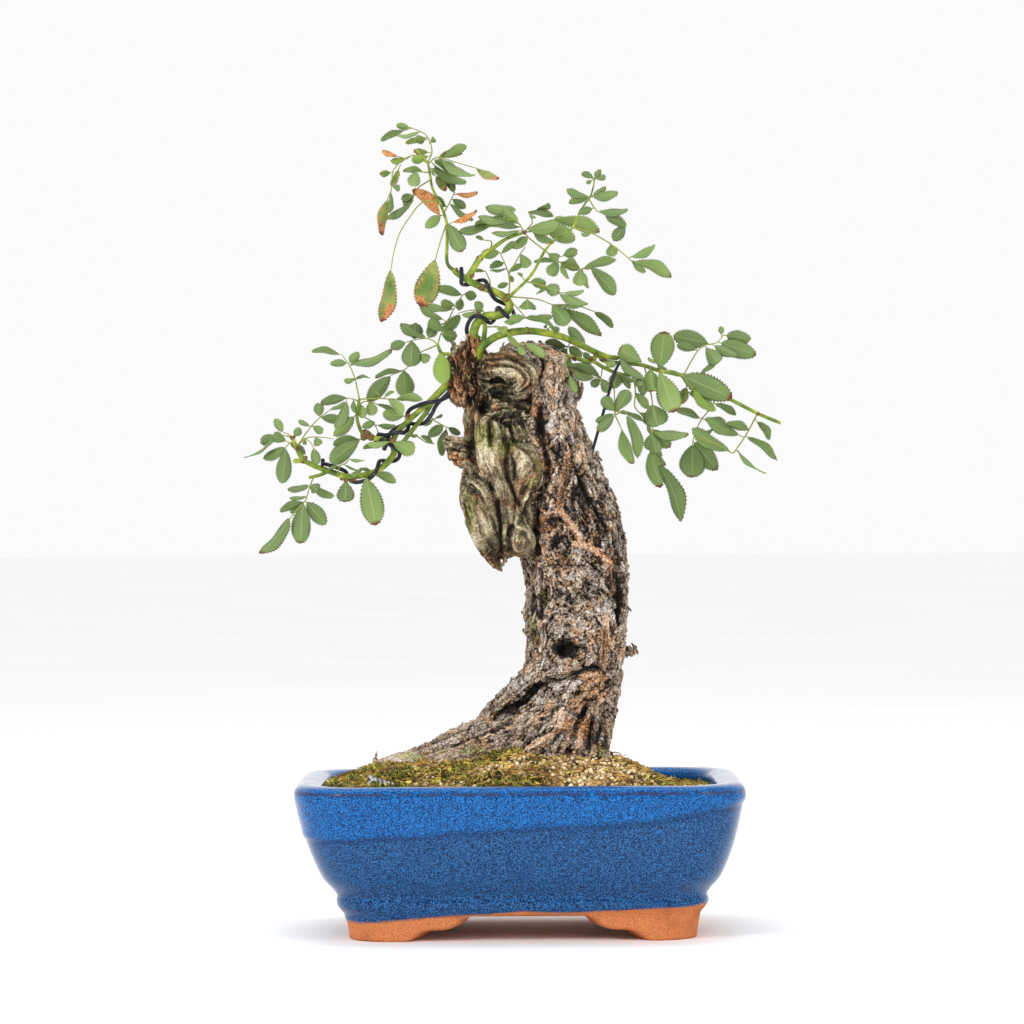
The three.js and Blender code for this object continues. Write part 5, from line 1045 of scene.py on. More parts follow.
def woodLoft(rows, seed, power, step=2.0, sides=64):
    table = np.array(rows, float)
    levels = np.linspace(0, len(table) - 1, int((table[-1, 0] - table[0, 0]) / step))
    fine = np.stack([np.interp(levels, np.arange(len(table)), table[:, column]) for column in range(5)], 1)
    fine[1:-1, 1:] = 0.25 * fine[:-2, 1:] + 0.5 * fine[1:-1, 1:] + 0.25 * fine[2:, 1:]
    angle = np.arange(sides) * 2 * math.pi / sides
    cos, sin = np.cos(angle), np.sin(angle)
    rings = []
    for level, (z, left, right, front, back) in zip(levels, fine):
        centre = seen((left + right) / 2, z, (front + back) / 2)
        flute = 0.035 * np.sin(5 * angle + 0.45 * level + seed) + 0.03 * np.sin(9 * angle - 0.8 * level)
        x = centre[0] + (right - left) / 2 * (1 + flute) * np.sign(cos) * np.abs(cos) ** power
        y = centre[1] + (back - front) / 2 * (1 + flute) * np.sign(sin) * np.abs(sin) ** power
        rings.append(np.stack([x, y, np.full(sides, centre[2])], 1))
    return capped(np.array(rings))


def eggMesh(x, z, y, radiusX, radiusY, radiusZ, sides=28):
    polar = (np.arange(1, sides // 2) / (sides // 2)) * math.pi
    angle = np.arange(sides) * 2 * math.pi / sides
    rings = np.stack([np.sin(polar)[:, None] * np.cos(angle), np.sin(polar)[:, None] * np.sin(angle),
                      -np.cos(polar)[:, None] * np.ones(sides)], -1)
    return capped(rings * (radiusX, radiusY, radiusZ) + seen(x, z, y))


def grownWood(name, rows, power, lumps, stems, voxel):
    # all the forms of one wood, grown together by a voxel remesh
    gather = Builder()
    gather.add(*woodLoft(rows, 1, power))
    for egg in lumps:
        gather.add(*eggMesh(*egg))
    for limbRows, flat in stems.values():
        limb = stemOf(limbRows)
        t = np.linspace(0, 1, 40)
        gather.tube(curveAt(limb["points"], t), radiusAt(limb, t), 28, flat)
    grown = gather.make(name)
    remesh = grown.modifiers.new("grown", "REMESH")
    remesh.mode = "VOXEL"
    remesh.voxel_size = voxel / 1000
    soften = grown.modifiers.new("soften", "SMOOTH")
    soften.iterations = 3
    applyModifiers(grown)
    return grown


def nearLine(x, z, line):
    # distance to a drawn line in the front view
    best = np.full(x.shape, 1e9)
    for start, end in zip(line[:-1], line[1:]):
        step = np.subtract(end, start)
        t = np.clip(((x - start[0]) * step[0] + (z - start[1]) * step[1]) / step.dot(step), 0, 1)
        best = np.minimum(best, np.hypot(x - start[0] - t * step[0], z - start[1] - t * step[1]))
    return best


def gridAt(grid, spacing, x, z):
    # reads a grid over the front view between its points
    u = np.clip((x - woodShape["low"][0]) / spacing, 0, grid.shape[0] - 1.001)
    v = np.clip((z - woodShape["low"][1]) / spacing, 0, grid.shape[1] - 1.001)
    i, j = u.astype(int), v.astype(int)
    u, v = u - i, v - j
    if grid.ndim == 3:
        u, v = u[..., None], v[..., None]
    return (grid[i, j] * (1 - u) * (1 - v) + grid[i + 1, j] * u * (1 - v)
            + grid[i, j + 1] * (1 - u) * v + grid[i + 1, j + 1] * u * v)


def frontGrid(spacing):
    (lowX, lowZ), (highX, highZ) = woodShape["low"], woodShape["high"]
    return np.meshgrid(np.arange(lowX, highX, spacing), np.arange(lowZ, highZ, spacing), indexing="ij")


def grainFlow():
    # the grain's way at each place, as twice its angle, so that up and down count as one
    x, z = frontGrid(woodShape["flowGrid"])
    way = np.zeros(x.shape + (2,))
    for line in grainLines:
        for start, end in zip(line[:-1], line[1:]):
            step = np.subtract(end, start)
            weight = math.hypot(*step) / (nearLine(x, z, [start, end]) ** 2 + 1.5) ** 1.6
            double = 2 * math.atan2(step[1], step[0])
            way += weight[..., None] * (math.cos(double), math.sin(double))
    return unit(way)


def combed(flow, cell, reach, seed):
    # random grains drawn out along the flow, with mean 0 and spread 1
    spacing = woodShape["fibreGrid"]
    x, z = frontGrid(spacing)
    grains = np.random.RandomState(seed).rand(*(int(n * spacing / cell) + 3 for n in x.shape))
    total = np.zeros(x.shape)
    for sign in (1, -1):
        atX, atZ = x.copy(), z.copy()
        lastX, lastZ = np.zeros(x.shape), np.full(x.shape, float(sign))
        for step in range(reach):
            double = gridAt(flow, woodShape["flowGrid"], atX, atZ)
            angle = np.arctan2(double[..., 1], double[..., 0]) / 2
            stepX, stepZ = np.cos(angle), np.sin(angle)
            flip = np.where(stepX * lastX + stepZ * lastZ < 0, -1, 1)
            lastX, lastZ = stepX * flip, stepZ * flip
            atX, atZ = atX + lastX * spacing, atZ + lastZ * spacing
            total += gridAt(grains, cell, atX, atZ)
    return (total - total.mean()) / total.std()


grainWay = grainFlow()
fineFibres = combed(grainWay, 0.5, woodShape["fibreReach"], 5)
midFibres = combed(grainWay, 0.9, woodShape["fibreReach"], 7)
wideFibres = combed(grainWay, 1.9, 2 * woodShape["fibreReach"], 6)
print("grain combed", fineFibres.shape)


def tintAt(x, z, spots, ragged):
    # how much of a coloured place there is, with ragged edges
    total = np.zeros(len(x))
    for atX, atZ, wide, high in spots:
        away = np.hypot((x - atX) / wide, (z - atZ) / high)
        total = np.maximum(total, 1 - smoothstep(0.6, 1.25, away + ragged))
    return total


def carve(wood, cuts, hollows, tints, bark):
    # bark is 1 for living bark with its plates, and 0 for bare weathered wood
    points, normals = pointsOf(wood), normalsOf(wood)
    x, z = readBack(points)
    front = smoothstep(-0.05, 0.4, -normals[:, 1])
    facing = smoothstep(0.2, 0.55, np.abs(normals[:, 1]))
    warp = np.stack([layeredNoise(points, 9, 3, 60 + axis) for axis in range(3)], 1)
    fibres = [gridAt(grid, woodShape["fibreGrid"], x + 0.8 * warp[:, 0], z) for grid in (fineFibres, midFibres, wideFibres)]
    sides = np.stack([points[:, 0] * 0.7, points[:, 1], z * 0.14], 1) + warp * 0.8
    fine, middle, wide = (np.clip(fibre, -1.8, 1.8) * facing + 2.2 * layeredNoise(sides, size, 2, 71) * (1 - facing)
                          for fibre, size in zip(fibres, (1.1, 1.8, 3.4)))
    lift = np.zeros(len(points))
    # creaseShade is painted shade in the carved grooves and hollows, and it also holds back the rust colour there
    creaseShade = np.zeros(len(points))
    for depth, half, line in cuts:
        near = nearLine(x + 0.5 * warp[:, 1], z, line) / half
        shape = np.exp(-near ** 2 * 0.9) * front
        lift += depth * shape
        if depth < 0:
            creaseShade = np.maximum(creaseShade, shape * min(1, -depth / 2))
    for atX, atZ, atY, wideX, deepY, highZ in hollows:
        away = np.hypot((x - atX) / wideX, (z - atZ) / highZ) + 0.35 * warp[:, 2]
        bowl = (1 - smoothstep(0.45, 1.1, away)) * front
        points[:, 1] += np.clip(atY + deepY + 3 - points[:, 1], 0, None) * bowl * (points[:, 1] < atY + deepY + 5)
        creaseShade = np.maximum(creaseShade, bowl)
    ragged = 0.35 * layeredNoise(points, 5, 3, 90) + 0.1 * fine
    dark, rust, moss, pale, crust = (tintAt(x, z, tints[name], ragged) for name in ("dark", "rust", "moss", "pale", "crust"))
    streak = np.zeros(len(points))
    for half, line in tints.get("rustLines", ()):
        streak = np.maximum(streak, 1 - smoothstep(0.7, 1.1, nearLine(x + 0.9 * warp[:, 1], z, line) / half + 0.6 * ragged))
    dark, rust, moss, pale, streak = dark * front, rust * front, moss * front, pale * front, streak * front
    rough = points + warp * 2.2 + (layeredNoise(points, 1.6, 2, 81) * 0.5 + middle * 0.4)[:, None]
    first, second, own, lean = cellsAt(rough * (1, 1, 0.72), woodShape["plate"], 3)
    chipFirst, chipSecond, chipOwn, chipLean = cellsAt(rough, woodShape["chip"], 17)
    crack = 1 - smoothstep(0.015, 0.12, second - first)
    chipCrack = 1 - smoothstep(0.015, 0.14, chipSecond - chipFirst)
    plates = woodShape["plateDepth"] * ((own - 0.5) * 1.4 + lean * 0.9) - woodShape["crackDepth"] * crack
    plates += 0.55 * (chipOwn - 0.5) + 0.4 * chipLean - 0.3 * chipCrack
    rust = rust * (1 - 0.8 * bark * (1 - smoothstep(0.3, 0.42, chipOwn + 0.5 * layeredNoise(points, 4, 2, 12))))
    rust = np.maximum(rust, streak)
    worn = 0.38 * smoothstep(-0.25, 0.45, layeredNoise(points, 8, 2, 97))
    crust = np.maximum(crust * (1 - 0.85 * rust * bark), (1 - bark) * worn)
    grain = woodShape["fibreDepth"] * (0.8 * (fine * (1 - bark) + middle * bark) + 0.55 * wide)
    lift += crust * plates + (1 - 0.4 * crust) * grain * 1.15 + 0.5 * layeredNoise(points, 3, 2, 83) * crust
    points += normals * lift[:, None]
    setPoints(wood, points)
    dark = dark * (1 - bark * 0.8 * (1 - smoothstep(0.15, 0.4, chipOwn)))
    shade = 0.49 + 0.14 * bark + 0.13 * (fine * (1 - 0.6 * bark)) + 0.06 * middle + 0.02 * wide
    shade += 0.3 * (1 - bark) * (chipOwn - 0.5) * (1 - smoothstep(0.5, 0.9, np.abs(chipLean) * 4))
    shade += crust * ((0.34 + 0.12 * bark) * (own - 0.5) + (0.24 + 0.1 * bark) * (chipOwn - 0.5)) - 0.27 * dark + 0.24 * pale
    shade += 0.03 * rust * bark + 0.13 * streak
    # darker in the cracks between plates, partly the fissures' own darker bark and partly painted shade; painted shade
    # in the grooves and hollows
    shade -= (0.34 + 0.1 * bark) * crust * np.clip(crack + 0.45 * chipCrack, 0, 1) + 0.45 * creaseShade
    addValues(wood, {"shade": np.clip(shade, 0, 1), "rust": rust * (1 - 0.7 * creaseShade), "moss": moss, "plate": own,
                     "bark": np.full(len(points), bark), "age": np.clip(0.5 + 0.7 * layeredNoise(points, 7, 3, 95), 0, 1)})


def woodMaterial():
    material, tree, shader, where = newMaterial("barkAndDeadwood", **{"Specular IOR Level": 0.25})
    fine = useGroup(tree, speckleGroup, place=where, size=0.0045, fleck=0.0011)
    tiny = useGroup(tree, speckleGroup, place=where, size=0.0016, fleck=0.0005)
    drift = addNode(tree, "ShaderNodeTexNoise", {"Vector": where, "Scale": 420.0, "Detail": 3.0})
    pushed = addNode(tree, "ShaderNodeVectorMath", {0: drift.outputs["Color"], "Scale": 0.0018}, operation="SCALE")
    bent = addNode(tree, "ShaderNodeVectorMath", {0: where, 1: pushed.outputs[0]}, operation="ADD").outputs[0]
    edges = voronoi(tree, bent, 620.0, "DISTANCE_TO_EDGE")
    cracked = spread(tree, attribute(tree, "bark"), 0, 1, (0.35, 1.0))
    crackle = worked(tree, "MULTIPLY", spread(tree, edges, 0.1, 0.02), cracked)
    shade = worked(tree, "ADD", attribute(tree, "shade"), spread(tree, fine["fleck"], 0.32, 0.68, (-0.15, 0.19)))
    shade = worked(tree, "ADD", shade, spread(tree, tiny["fleck"], 0.32, 0.68, (-0.14, 0.17)))
    # the fine cracks are drawn darker as well as sunk by the bump: partly their own darker bark, partly painted shade
    shade = worked(tree, "SUBTRACT", shade, worked(tree, "MULTIPLY", crackle, 0.3), True)
    bark = ramp(tree, shade, [(0.0, colour(0.012, 0.01, 0.009)), (0.22, colour(0.05, 0.038, 0.03)),
                              (0.4, colour(0.2, 0.15, 0.11)), (0.57, colour(0.44, 0.35, 0.275)),
                              (0.76, colour(0.72, 0.62, 0.52)), (1.0, colour(0.92, 0.85, 0.77))])
    hue = worked(tree, "FRACT", worked(tree, "MULTIPLY", attribute(tree, "plate"), 5.7))
    hue = worked(tree, "ADD", hue, spread(tree, fine["blotch"], 0.3, 0.7, (-0.3, 0.3)), True)
    tint = ramp(tree, hue, [(0.0, colour(0.8, 0.82, 0.88)), (0.3, colour(0.95, 0.94, 0.94)), (0.55, colour(1, 0.93, 0.84)),
                            (0.8, colour(1, 0.84, 0.68)), (1.0, colour(0.98, 0.72, 0.5))])
    bark = mixed(tree, 1.0, bark, tint, "MULTIPLY")
    dead = ramp(tree, shade, [(0.0, colour(0.014, 0.011, 0.006)), (0.25, colour(0.065, 0.052, 0.03)),
                              (0.45, colour(0.19, 0.152, 0.088)), (0.62, colour(0.4, 0.33, 0.2)),
                              (0.82, colour(0.7, 0.61, 0.42)), (1.0, colour(0.92, 0.84, 0.64))])
    brown = mixed(tree, 0.9, dead, colour(0.72, 0.5, 0.38), "MULTIPLY")
    dead = mixed(tree, spread(tree, attribute(tree, "age"), 0.45, 0.7), dead, brown)
    skin = mixed(tree, attribute(tree, "bark"), dead, bark)
    redwood = ramp(tree, shade, [(0.0, colour(0.04, 0.012, 0.004)), (0.3, colour(0.22, 0.08, 0.026)),
                                 (0.5, colour(0.5, 0.22, 0.085)), (0.7, colour(0.78, 0.45, 0.25)), (0.9, colour(0.9, 0.68, 0.52))])
    skin = mixed(tree, worked(tree, "MULTIPLY", attribute(tree, "rust"), 0.85), skin, redwood)
    green = ramp(tree, shade, [(0.1, colour(0.03, 0.028, 0.006)), (0.5, colour(0.2, 0.19, 0.05)), (0.8, colour(0.5, 0.5, 0.2))])
    skin = mixed(tree, worked(tree, "MULTIPLY", attribute(tree, "moss"), 0.7), skin, green)
    tree.links.new(skin, shader.inputs["Base Color"])
    tree.links.new(spread(tree, fine["fleck"], 0.3, 0.7, (0.75, 0.95)), shader.inputs["Roughness"])
    height = worked(tree, "ADD", fine["fleck"], worked(tree, "MULTIPLY", tiny["fleck"], 0.5))
    height = worked(tree, "SUBTRACT", height, crackle)
    tree.links.new(bumped(tree, height, 0.9, 0.0008), shader.inputs["Normal"])
    return material


def makeFlakes(wood, count, seed):
    # thin closed scales of bark that lie along the grain and stand a little proud
    draw = np.random.RandomState(seed)
    points, normals = pointsOf(wood), normalsOf(wood)
    x, z = readBack(points)
    chance = smoothstep(82, 96, z) * (0.35 + smoothstep(0.3, 0.6, valuesOf(wood, "shade"))) * (1 - 0.9 * valuesOf(wood, "rust"))
    picked = draw.choice(len(points), count, replace=False, p=chance / chance.sum())
    at, out = points[picked], unit(normals[picked])
    double = gridAt(grainWay, woodShape["flowGrid"], x[picked], z[picked])
    angle = np.arctan2(double[:, 1], double[:, 0]) / 2 + draw.normal(0, 0.18, count)
    along = np.stack([np.cos(angle), np.zeros(count), np.sin(angle)], 1)
    along = unit(along - out * (along * out).sum(1)[:, None])
    out = unit(out + 0.14 * draw.normal(0, 1, (count, 3)))
    across = unit(np.cross(out, along))
    along = np.cross(across, out)
    sides = flakeShape["sides"]
    turn = (np.arange(sides) + 0.5 * draw.rand(count, sides)) * 2 * math.pi / sides
    reach = 0.65 + 0.5 * draw.rand(count, sides)
    long = draw.uniform(*flakeShape["length"], count)[:, None] * reach * np.cos(turn)
    wide = draw.uniform(*flakeShape["width"], count)[:, None] * reach * np.sin(turn)
    flat = along[:, None] * long[..., None] + across[:, None] * wide[..., None]
    proud = draw.uniform(*flakeShape["proud"], count)
    top = at[:, None] + flat * 0.86 + out[:, None] * (proud[:, None] + 0.12 * draw.normal(0, 1, (count, sides)))[..., None]
    foot = at[:, None] + flat - out[:, None] * flakeShape["sunk"]
    middle = at + out * (proud + 0.1)[:, None]
    deep = at - out * (flakeShape["sunk"] + 0.1)
    every = np.concatenate([top, foot, middle[:, None], deep[:, None]], 1).reshape(-1, 3)
    step = np.arange(sides)
    after = (step + 1) % sides
    quads = np.stack([step + sides, after + sides, after, step], 1)
    fans = np.vstack([np.stack([np.full(sides, 2 * sides), step, after], 1),
                      np.stack([np.full(sides, 2 * sides + 1), after + sides, step + sides], 1)])
    starts = np.arange(count)[:, None, None] * (2 * sides + 2)
    values = {name: np.repeat(valuesOf(wood, name)[picked], 2 * sides + 2) for name in ("rust", "moss", "bark")}
    values["shade"] = np.repeat(np.clip(valuesOf(wood, "shade")[picked] * 0.5 + 0.32 + draw.normal(0, 0.09, count), 0, 1),
                                2 * sides + 2)
    # painted shade on each flake's sides and underside, and a slight painted highlight on its raised middle
    values["shade"] -= np.tile(np.concatenate([np.zeros(sides), np.full(sides, 0.25), [-0.03, 0.3]]), count)
    values["plate"] = np.repeat(valuesOf(wood, "plate")[picked], 2 * sides + 2)
    values["age"] = np.repeat(draw.rand(count), 2 * sides + 2)
    return makeObject("barkFlakes", every, (quads[None] + starts).reshape(-1, 4), (fans[None] + starts).reshape(-1, 3),
                      values, smooth=False)


def makeSplinters(wood, count, seed):
    # torn fibres on the burr and along the crusty edge of the dead wood
    draw = np.random.RandomState(seed)
    points, normals = pointsOf(wood), normalsOf(wood)
    x, z = readBack(points)
    burr = np.exp(-((x + 26) / 7) ** 2 - ((z - 273) / 11) ** 2)
    seam = 0.5 * np.exp(-((x + 6) / 11) ** 2 - ((z - 252) / 4) ** 2)
    chance = burr + seam + 0.02
    picked = draw.choice(len(points), count, p=chance / chance.sum())
    double = gridAt(grainWay, woodShape["flowGrid"], x[picked], z[picked])
    angle = np.arctan2(double[:, 1], double[:, 0]) / 2
    grain = np.stack([np.cos(angle), np.zeros(count), np.sin(angle)], 1) * np.sign(draw.normal(0.3, 1, count))[:, None]
    along = unit(grain + unit(normals[picked]) * draw.uniform(0.15, 0.7, count)[:, None] + draw.normal(0, 0.22, (count, 3)))
    length = draw.uniform(1.2, 4.6, count) * (0.6 + 0.6 * burr[picked])
    axes = axesAlong(along, draw, draw.uniform(0.22, 0.5, count), length)
    values = {"shade": np.clip(draw.normal(0.42, 0.18, count), 0.1, 0.95), "rust": burr[picked] * draw.uniform(0, 1, count),
              "moss": np.zeros(count), "plate": draw.rand(count), "bark": np.zeros(count), "age": draw.rand(count)}
    return strewn("woodSplinters", points[picked] - unit(normals[picked]) * 0.3, axes, spike, spikeFaces, values)


flakeShape = {
    "splinters": 1100, "count": 2300, "sides": 7, "length": (1.2, 4.4), "width": (0.5, 1.4), "proud": (0.1, 0.5), "sunk": 0.7,
}
trunkWood = grownWood("trunkWood", trunkRows, 0.85, liveLumps, liveStems, woodShape["liveVoxel"])
deadWood = grownWood("deadWood", deadwoodRows, 1.0, deadLumps, deadStems, woodShape["deadVoxel"])
print("wood grown", len(trunkWood.data.vertices), len(deadWood.data.vertices))
carve(trunkWood, liveCuts, liveHollows, liveTints, 1.0)
carve(deadWood, deadCuts, deadHollows, deadTints, 0.0)
barkFlakes = makeFlakes(trunkWood, flakeShape["count"], 12)
woodFinish = woodMaterial()
woodSplinters = makeSplinters(deadWood, flakeShape["splinters"], 19)
for wood in (trunkWood, deadWood, barkFlakes, woodSplinters):
    place(wood, woodFinish, "bark", "trunk")
print("trunk carved")


# ---- Canes and leaves
leafShape = {"thick": 0.26, "tooth": 0.46, "stalk": 0.34, "toothEvery": 1.3, "curl": 0.5}


def nearestOn(carriers, measure):
    # the point on the straight runs of the carriers for which the measure is least
    share = np.linspace(0, 1, 9)[:, None, None]
    best, found = None, None
    for points in carriers:
        runs = (points[None, :-1] * (1 - share) + points[None, 1:] * share).reshape(-1, 3)
        away = measure(runs)
        index = int(np.argmin(away))
        if best is None or away[index] < best:
            best, found = away[index], runs[index]
    return found


def rootedStem(rows, carriers):
    stem = stemOf(rows)
    start = stem["points"][0]
    stem["points"][0] = nearestOn(carriers, lambda at: np.linalg.norm(at - start, axis=1))
    return stem


def stemCentres(stem, step=0.8):
    chords = np.linalg.norm(np.diff(stem["points"], axis=0), axis=1).sum()
    t = np.linspace(0, 1, max(6, int(chords / step)))
    return curveAt(stem["points"], t), radiusAt(stem, t)


def addLeaflet(gather, seat, row, draw, tone):
    baseX, baseZ, tipX, tipZ, shown = row[:5]
    deeper = row[5] if len(row) > 5 else 0
    base, tip = seen(baseX, baseZ, seat[1]), seen(tipX, tipZ, seat[1] + deeper)
    along = tip - seat
    length = np.linalg.norm(along)
    along = along / length
    width = max(shown, 0.42 * np.linalg.norm(base - tip))
    facing = sideways(along[None])[0]
    towards = unit(np.cross(along, facing))
    turn = math.acos(min(1, shown / width)) * (-1 if draw.random() < 0.5 else 1)
    side = facing * math.cos(turn) + towards * math.sin(turn)
    up = unit(np.cross(side, along))
    arch = length * (0.03 + 0.07 * draw.random())
    fold = (0.12 + 0.26 * draw.random()) * math.cos(turn)
    start = min(0.4, np.linalg.norm(seat - base) / length)
    blade = length * (1 - start)
    teeth = int(np.clip(round(blade / leafShape["toothEvery"]), 5, 15))
    rows = 2 * teeth + 2
    t = np.linspace(0, 1, rows)
    fuller = 0.84 + 0.34 * draw.random()
    half = 0.52 * width * np.sin(math.pi * np.clip(t, 0.004, 0.996) ** fuller) ** 0.56
    tooth = min(leafShape["tooth"], 0.07 * width) * np.clip(np.minimum(t / 0.12, (1.02 - t) / 0.06), 0, 1)
    saw = np.where(np.arange(rows) % 2 == 1, tooth, -tooth)
    across = np.array([-1, -0.8, -0.42, 0, 0.42, 0.8, 1])
    edge = np.abs(across) > 0.99
    offset = half[:, None] * across + np.where(edge, np.sign(across) * saw[:, None], 0)
    sweep = 0.28 * np.abs(offset) * (1 - t[:, None]) ** 0.6 + np.where(edge, 0.35 * blade / rows, 0)
    reach = t[:, None] * blade + sweep
    reach = np.minimum(reach, blade)
    share = (start * length + reach) / length
    twist = (draw.random() - 0.5) * 0.5 * leafShape["curl"]
    level = np.abs(offset) * fold - arch * (4 * (share - 0.4) ** 2 - 0.16)
    level = level + offset * twist * t[:, None]
    level = level + 0.045 * width * np.sin(t[:, None] * 9 + across * 2 + 6 * twist) * np.abs(across)
    thick = leafShape["thick"] * (1 - 0.75 * np.abs(across)) + 0.08
    thick = thick[None, :] * np.clip(np.minimum(t, 1 - t) * 12 + 0.25, 0, 1)[:, None]

    def grid(levels):
        return (seat + along * (start * length + reach)[..., None] + side * offset[..., None] + up * levels[..., None])
    top, bottom = grid(level + thick / 2), grid(level - thick / 2)
    ring = np.concatenate([top, bottom[:, ::-1][:, 1:-1]], axis=1)
    count = ring.shape[1]
    points = np.vstack([ring.reshape(-1, 3), ring[0].mean(0)[None], ring[-1].mean(0)[None]])
    stepIndex = np.arange(count)
    after = (stepIndex + 1) % count
    last = (rows - 1) * count
    quads = ringGrid(rows, count)[:, ::-1]
    low = np.stack([np.full(count, len(points) - 2), stepIndex, after], 1)
    high = np.stack([np.full(count, len(points) - 1), last + after, last + stepIndex], 1)
    column = np.concatenate([across, across[::-1][1:-1]])
    uv = np.stack([np.broadcast_to(column * 0.5 + 0.5, (rows, count)), np.broadcast_to(t[:, None], (rows, count))], -1)
    uv = np.vstack([uv.reshape(-1, 2), [[0.5, 0], [0.5, 1]]])
    below = np.concatenate([np.zeros(len(across)), np.ones(count - len(across))])
    # 1 is a burnt tip, 2 is a yellowing leaf with spots, 3 a withered one and 4 a fresh light one
    state = row[6] if len(row) > 6 else 0
    values = {
        "tone": tone, "under": np.concatenate([np.tile(below, rows), [0, 0]]), "reach": length,
        "burn": (0.7 * (draw.random() < 0.3), 1.0, 1.0, 1.0, 0.0)[state], "yellow": (0, 0, 0.9, 0, 0.7)[state],
        "wither": float(state == 3), "spots": float(state == 2), "rim": draw.random(),
    }
    gather.add(points, quads, np.vstack([low, high]), uv, values)
    stalk = np.array([seat, seat + along * (start * length + 0.06 * blade)])
    if start * length > 0.3:
        gather.tube(stalk[:1] + (stalk[1:] - stalk[:1]) * np.linspace(0, 1, 4)[:, None], 0.24, 6,
                    values={"tone": 0.9, "stalk": 1.0})


def growStem(name, caneRows, twigs, knobs, leaves, seed, wood=0.0):
    draw = np.random.RandomState(seed)
    canes, blades = Builder(), Builder()
    cane = stemOf(caneRows)
    carriers = [cane["points"]]

    def addCane(stem, sides):
        centres, radii = stemCentres(stem)
        ripple = 1 + 0.05 * noiseAt(centres, 5, seed)
        canes.tube(centres, radii * ripple, sides, values={"knob": 0.0, "dye": float(draw.random())})
    addCane(cane, 16)
    for rows in twigs:
        twig = rootedStem(rows, carriers)
        carriers.append(twig["points"])
        addCane(twig, 12)
    for x, z, y, radius in knobs:
        # a knuckle of old scales: one core with buds around it
        for bud in range(7):
            off = unit(draw.normal(0, 1, 3)) * radius * (0.62 if bud else 0)
            size = radius * (draw.uniform(0.3, 0.55) if bud else 0.78)
            points, quads, triangles = eggMesh(x, z, y, size, size, size * draw.uniform(0.7, 1.2), 12)
            centre = points.mean(0)
            swell = 1 + 0.3 * layeredNoise(points, size * 0.9, 2, seed + bud)
            canes.add(centre + off + (points - centre) * swell[:, None], quads, triangles,
                      values={"knob": 1.0, "dye": float(draw.random())})
    for stalkRows, leaflets in leaves:
        stalk = rootedStem([tuple(point) + (leafShape["stalk"],) for point in stalkRows], carriers)
        tone = draw.random()
        for row in leaflets:
            base = seen(row[0], row[1], 0)
            seat = nearestOn([stalk["points"]], lambda at: np.hypot(at[:, 0] - base[0], at[:, 2] - base[2]))
            addLeaflet(blades, seat, row, draw, np.clip(tone + 0.5 * (draw.random() - 0.5), 0, 1))
        carriers.append(stalk["points"])
        centres, radii = stemCentres(stalk, 1.2)
        taper = np.linspace(1.15, 0.7, len(radii))
        blades.tube(centres, radii * taper, 8, values={"tone": 0.9, "stalk": 1.0})
    return canes.make(name + "Canes"), blades.make(name + "Leaves"), cane


def caneMaterial():
    material, tree, shader, where = newMaterial("greenCane", **{"Specular IOR Level": 0.45})
    fine = useGroup(tree, speckleGroup, place=where, size=0.006, fleck=0.0008)
    green = ramp(tree, fine["blotch"], [(0.32, colour(0.05, 0.11, 0.008)), (0.5, colour(0.16, 0.25, 0.015)),
                                        (0.68, colour(0.4, 0.44, 0.04))])
    green = mixed(tree, spread(tree, fine["fleck"], 0.56, 0.66, (0.0, 0.6)), green, colour(0.25, 0.12, 0.05))
    knob = ramp(tree, fine["fleck"], [(0.38, colour(0.02, 0.006, 0.005)), (0.5, colour(0.13, 0.035, 0.02)),
                                      (0.64, colour(0.36, 0.15, 0.06))])
    knob = mixed(tree, worked(tree, "MULTIPLY", attribute(tree, "dye"), 0.5), knob, colour(0.2, 0.2, 0.04))
    tree.links.new(mixed(tree, attribute(tree, "knob"), green, knob), shader.inputs["Base Color"])
    tree.links.new(spread(tree, fine["fleck"], 0.3, 0.7, (0.38, 0.6)), shader.inputs["Roughness"])
    tree.links.new(bumped(tree, fine["fleck"], 0.35, 0.0002), shader.inputs["Normal"])
    return material


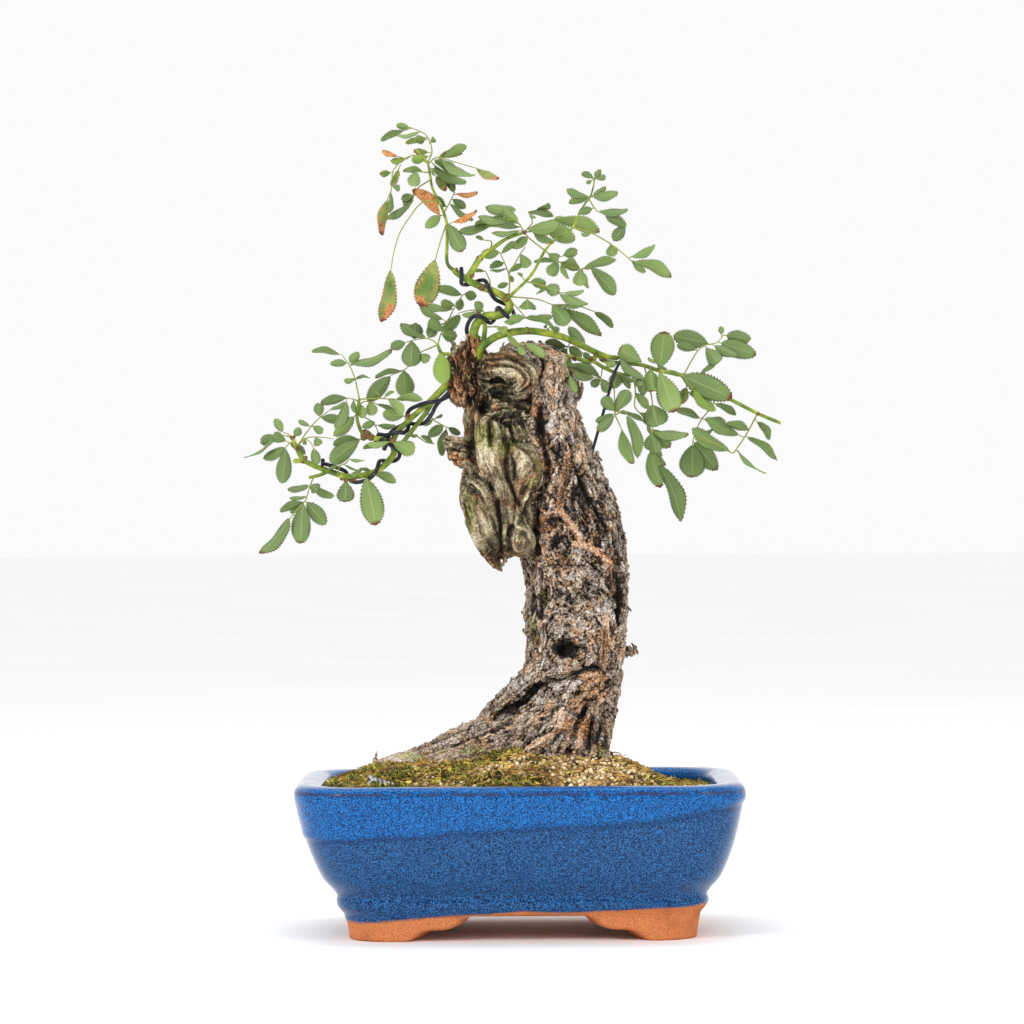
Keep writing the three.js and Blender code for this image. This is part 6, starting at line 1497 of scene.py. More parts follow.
def leafMaterial():
    material, tree, shader, where = newMaterial("leafBlade", **{"Specular IOR Level": 0.22})
    uv = addNode(tree, "ShaderNodeUVMap", uv_map="UVMap").outputs[0]
    parts = addNode(tree, "ShaderNodeSeparateXYZ", {0: uv})
    across = worked(tree, "ABSOLUTE", worked(tree, "SUBTRACT", parts.outputs[0], 0.5))
    fine = useGroup(tree, speckleGroup, place=where, size=0.01, fleck=0.0012)
    tone, under, stalk = attribute(tree, "tone"), attribute(tree, "under"), attribute(tree, "stalk")
    # a blade is palest towards its tip
    tone = worked(tree, "ADD", tone, spread(tree, parts.outputs[1], 0.1, 0.9, (-0.16, 0.14)), True)
    green = ramp(tree, tone, [(0.0, colour(0.015, 0.04, 0.004)), (0.3, colour(0.043, 0.1, 0.01)),
                              (0.6, colour(0.11, 0.2, 0.024)), (0.85, colour(0.21, 0.31, 0.055)), (1.0, colour(0.31, 0.4, 0.085))])
    green = mixed(tree, spread(tree, fine["blotch"], 0.35, 0.7, (0.0, 0.3)), green, colour(0.08, 0.145, 0.022))
    green = mixed(tree, worked(tree, "MULTIPLY", under, 0.6), green, colour(0.2, 0.28, 0.11))
    # the side veins run forward from the midrib
    midrib = spread(tree, across, 0.035, 0.01)
    run = worked(tree, "SUBTRACT", parts.outputs[1], worked(tree, "MULTIPLY", across, 0.3))
    count = worked(tree, "MULTIPLY", attribute(tree, "reach"), 0.62)
    wave = worked(tree, "FRACT", worked(tree, "MULTIPLY", run, count))
    side = spread(tree, worked(tree, "ABSOLUTE", worked(tree, "SUBTRACT", wave, 0.5)), 0.41, 0.5)
    veins = worked(tree, "MAXIMUM", midrib, worked(tree, "MULTIPLY", side, 0.55))
    green = mixed(tree, worked(tree, "MULTIPLY", veins, 0.6), green, colour(0.34, 0.42, 0.15))
    spots = spread(tree, fine["fleck"], 0.5, 0.58)
    straw = ramp(tree, fine["blotch"], [(0.35, colour(0.09, 0.16, 0.03)), (0.6, colour(0.25, 0.31, 0.08))])
    low = worked(tree, "ADD", parts.outputs[1], spread(tree, fine["blotch"], 0.3, 0.7, (-0.3, 0.3)))
    patch = worked(tree, "MAXIMUM", worked(tree, "MULTIPLY", spots, spread(tree, across, 0.15, 0.4)), spread(tree, low, 0.72, 0.8))
    patch = worked(tree, "MULTIPLY", patch, attribute(tree, "spots"))
    rusty = ramp(tree, fine["fleck"], [(0.4, colour(0.24, 0.07, 0.03)), (0.6, colour(0.62, 0.26, 0.09))])
    straw = mixed(tree, patch, straw, rusty)
    fresh = mixed(tree, attribute(tree, "spots"), colour(0.2, 0.31, 0.045), straw)
    green = mixed(tree, attribute(tree, "yellow"), green, fresh)
    dry = ramp(tree, fine["fleck"], [(0.4, colour(0.3, 0.09, 0.03)), (0.55, colour(0.62, 0.28, 0.09)), (0.66, colour(0.4, 0.3, 0.06))])
    green = mixed(tree, attribute(tree, "wither"), green, dry)
    rim = worked(tree, "MULTIPLY", spread(tree, across, 0.45, 0.5), attribute(tree, "rim"))
    green = mixed(tree, worked(tree, "MULTIPLY", rim, 0.75), green, colour(0.1, 0.035, 0.03))
    edgeBurn = worked(tree, "MULTIPLY", spread(tree, across, 0.44, 0.5), spread(tree, fine["blotch"], 0.52, 0.6))
    tipBurn = worked(tree, "MAXIMUM", spread(tree, parts.outputs[1], 0.88, 0.96), worked(tree, "MULTIPLY", edgeBurn, 0.8))
    green = mixed(tree, worked(tree, "MULTIPLY", tipBurn, attribute(tree, "burn")), green, colour(0.13, 0.035, 0.02))
    yellow = ramp(tree, fine["fleck"], [(0.3, colour(0.16, 0.2, 0.03)), (0.7, colour(0.36, 0.36, 0.07))])
    tree.links.new(mixed(tree, stalk, green, yellow), shader.inputs["Base Color"])
    tree.links.new(spread(tree, fine["fleck"], 0.3, 0.7, (0.5, 0.68)), shader.inputs["Roughness"])
    height = worked(tree, "SUBTRACT", worked(tree, "MULTIPLY", fine["fleck"], 0.3), veins)
    tree.links.new(bumped(tree, height, 0.4, 0.0002), shader.inputs["Normal"])
    return material


# Rows are x, z as they show from the front, depth y and radius
leftCaneRows = [
  [-26, 272.5, -2, 2], [-33, 268, -5, 2], [-36.5, 264, -6, 1.9], [-41, 259.4, -5, 1.7], [-47, 254, -4, 1.4],
  [-55, 246.8, -3, 1.35], [-60, 241, -3, 1.4], [-61.3, 236.5, -3, 1.5], [-60.8, 232.3, -3, 1.55],
  [-64, 227.5, -3, 1.6], [-70, 223, -4, 1.55], [-76, 221.2, -5, 1.5], [-84, 220.6, -6, 1.45],
  [-92, 223, -7, 1.4], [-100, 225.9, -8, 1.3], [-105, 228.2, -8, 1.25], [-109.3, 228.2, -8, 1.15],
]
leftTwigs = [
  [[-60.5, 238, -3, 1.4], [-66, 238.7, -3, 1.3], [-72, 239.8, -2, 1.4], [-76, 241, -2, 1.5]],
  [[-75.5, 240.5, -2, 1.1], [-77.5, 244, -2, 0.9], [-79, 250, -2, 0.8], [-77.8, 258.5, -2, 0.75]],
  [[-105, 228.6, -8, 1.5], [-108, 233.5, -8, 1.2], [-110.6, 239.5, -7, 1]],
  [[-40.4, 258.6, -3, 1.3], [-44.4, 253, -2.6, 1.2], [-48.6, 247.4, -3, 1.15], [-53.6, 241, -3.4, 1.1],
   [-57.6, 236, -3.4, 1.1], [-60.6, 232.4, -3.2, 1.1]],
  [[-93, 223, -7, 1], [-97, 221.4, -8, 0.9], [-102, 220.2, -9, 0.8]],
]
leftKnobs = [
  [-61.4, 237.4, -4, 2.3], [-74.8, 240.4, -2, 3], [-72.2, 239.4, -3, 2.2], [-105, 228.9, -8, 2],
  [-108, 234, -8, 1.6], [-110.6, 239.5, -7, 1.6], [-84.6, 218.6, -6.5, 1.4], [-82.2, 218.2, -6.5, 1.2], [-80.4, 219, -6, 1.1], [-86.4, 219.4, -6.5, 1], [-53.8, 250, -4, 1.8],
]
crownCaneRows = [
  [-21.5, 280, -4, 2.4], [-22, 287, -4, 2.3], [-21.6, 292, -5, 2.2], [-19.5, 296.6, -6, 2.15], [-15.5, 299.2, -7, 2.1],
  [-10, 299.7, -8, 2.1], [-5.4, 301.5, -8, 2.05], [-4.2, 305, -8, 2], [-7, 308.7, -8, 1.9], [-12, 311.4, -8, 1.8],
  [-18, 313.6, -8, 1.7], [-24, 316.6, -8, 1.7], [-28.6, 319.6, -8, 1.6], [-31, 321.3, -8, 1.4],
]
crownTwigs = [
  [
    [-30.4, 320.8, -8, 1.1], [-34.4, 324.6, -7, 0.85], [-34.8, 335, -5, 0.8], [-35, 345, -2, 0.75],
    [-38, 354, 1, 0.7], [-42, 362, 5, 0.65], [-43.2, 369, 8, 0.6], [-44.5, 374.5, 10, 0.55], [-49.8, 381, 12, 0.45],
  ],
  [
    [-25, 318, -8, 1.6], [-22, 322.3, -8, 1.6], [-18.6, 327.6, -8, 1.5], [-13, 332, -9, 1.05],
    [-6, 337, -10, 0.9], [3, 340.4, -11, 0.75],
  ],
  [
    [-5, 307, -9, 0.95], [-3, 310, -12, 0.8], [3, 315.6, -16, 0.72], [7.5, 321, -19, 0.7], [13, 331, -22, 0.66],
    [17, 335.8, -24, 0.62], [27, 343, -27, 0.6], [30.2, 350, -29, 0.56], [33, 354.6, -30, 0.5],
    [35.3, 357.6, -31, 0.46], [37, 363, -32, 0.4], [37.5, 367, -33, 0.36],
  ],
  [[-16.8, 298.3, -6.6, 1.1], [-16.2, 293.5, -4.6, 1.15], [-16.8, 288, -3, 1.25], [-17.5, 281, -2, 1.4]],
]
crownKnobs = [
  [-5.5, 307.8, -9, 2.4], [-18.6, 327.6, -8, 2], [-30.6, 321, -8, 1.9], [-19, 299.6, -6, 1.9],
  [-18, 313.2, -9, 1.9], [-22.6, 319.4, -8, 1.9], [3, 340.3, -11, 1.4], [16.6, 335.4, -23.6, 1.2],
]
rightCaneRows = [
  [-19, 279.5, -9, 2], [-18, 283.5, -11, 1.95], [-11.5, 288.8, -12, 1.9], [-4, 291.2, -12, 1.85], [5, 292, -10, 1.8],
  [14, 291, -8, 1.75], [22, 289, -6, 1.7], [30, 285.5, -5, 1.6], [38, 281.6, -4, 1.5], [44, 279.4, -4, 1.3],
  [48.4, 278.8, -4, 1.2],
]
rightTwigs = [
  [
    [38.5, 281, -4, 1.2], [42, 277.6, -3, 1.1], [51, 276.2, 0, 1.05], [60.8, 275.3, 2, 1.05], [69, 272.6, 4, 1],
    [81.3, 269.9, 8, 1], [92, 264.5, 13, 1], [105.4, 257.8, 20, 0.95], [117.5, 251.6, 26, 0.9], [128.2, 247, 31, 0.85],
  ],
  [
    [38.6, 281, -4, 1.3], [36, 277, -4, 1.05], [28, 278.8, -1, 1.1], [20, 280.3, 2, 1.1], [9, 279.5, 3, 1.2],
  ],
  [[36.6, 277, -4, 1], [44.6, 272.8, -7, 0.9], [51, 270.8, -9, 0.8], [56.6, 270.2, -10, 0.7]],
]
rightKnobs = [
  [38.6, 281.2, -4.2, 1.9], [36, 278, -4, 1.9], [28, 278.8, -1, 1.7], [5, 291.8, -10.4, 2.1], [41.6, 278, -3.4, 1.7],
  [117.6, 251.5, 26, 1.3], [81, 270, 8, 1.4], [68.8, 272.8, 4, 1.5],
]
topShootRows = [[-29, 279.5, -5, 1.3], [-34, 280.6, -7, 1], [-37.4, 281, -6, 0.9], [-39.4, 285.2, -3, 0.8]]
leftLeaves = [
  [[[-42.4, 250.4, -3], [-41.6, 248.6, 1], [-38.2, 246.4, 2], [-34, 244.4, 2]], [
    [-41.7, 248.2, -46, 245.8, 2.6, 4], [-40.6, 249.8, -37.2, 250.6, 1.3, 5], [-36.8, 245.6, -43.9, 240.4, 5, 5],
    [-35.6, 244, -37.9, 231, 4.6, 4], [-34.4, 244.4, -28.4, 241.4, 3.4, 5],
  ]],
  [[[-53, 241.8, -3], [-49, 240, 3], [-45, 237.4, 5], [-41, 236.6, 6]], [[-41.4, 236.8, -47.4, 240.6, 2.6, 3]]],
  [[[-110.6, 238, -7], [-112.6, 236.4, -6], [-113.8, 235, -5]], [
    [-114, 234.4, -124.5, 229.3, 5, 5], [-113.9, 234, -115.6, 217, 7.3, -3], [-111.4, 237, -104.5, 232, 3.6, 6],
    [-112.6, 239.4, -120.6, 241, 5.2, -5], [-112, 241.6, -107.2, 244.3, 4, 4],
  ]],
  [[[-110.6, 239.5, -7], [-113, 241.6, -6], [-115.2, 242.2, -5]], [[-115.4, 242.4, -119, 248.6, 4, 4]]],
  [[[-110.6, 239.5, -7], [-114, 240.6, -3], [-118, 240.8, 1]], [
    [-118.4, 240, -126, 237.2, 5.4, 3], [-118, 241.4, -132.8, 228, 2.4, -9],
  ]],
  [[[-107, 236, -8], [-101.6, 245, -4], [-97, 249.6, 1], [-92, 253.4, 5]], [
    [-102, 246, -107.6, 248.2, 2.4, 4], [-100.4, 245.4, -95.5, 242, 3.8, -3], [-97.5, 249.8, -98.2, 256.6, 5, 3],
    [-96.6, 249.4, -86.4, 248.4, 4.6, 4], [-93, 252.8, -85, 256.8, 2.4, 6],
  ]],
  [[[-107, 236.6, -8], [-104.6, 239.2, -10], [-98.6, 240, -12], [-90.6, 239.1, -13]], [
    [-99, 239.8, -97.4, 235.4, 4.2, -3], [-104, 239, -104.6, 235.8, 2, -3],
  ]],
  [[[-107.4, 236.4, -8], [-104, 238.8, -14], [-101.4, 236.8, -17], [-100, 234, -18]], [
    [-100, 234.3, -98.4, 225.9, 4.6, -4],
  ]],
  [[[-77.8, 258.4, -2], [-80, 268.5, 2], [-82.6, 275, 6], [-86.6, 280.6, 9]], [
    [-86.8, 280.8, -100.6, 283.2, 2.8, 6], [-84, 276.6, -92, 276, 3.6, 3], [-82, 276.4, -78.3, 281.2, 4.6, 5],
    [-82.2, 275, -61.6, 281, 4.8, 8], [-80, 268.6, -85.6, 267, 2.8, -4], [-79.8, 269, -72.4, 270, 1.8, -6],
  ]],
  [[[-77.8, 258.2, -2], [-70.4, 258.9, -6], [-64, 258.7, -9], [-59.6, 258.6, -10]], [
    [-66, 260.2, -60.8, 263, 2, -3], [-66.6, 260.2, -70.2, 263.2, 1.6, -3], [-63.4, 258.4, -55.2, 250.8, 5.2, -7],
    [-60, 259.2, -46.6, 259.6, 4, -2],
  ]],
  [[[-78, 257.4, -2], [-81, 258.6, -5], [-83.6, 259.2, -7]], [
    [-83.5, 259.3, -97, 256.8, 4.5, -4], [-84, 257, -88.6, 243.6, 5.8, -8], [-80.6, 258, -80.2, 251.4, 2.6, -3],
  ]],
  [[[-78.4, 255, -2], [-75.4, 257.4, 3], [-73, 257.4, 5]], [
    [-77, 256, -76, 249, 4.4, -3], [-73, 257, -71, 250.4, 5.6, -2],
  ]],
  [[[-73, 257.4, 5], [-70, 256.4, 8]], [[-69.4, 255.6, -61, 253, 2.2, 4]]],
  [[[-79, 250.6, -2], [-76, 250, 3], [-70.6, 246.6, 6], [-68, 240.4, 5]], [
    [-69.4, 246.8, -60.2, 245.2, 2.6, 3],
  ]],
  [[[-77.5, 244, -2], [-76.8, 244.6, -5]], [[-76.6, 244.6, -70.4, 247.2, 3.6, 4]]],
  [[[-78.6, 252, -2], [-80, 250.4, 2]], [[-79.5, 250, -90, 240.6, 6, 4]]],
  [[[-76, 240.2, -2], [-77.6, 238.4, -6]], [
    [-77.4, 238, -93, 227.4, 8.4, -9], [-77.8, 239.2, -90.4, 237, 5, 4],
  ]],
  [[[-53.8, 250, -4], [-56, 250.4, -9]], [[-55, 250.4, -66.8, 251.4, 6, -5]]],
  [[[-61.4, 237.2, -4], [-63, 237.6, -10.6]], [
    [-61.4, 237.8, -50.3, 232.9, 7.4, -8], [-63.6, 237.6, -74, 236, 3.4, -5],
  ]],
  [[[-60, 240.6, -2], [-58, 241.6, 6], [-54, 240.8, 7]], [[-54.4, 240.9, -49.4, 240.7, 1.6, 3]]],
  [[[-66, 238.6, -3], [-65.6, 237, 3], [-66.8, 236, 8]], [[-68, 236.2, -76, 235, 2.6, 3], [-67.8, 236, -65, 233.6, 2.4, 2]]],
  [[[-84, 219, -6.5], [-84.4, 218, -8]], [[-84.4, 218.2, -84.8, 207.8, 8.4, -3, 1]]],
  [[[-74, 221.6, -5], [-74.4, 219.8, -9]], [[-74.4, 219.8, -69.4, 196.2, 11, -6, 1]]],
  [[[-71, 222.6, -4], [-70.6, 221.6, -9]], [[-70.6, 223, -60, 218.3, 4.4, 5], [-70.4, 223.6, -78, 224.4, 2, 2]]],
  [[[-82.6, 220.8, -6], [-83, 222, -10]], [[-83, 221, -76.6, 223.2, 2.6, -2]]],
  [[[-87, 221, -6.4], [-88.4, 222.4, -11], [-87, 226, -13], [-84.4, 227.1, -13]], [
    [-85.4, 226.8, -77, 222.8, 1.2, 2], [-88.2, 226.6, -93.2, 224.4, 1.8, -2],
  ]],
  [[[-84.4, 227.1, -13], [-82.8, 229.2, -13]], [[-82.6, 229.5, -75.2, 228.1, 1.6, -3]]],
  [[[-100, 220.4, -9], [-102, 216, -12], [-104.4, 208.8, -16], [-108.5, 204, -19], [-111.4, 200.6, -21]], [
    [-102.6, 215.8, -112.8, 214, 3.4, 5], [-101.8, 216.4, -98, 213.6, 5.4, -4], [-100.6, 215.8, -90.8, 210.4, 4, 4],
    [-104, 210.6, -112, 209.8, 2, 4], [-104.8, 208.4, -117, 204, 4, -2], [-103.4, 208.4, -94.4, 197.2, 7.2, 5],
    [-105, 207.6, -107, 187, 9, -7], [-106, 207, -111.6, 203, 2.6, 4], [-111.2, 201.6, -125.4, 181.4, 6.6, -4, 1],
  ]],
]
topShootLeaves = [
  [[[-37.4, 281, -6], [-38, 281.4, -10]], [[-38.2, 281.2, -36.4, 265.8, 8.8, -5, 4]]],
  [[[-38.4, 283, -5], [-40.4, 286.2, -2], [-44, 288.2, 1], [-50, 287.8, 3], [-55, 286.4, 4]], [
    [-45, 289, -57.5, 295, 4.8, 8], [-44, 288.8, -40.4, 295.6, 5.4, 6], [-50.8, 288, -50, 295.6, 7.2, 5],
    [-54.8, 286.4, -62.4, 284, 4.8, 3], [-52, 287, -52.6, 274.2, 9.4, -5],
  ]],
  [[[-39.6, 285.2, -3], [-43, 283.6, 0], [-48.6, 281, 3], [-53.4, 275, 6], [-56, 272.8, 8], [-62.4, 270.2, 9]], [
    [-48.2, 280.4, -43.6, 277, 4.8, -4], [-56.4, 273.6, -70, 270.6, 2.8, 5], [-56, 272.6, -55, 259.4, 9, 4],
    [-62.6, 270, -73.6, 257.6, 7.2, 5],
  ]],
  [[[-39.4, 285.2, -3], [-37.6, 291, 3], [-33, 299.6, 6], [-31.4, 303, 7], [-28, 308.4, 8], [-26.6, 310, 8]], [
    [-37.5, 290.6, -30, 289.4, 6.2, 3], [-37, 292, -44, 297.4, 6, -6], [-37, 291.4, -28.6, 299.2, 5.6, 7], [-37, 298, -49.6, 304.8, 4, -2],
    [-32, 303, -46.2, 304.4, 3.8, 6], [-37, 297.8, -44, 293, 2, 5], [-27, 310, -40, 313.2, 4.6, 3], [-30, 304, -38.4, 306, 4.2, -4],
    [-28.4, 308.8, -29, 302.4, 4.2, 5], [-26.6, 310.4, -20.6, 309, 4.8, 4],
  ]],
]
crownLeaves = [
  # Tall twig
  [[[-44.4, 374.5, 10], [-42.2, 380, 13], [-45, 388, 16], [-53.4, 392, 18]], [
    [-53.6, 392, -59.6, 393, 3.4, 3], [-54.9, 388.7, -67.4, 386.2, 3, 4], [-49, 390, -60, 386.8, 2.8, -6],
    [-46, 388.6, -51, 386, 3, -5], [-45.4, 388.4, -49, 384.6, 3, 6], [-43.6, 385, -40.6, 386.4, 3, -3],
    [-47, 386, -55, 384.4, 2.6, 5, 4], [-44, 381, -51, 380.4, 3.4, 6, 2], [-43.6, 379, -52.4, 375.4, 4.4, -4, 4],
  ]],
  [[[-44.2, 374, 10], [-40, 377, 6], [-30, 374.6, 2], [-21, 372, 0]], [
    [-40, 378.4, -28, 379.8, 3.4, 8, 2], [-39, 378, -22, 366, 5, -8], [-41, 376.4, -30, 369.6, 4.6, 9],
    [-42, 374, -31.6, 363.6, 3.6, 7], [-20.4, 372.2, -9.4, 366, 4, -5, 2], [-37, 378, -26, 383, 4.6, 6],
  ]],
  [[[-43.4, 371, 9], [-43.2, 372, 5]], [[-43, 372, -26, 364, 5, 8], [-37.4, 369, -35.4, 361, 4.2, 8, 2], [-46.4, 371.2, -41, 369, 2.6, -4]]],
  [[[-44.4, 374.4, 10], [-52, 378, 14], [-61, 371, 16], [-62, 362, 15], [-64, 356.6, 14]], [
    [-54.6, 379, -62, 375, 3.4, 5, 4], [-59.6, 384, -66.6, 380, 2.6, 6, 3], [-56, 371.2, -61.6, 363.3, 3.6, 5, 2], [-60.6, 371.6, -67.4, 369, 3.4, 4, 2], [-62, 364, -57.4, 361.4, 3, -5],
    [-64, 358, -67.5, 339, 4.6, -4, 2], [-60.4, 361.4, -63, 350, 3, 6],
  ]],
  [[[-43.4, 369.4, 8], [-49.6, 370.2, 2]], [[-49.8, 370, -52.2, 362.6, 6, -4], [-46, 371, -56.6, 371.8, 3.2, -6]]],
  [[[-42.6, 366, 7], [-50, 361, 14], [-52, 355, 16]], [
    [-51, 359.6, -57, 356.6, 4, 4], [-52.4, 362, -55.7, 354, 4.6, 6], [-52, 354.8, -64, 346.4, 4, 6],
  ]],
  [[[-39.2, 356, 2], [-47, 355, -2], [-53, 348, -6], [-58, 340, -9], [-61, 330, -11], [-62.4, 321.4, -12]], [
    [-62.5, 321.4, -66, 296, 8, -3, 2],
  ]],
  [[[-35.8, 348, -1], [-38, 348.8, 5]], [[-37.4, 348.8, -50, 362, 5.4, 7, 3], [-38, 348.4, -45, 343, 5, 6]]],
  [[[-35, 345.6, -2], [-38, 336, -7], [-40.4, 327.4, -9]], [[-40.8, 327, -47.4, 303.6, 11.6, -3, 2]]],
  [[[-34.9, 344, -2.4], [-33.8, 344.6, -7]], [[-34, 344.4, -27, 330.4, 7.6, -6], [-34, 346.4, -19.6, 350.2, 3.6, -5, 3]]],
  [[[-36.4, 349.6, 0], [-33, 356, 8], [-31, 360, 11]], [
    [-31, 359.6, -20, 359, 3, 5, 3], [-35, 353, -42, 358, 3.4, 6], [-31, 360, -33.4, 366, 3.4, 3],
    [-32.4, 357.6, -26, 352.4, 4, 6], [-30.8, 360, -38, 369.6, 2.6, 8], [-34, 354.6, -22.6, 346, 3.4, 9],
  ]],
  # Middle twig
  [[[3, 340.3, -11], [1, 344, -9], [-3, 349, -6], [-1, 351.6, -4]], [
    [1.4, 342.4, -20.4, 346, 4.8, 8], [-13.2, 341.7, -28.2, 339.2, 5, 3], [-4, 344.2, -19.9, 346.4, 5, -4], [1, 340, -13, 339.4, 3, -3],
    [0.4, 343, -7, 351.4, 5, 4], [-1.4, 351.4, -15.4, 352, 5.6, 8], [-7, 348.6, -11.6, 347.6, 2, 4],
  ]],
  [[[3, 340.5, -11], [7, 345.4, -9], [5, 350.4, -7]], [
    [-1, 352.2, 15.4, 352.6, 3.2, 7], [5.6, 350.8, 17, 348.6, 2.8, 9], [3.6, 349.2, 8.4, 347, 2, -4],
    [3.4, 341.4, 20.6, 344, 6.6, -2],
  ]],
  [[[3, 340.3, -11], [9, 341.4, -7], [15, 346, -2], [19, 346.8, 1]], [
    [13, 343, 27.6, 336.4, 8.4, 3], [15, 348.6, 22, 347.2, 3.4, 5], [19, 346.6, 40, 341.4, 6.6, 6],
    [7, 340.6, 17, 335, 4.2, 3],
  ]],
  [[[3, 340.2, -11], [5.4, 337.6, -9], [13, 331.6, -6], [20, 326, -4], [25, 323.8, -3], [30, 322.4, -2], [36, 323, 0]], [
    [5, 338, -2, 332.6, 4.6, 5], [21.6, 331, 28.8, 331.4, 4.8, 5], [21.6, 328, 29, 326, 3.6, -5],
    [15, 330.6, 20, 326.6, 4.8, -6], [20.6, 326.2, 30, 322.6, 4.4, 5], [21, 325.4, 24.4, 317.2, 2.8, -4],
    [20, 325.6, 15, 319.2, 6, -4], [30.5, 322.6, 30.5, 313.6, 7, -5], [31.6, 323.6, 47.6, 327.6, 4, 6],
    [36, 323, 48.2, 310, 6.8, -5], [19.4, 326, 8, 326.2, 2.4, 5], [32, 318, 34, 312.8, 2, 3],
  ]],
  [[[-14, 331.4, -9], [-13, 335.8, -5], [-16.4, 336.6, -3]], [[-16.4, 336.4, -20.6, 338.2, 2, 3]]],
  # Inner stalks over the crown cane
  [[[-4.6, 308.4, -9], [-4.2, 318, -5], [-6, 324, -3], [-9, 330.6, -2]], [
    [-4, 320.8, 2, 324.2, 3, 5], [-4.2, 319.6, -2.4, 316.2, 2.6, 3], [-4.2, 315, -9.8, 313.6, 2.8, 3],
    [-9, 330.4, -18, 329.4, 5, 4], [-8, 330, 0.6, 336, 3.4, -4], [-6.4, 325.6, -13.6, 323.4, 3.4, 5],
    [-5.4, 322, -14, 321.2, 1.6, -5],
  ]],
  [[[-4.2, 320, -5], [1, 329.4, -4], [3.4, 333, -2]], [[1.2, 329.4, 5, 322.8, 5.4, -4]]],
  [[[-13.6, 312.2, -8], [-14, 317, -3], [-16, 321.4, -1]], [[-15.6, 321.2, -21, 321.4, 1.6, 3]]],
  [[[-15, 301, -7], [-18, 302, -3], [-25, 301.9, 1], [-29.4, 300.6, 3]], [
    [-17.6, 301.4, -27.6, 299.4, 3.2, -1], [-13, 302.6, -20.6, 306, 4.4, 5],
  ]],
  [[[-15.4, 294, -5], [-13, 294, -11], [-9, 294, -17], [-4, 290, -20], [0, 284.6, -23]], [
    [-11.4, 295.6, -5, 291.4, 4.4, -4], [-5, 291.6, 0.4, 284, 3.2, -3], [-0.4, 284.8, 3.4, 280.2, 3.8, -3],
  ]],
  [[[0, 285, -23], [2.6, 286, -25], [4, 285.6, -26]], [[3.6, 285.3, 14, 279.4, 4.6, -2]]],
  # Front shoot
  [[[37, 363, -32], [37.5, 366.6, -33]], [
    [37.2, 367, 31, 370, 3, -4], [37.6, 367.4, 40.4, 371, 3, 3], [38, 366.6, 43.4, 367.6, 2.8, -3],
    [37, 364.6, 33.6, 364.4, 2, 3],
  ]],
  [[[35.2, 357.4, -31], [35, 357.6, -34]], [
    [34.6, 358.4, 23.4, 360.6, 4.2, -5], [34.4, 357, 25, 355, 3.8, 4], [36, 359.4, 43, 362, 3, 5],
    [37, 357.4, 49.6, 359, 5, -5],
  ]],
  [[[35, 356.8, -31], [38.6, 351, -34], [43, 349.2, -36]], [
    [38, 351, 30, 350, 3.8, 4], [40, 350.6, 54.2, 350.2, 4.2, -4], [42.4, 349, 53, 343.4, 5, 4],
  ]],
  [[[43, 349.2, -36], [49, 348, -32], [53, 344.4, -30]], [[53.2, 343.6, 46.8, 336.4, 5.6, 3]]],
  [[[27, 343, -27], [36, 340, -31], [45, 335, -34], [50, 331.2, -36], [55.4, 326.6, -38]], [
    [36, 340.4, 30.8, 339, 2.4, -3], [46, 334.6, 46.8, 328.6, 5.6, 4], [55.8, 328, 68, 333, 4, -5],
    [55.4, 326, 62.4, 320.8, 3.6, 5], [57, 327, 76.2, 320, 5.2, -3],
  ]],
  [[[3.4, 316, -16], [13, 314, -20], [19, 310.8, -23]], [
    [4, 319.6, 0.2, 321, 1.8, -4], [3.6, 319.4, 13.4, 315.4, 4.8, 5], [12, 317.2, 20.6, 311, 6, -5],
    [8, 315.2, 14, 312.4, 2.8, 5], [20.6, 311, 33, 304, 4.6, -4], [22.6, 311.4, 32, 310.4, 2.6, 5],
    [15.4, 312, 8.6, 310.6, 1.6, -4],
  ]],
  [[[-4.4, 308.2, -11], [10, 307.4, -15], [17, 304.8, -18]], [
    [5.4, 308.2, 4.6, 302.2, 8, -4], [17, 305, 25, 294.6, 8.4, -6], [19, 305.8, 41.6, 290.4, 5.2, 3],
    [20, 306, 34, 303.4, 1.4, 5],
  ]],
  [[[17, 304.8, -18], [28, 304.6, -14], [37.4, 301.6, -11]], [[37.6, 301.2, 47, 294.4, 3.6, 3]]],
  [[[-3.6, 306.6, -10], [0.4, 302.4, -14], [4, 298.4, -17]], [
    [4, 298.6, 18.6, 295.2, 3, -5], [8, 297.4, 16.6, 298.6, 3.6, 5], [3.4, 298.4, -4.6, 297.4, 4.4, -3],
    [5, 297.4, -6.6, 296, 2.6, 5],
  ]],
]
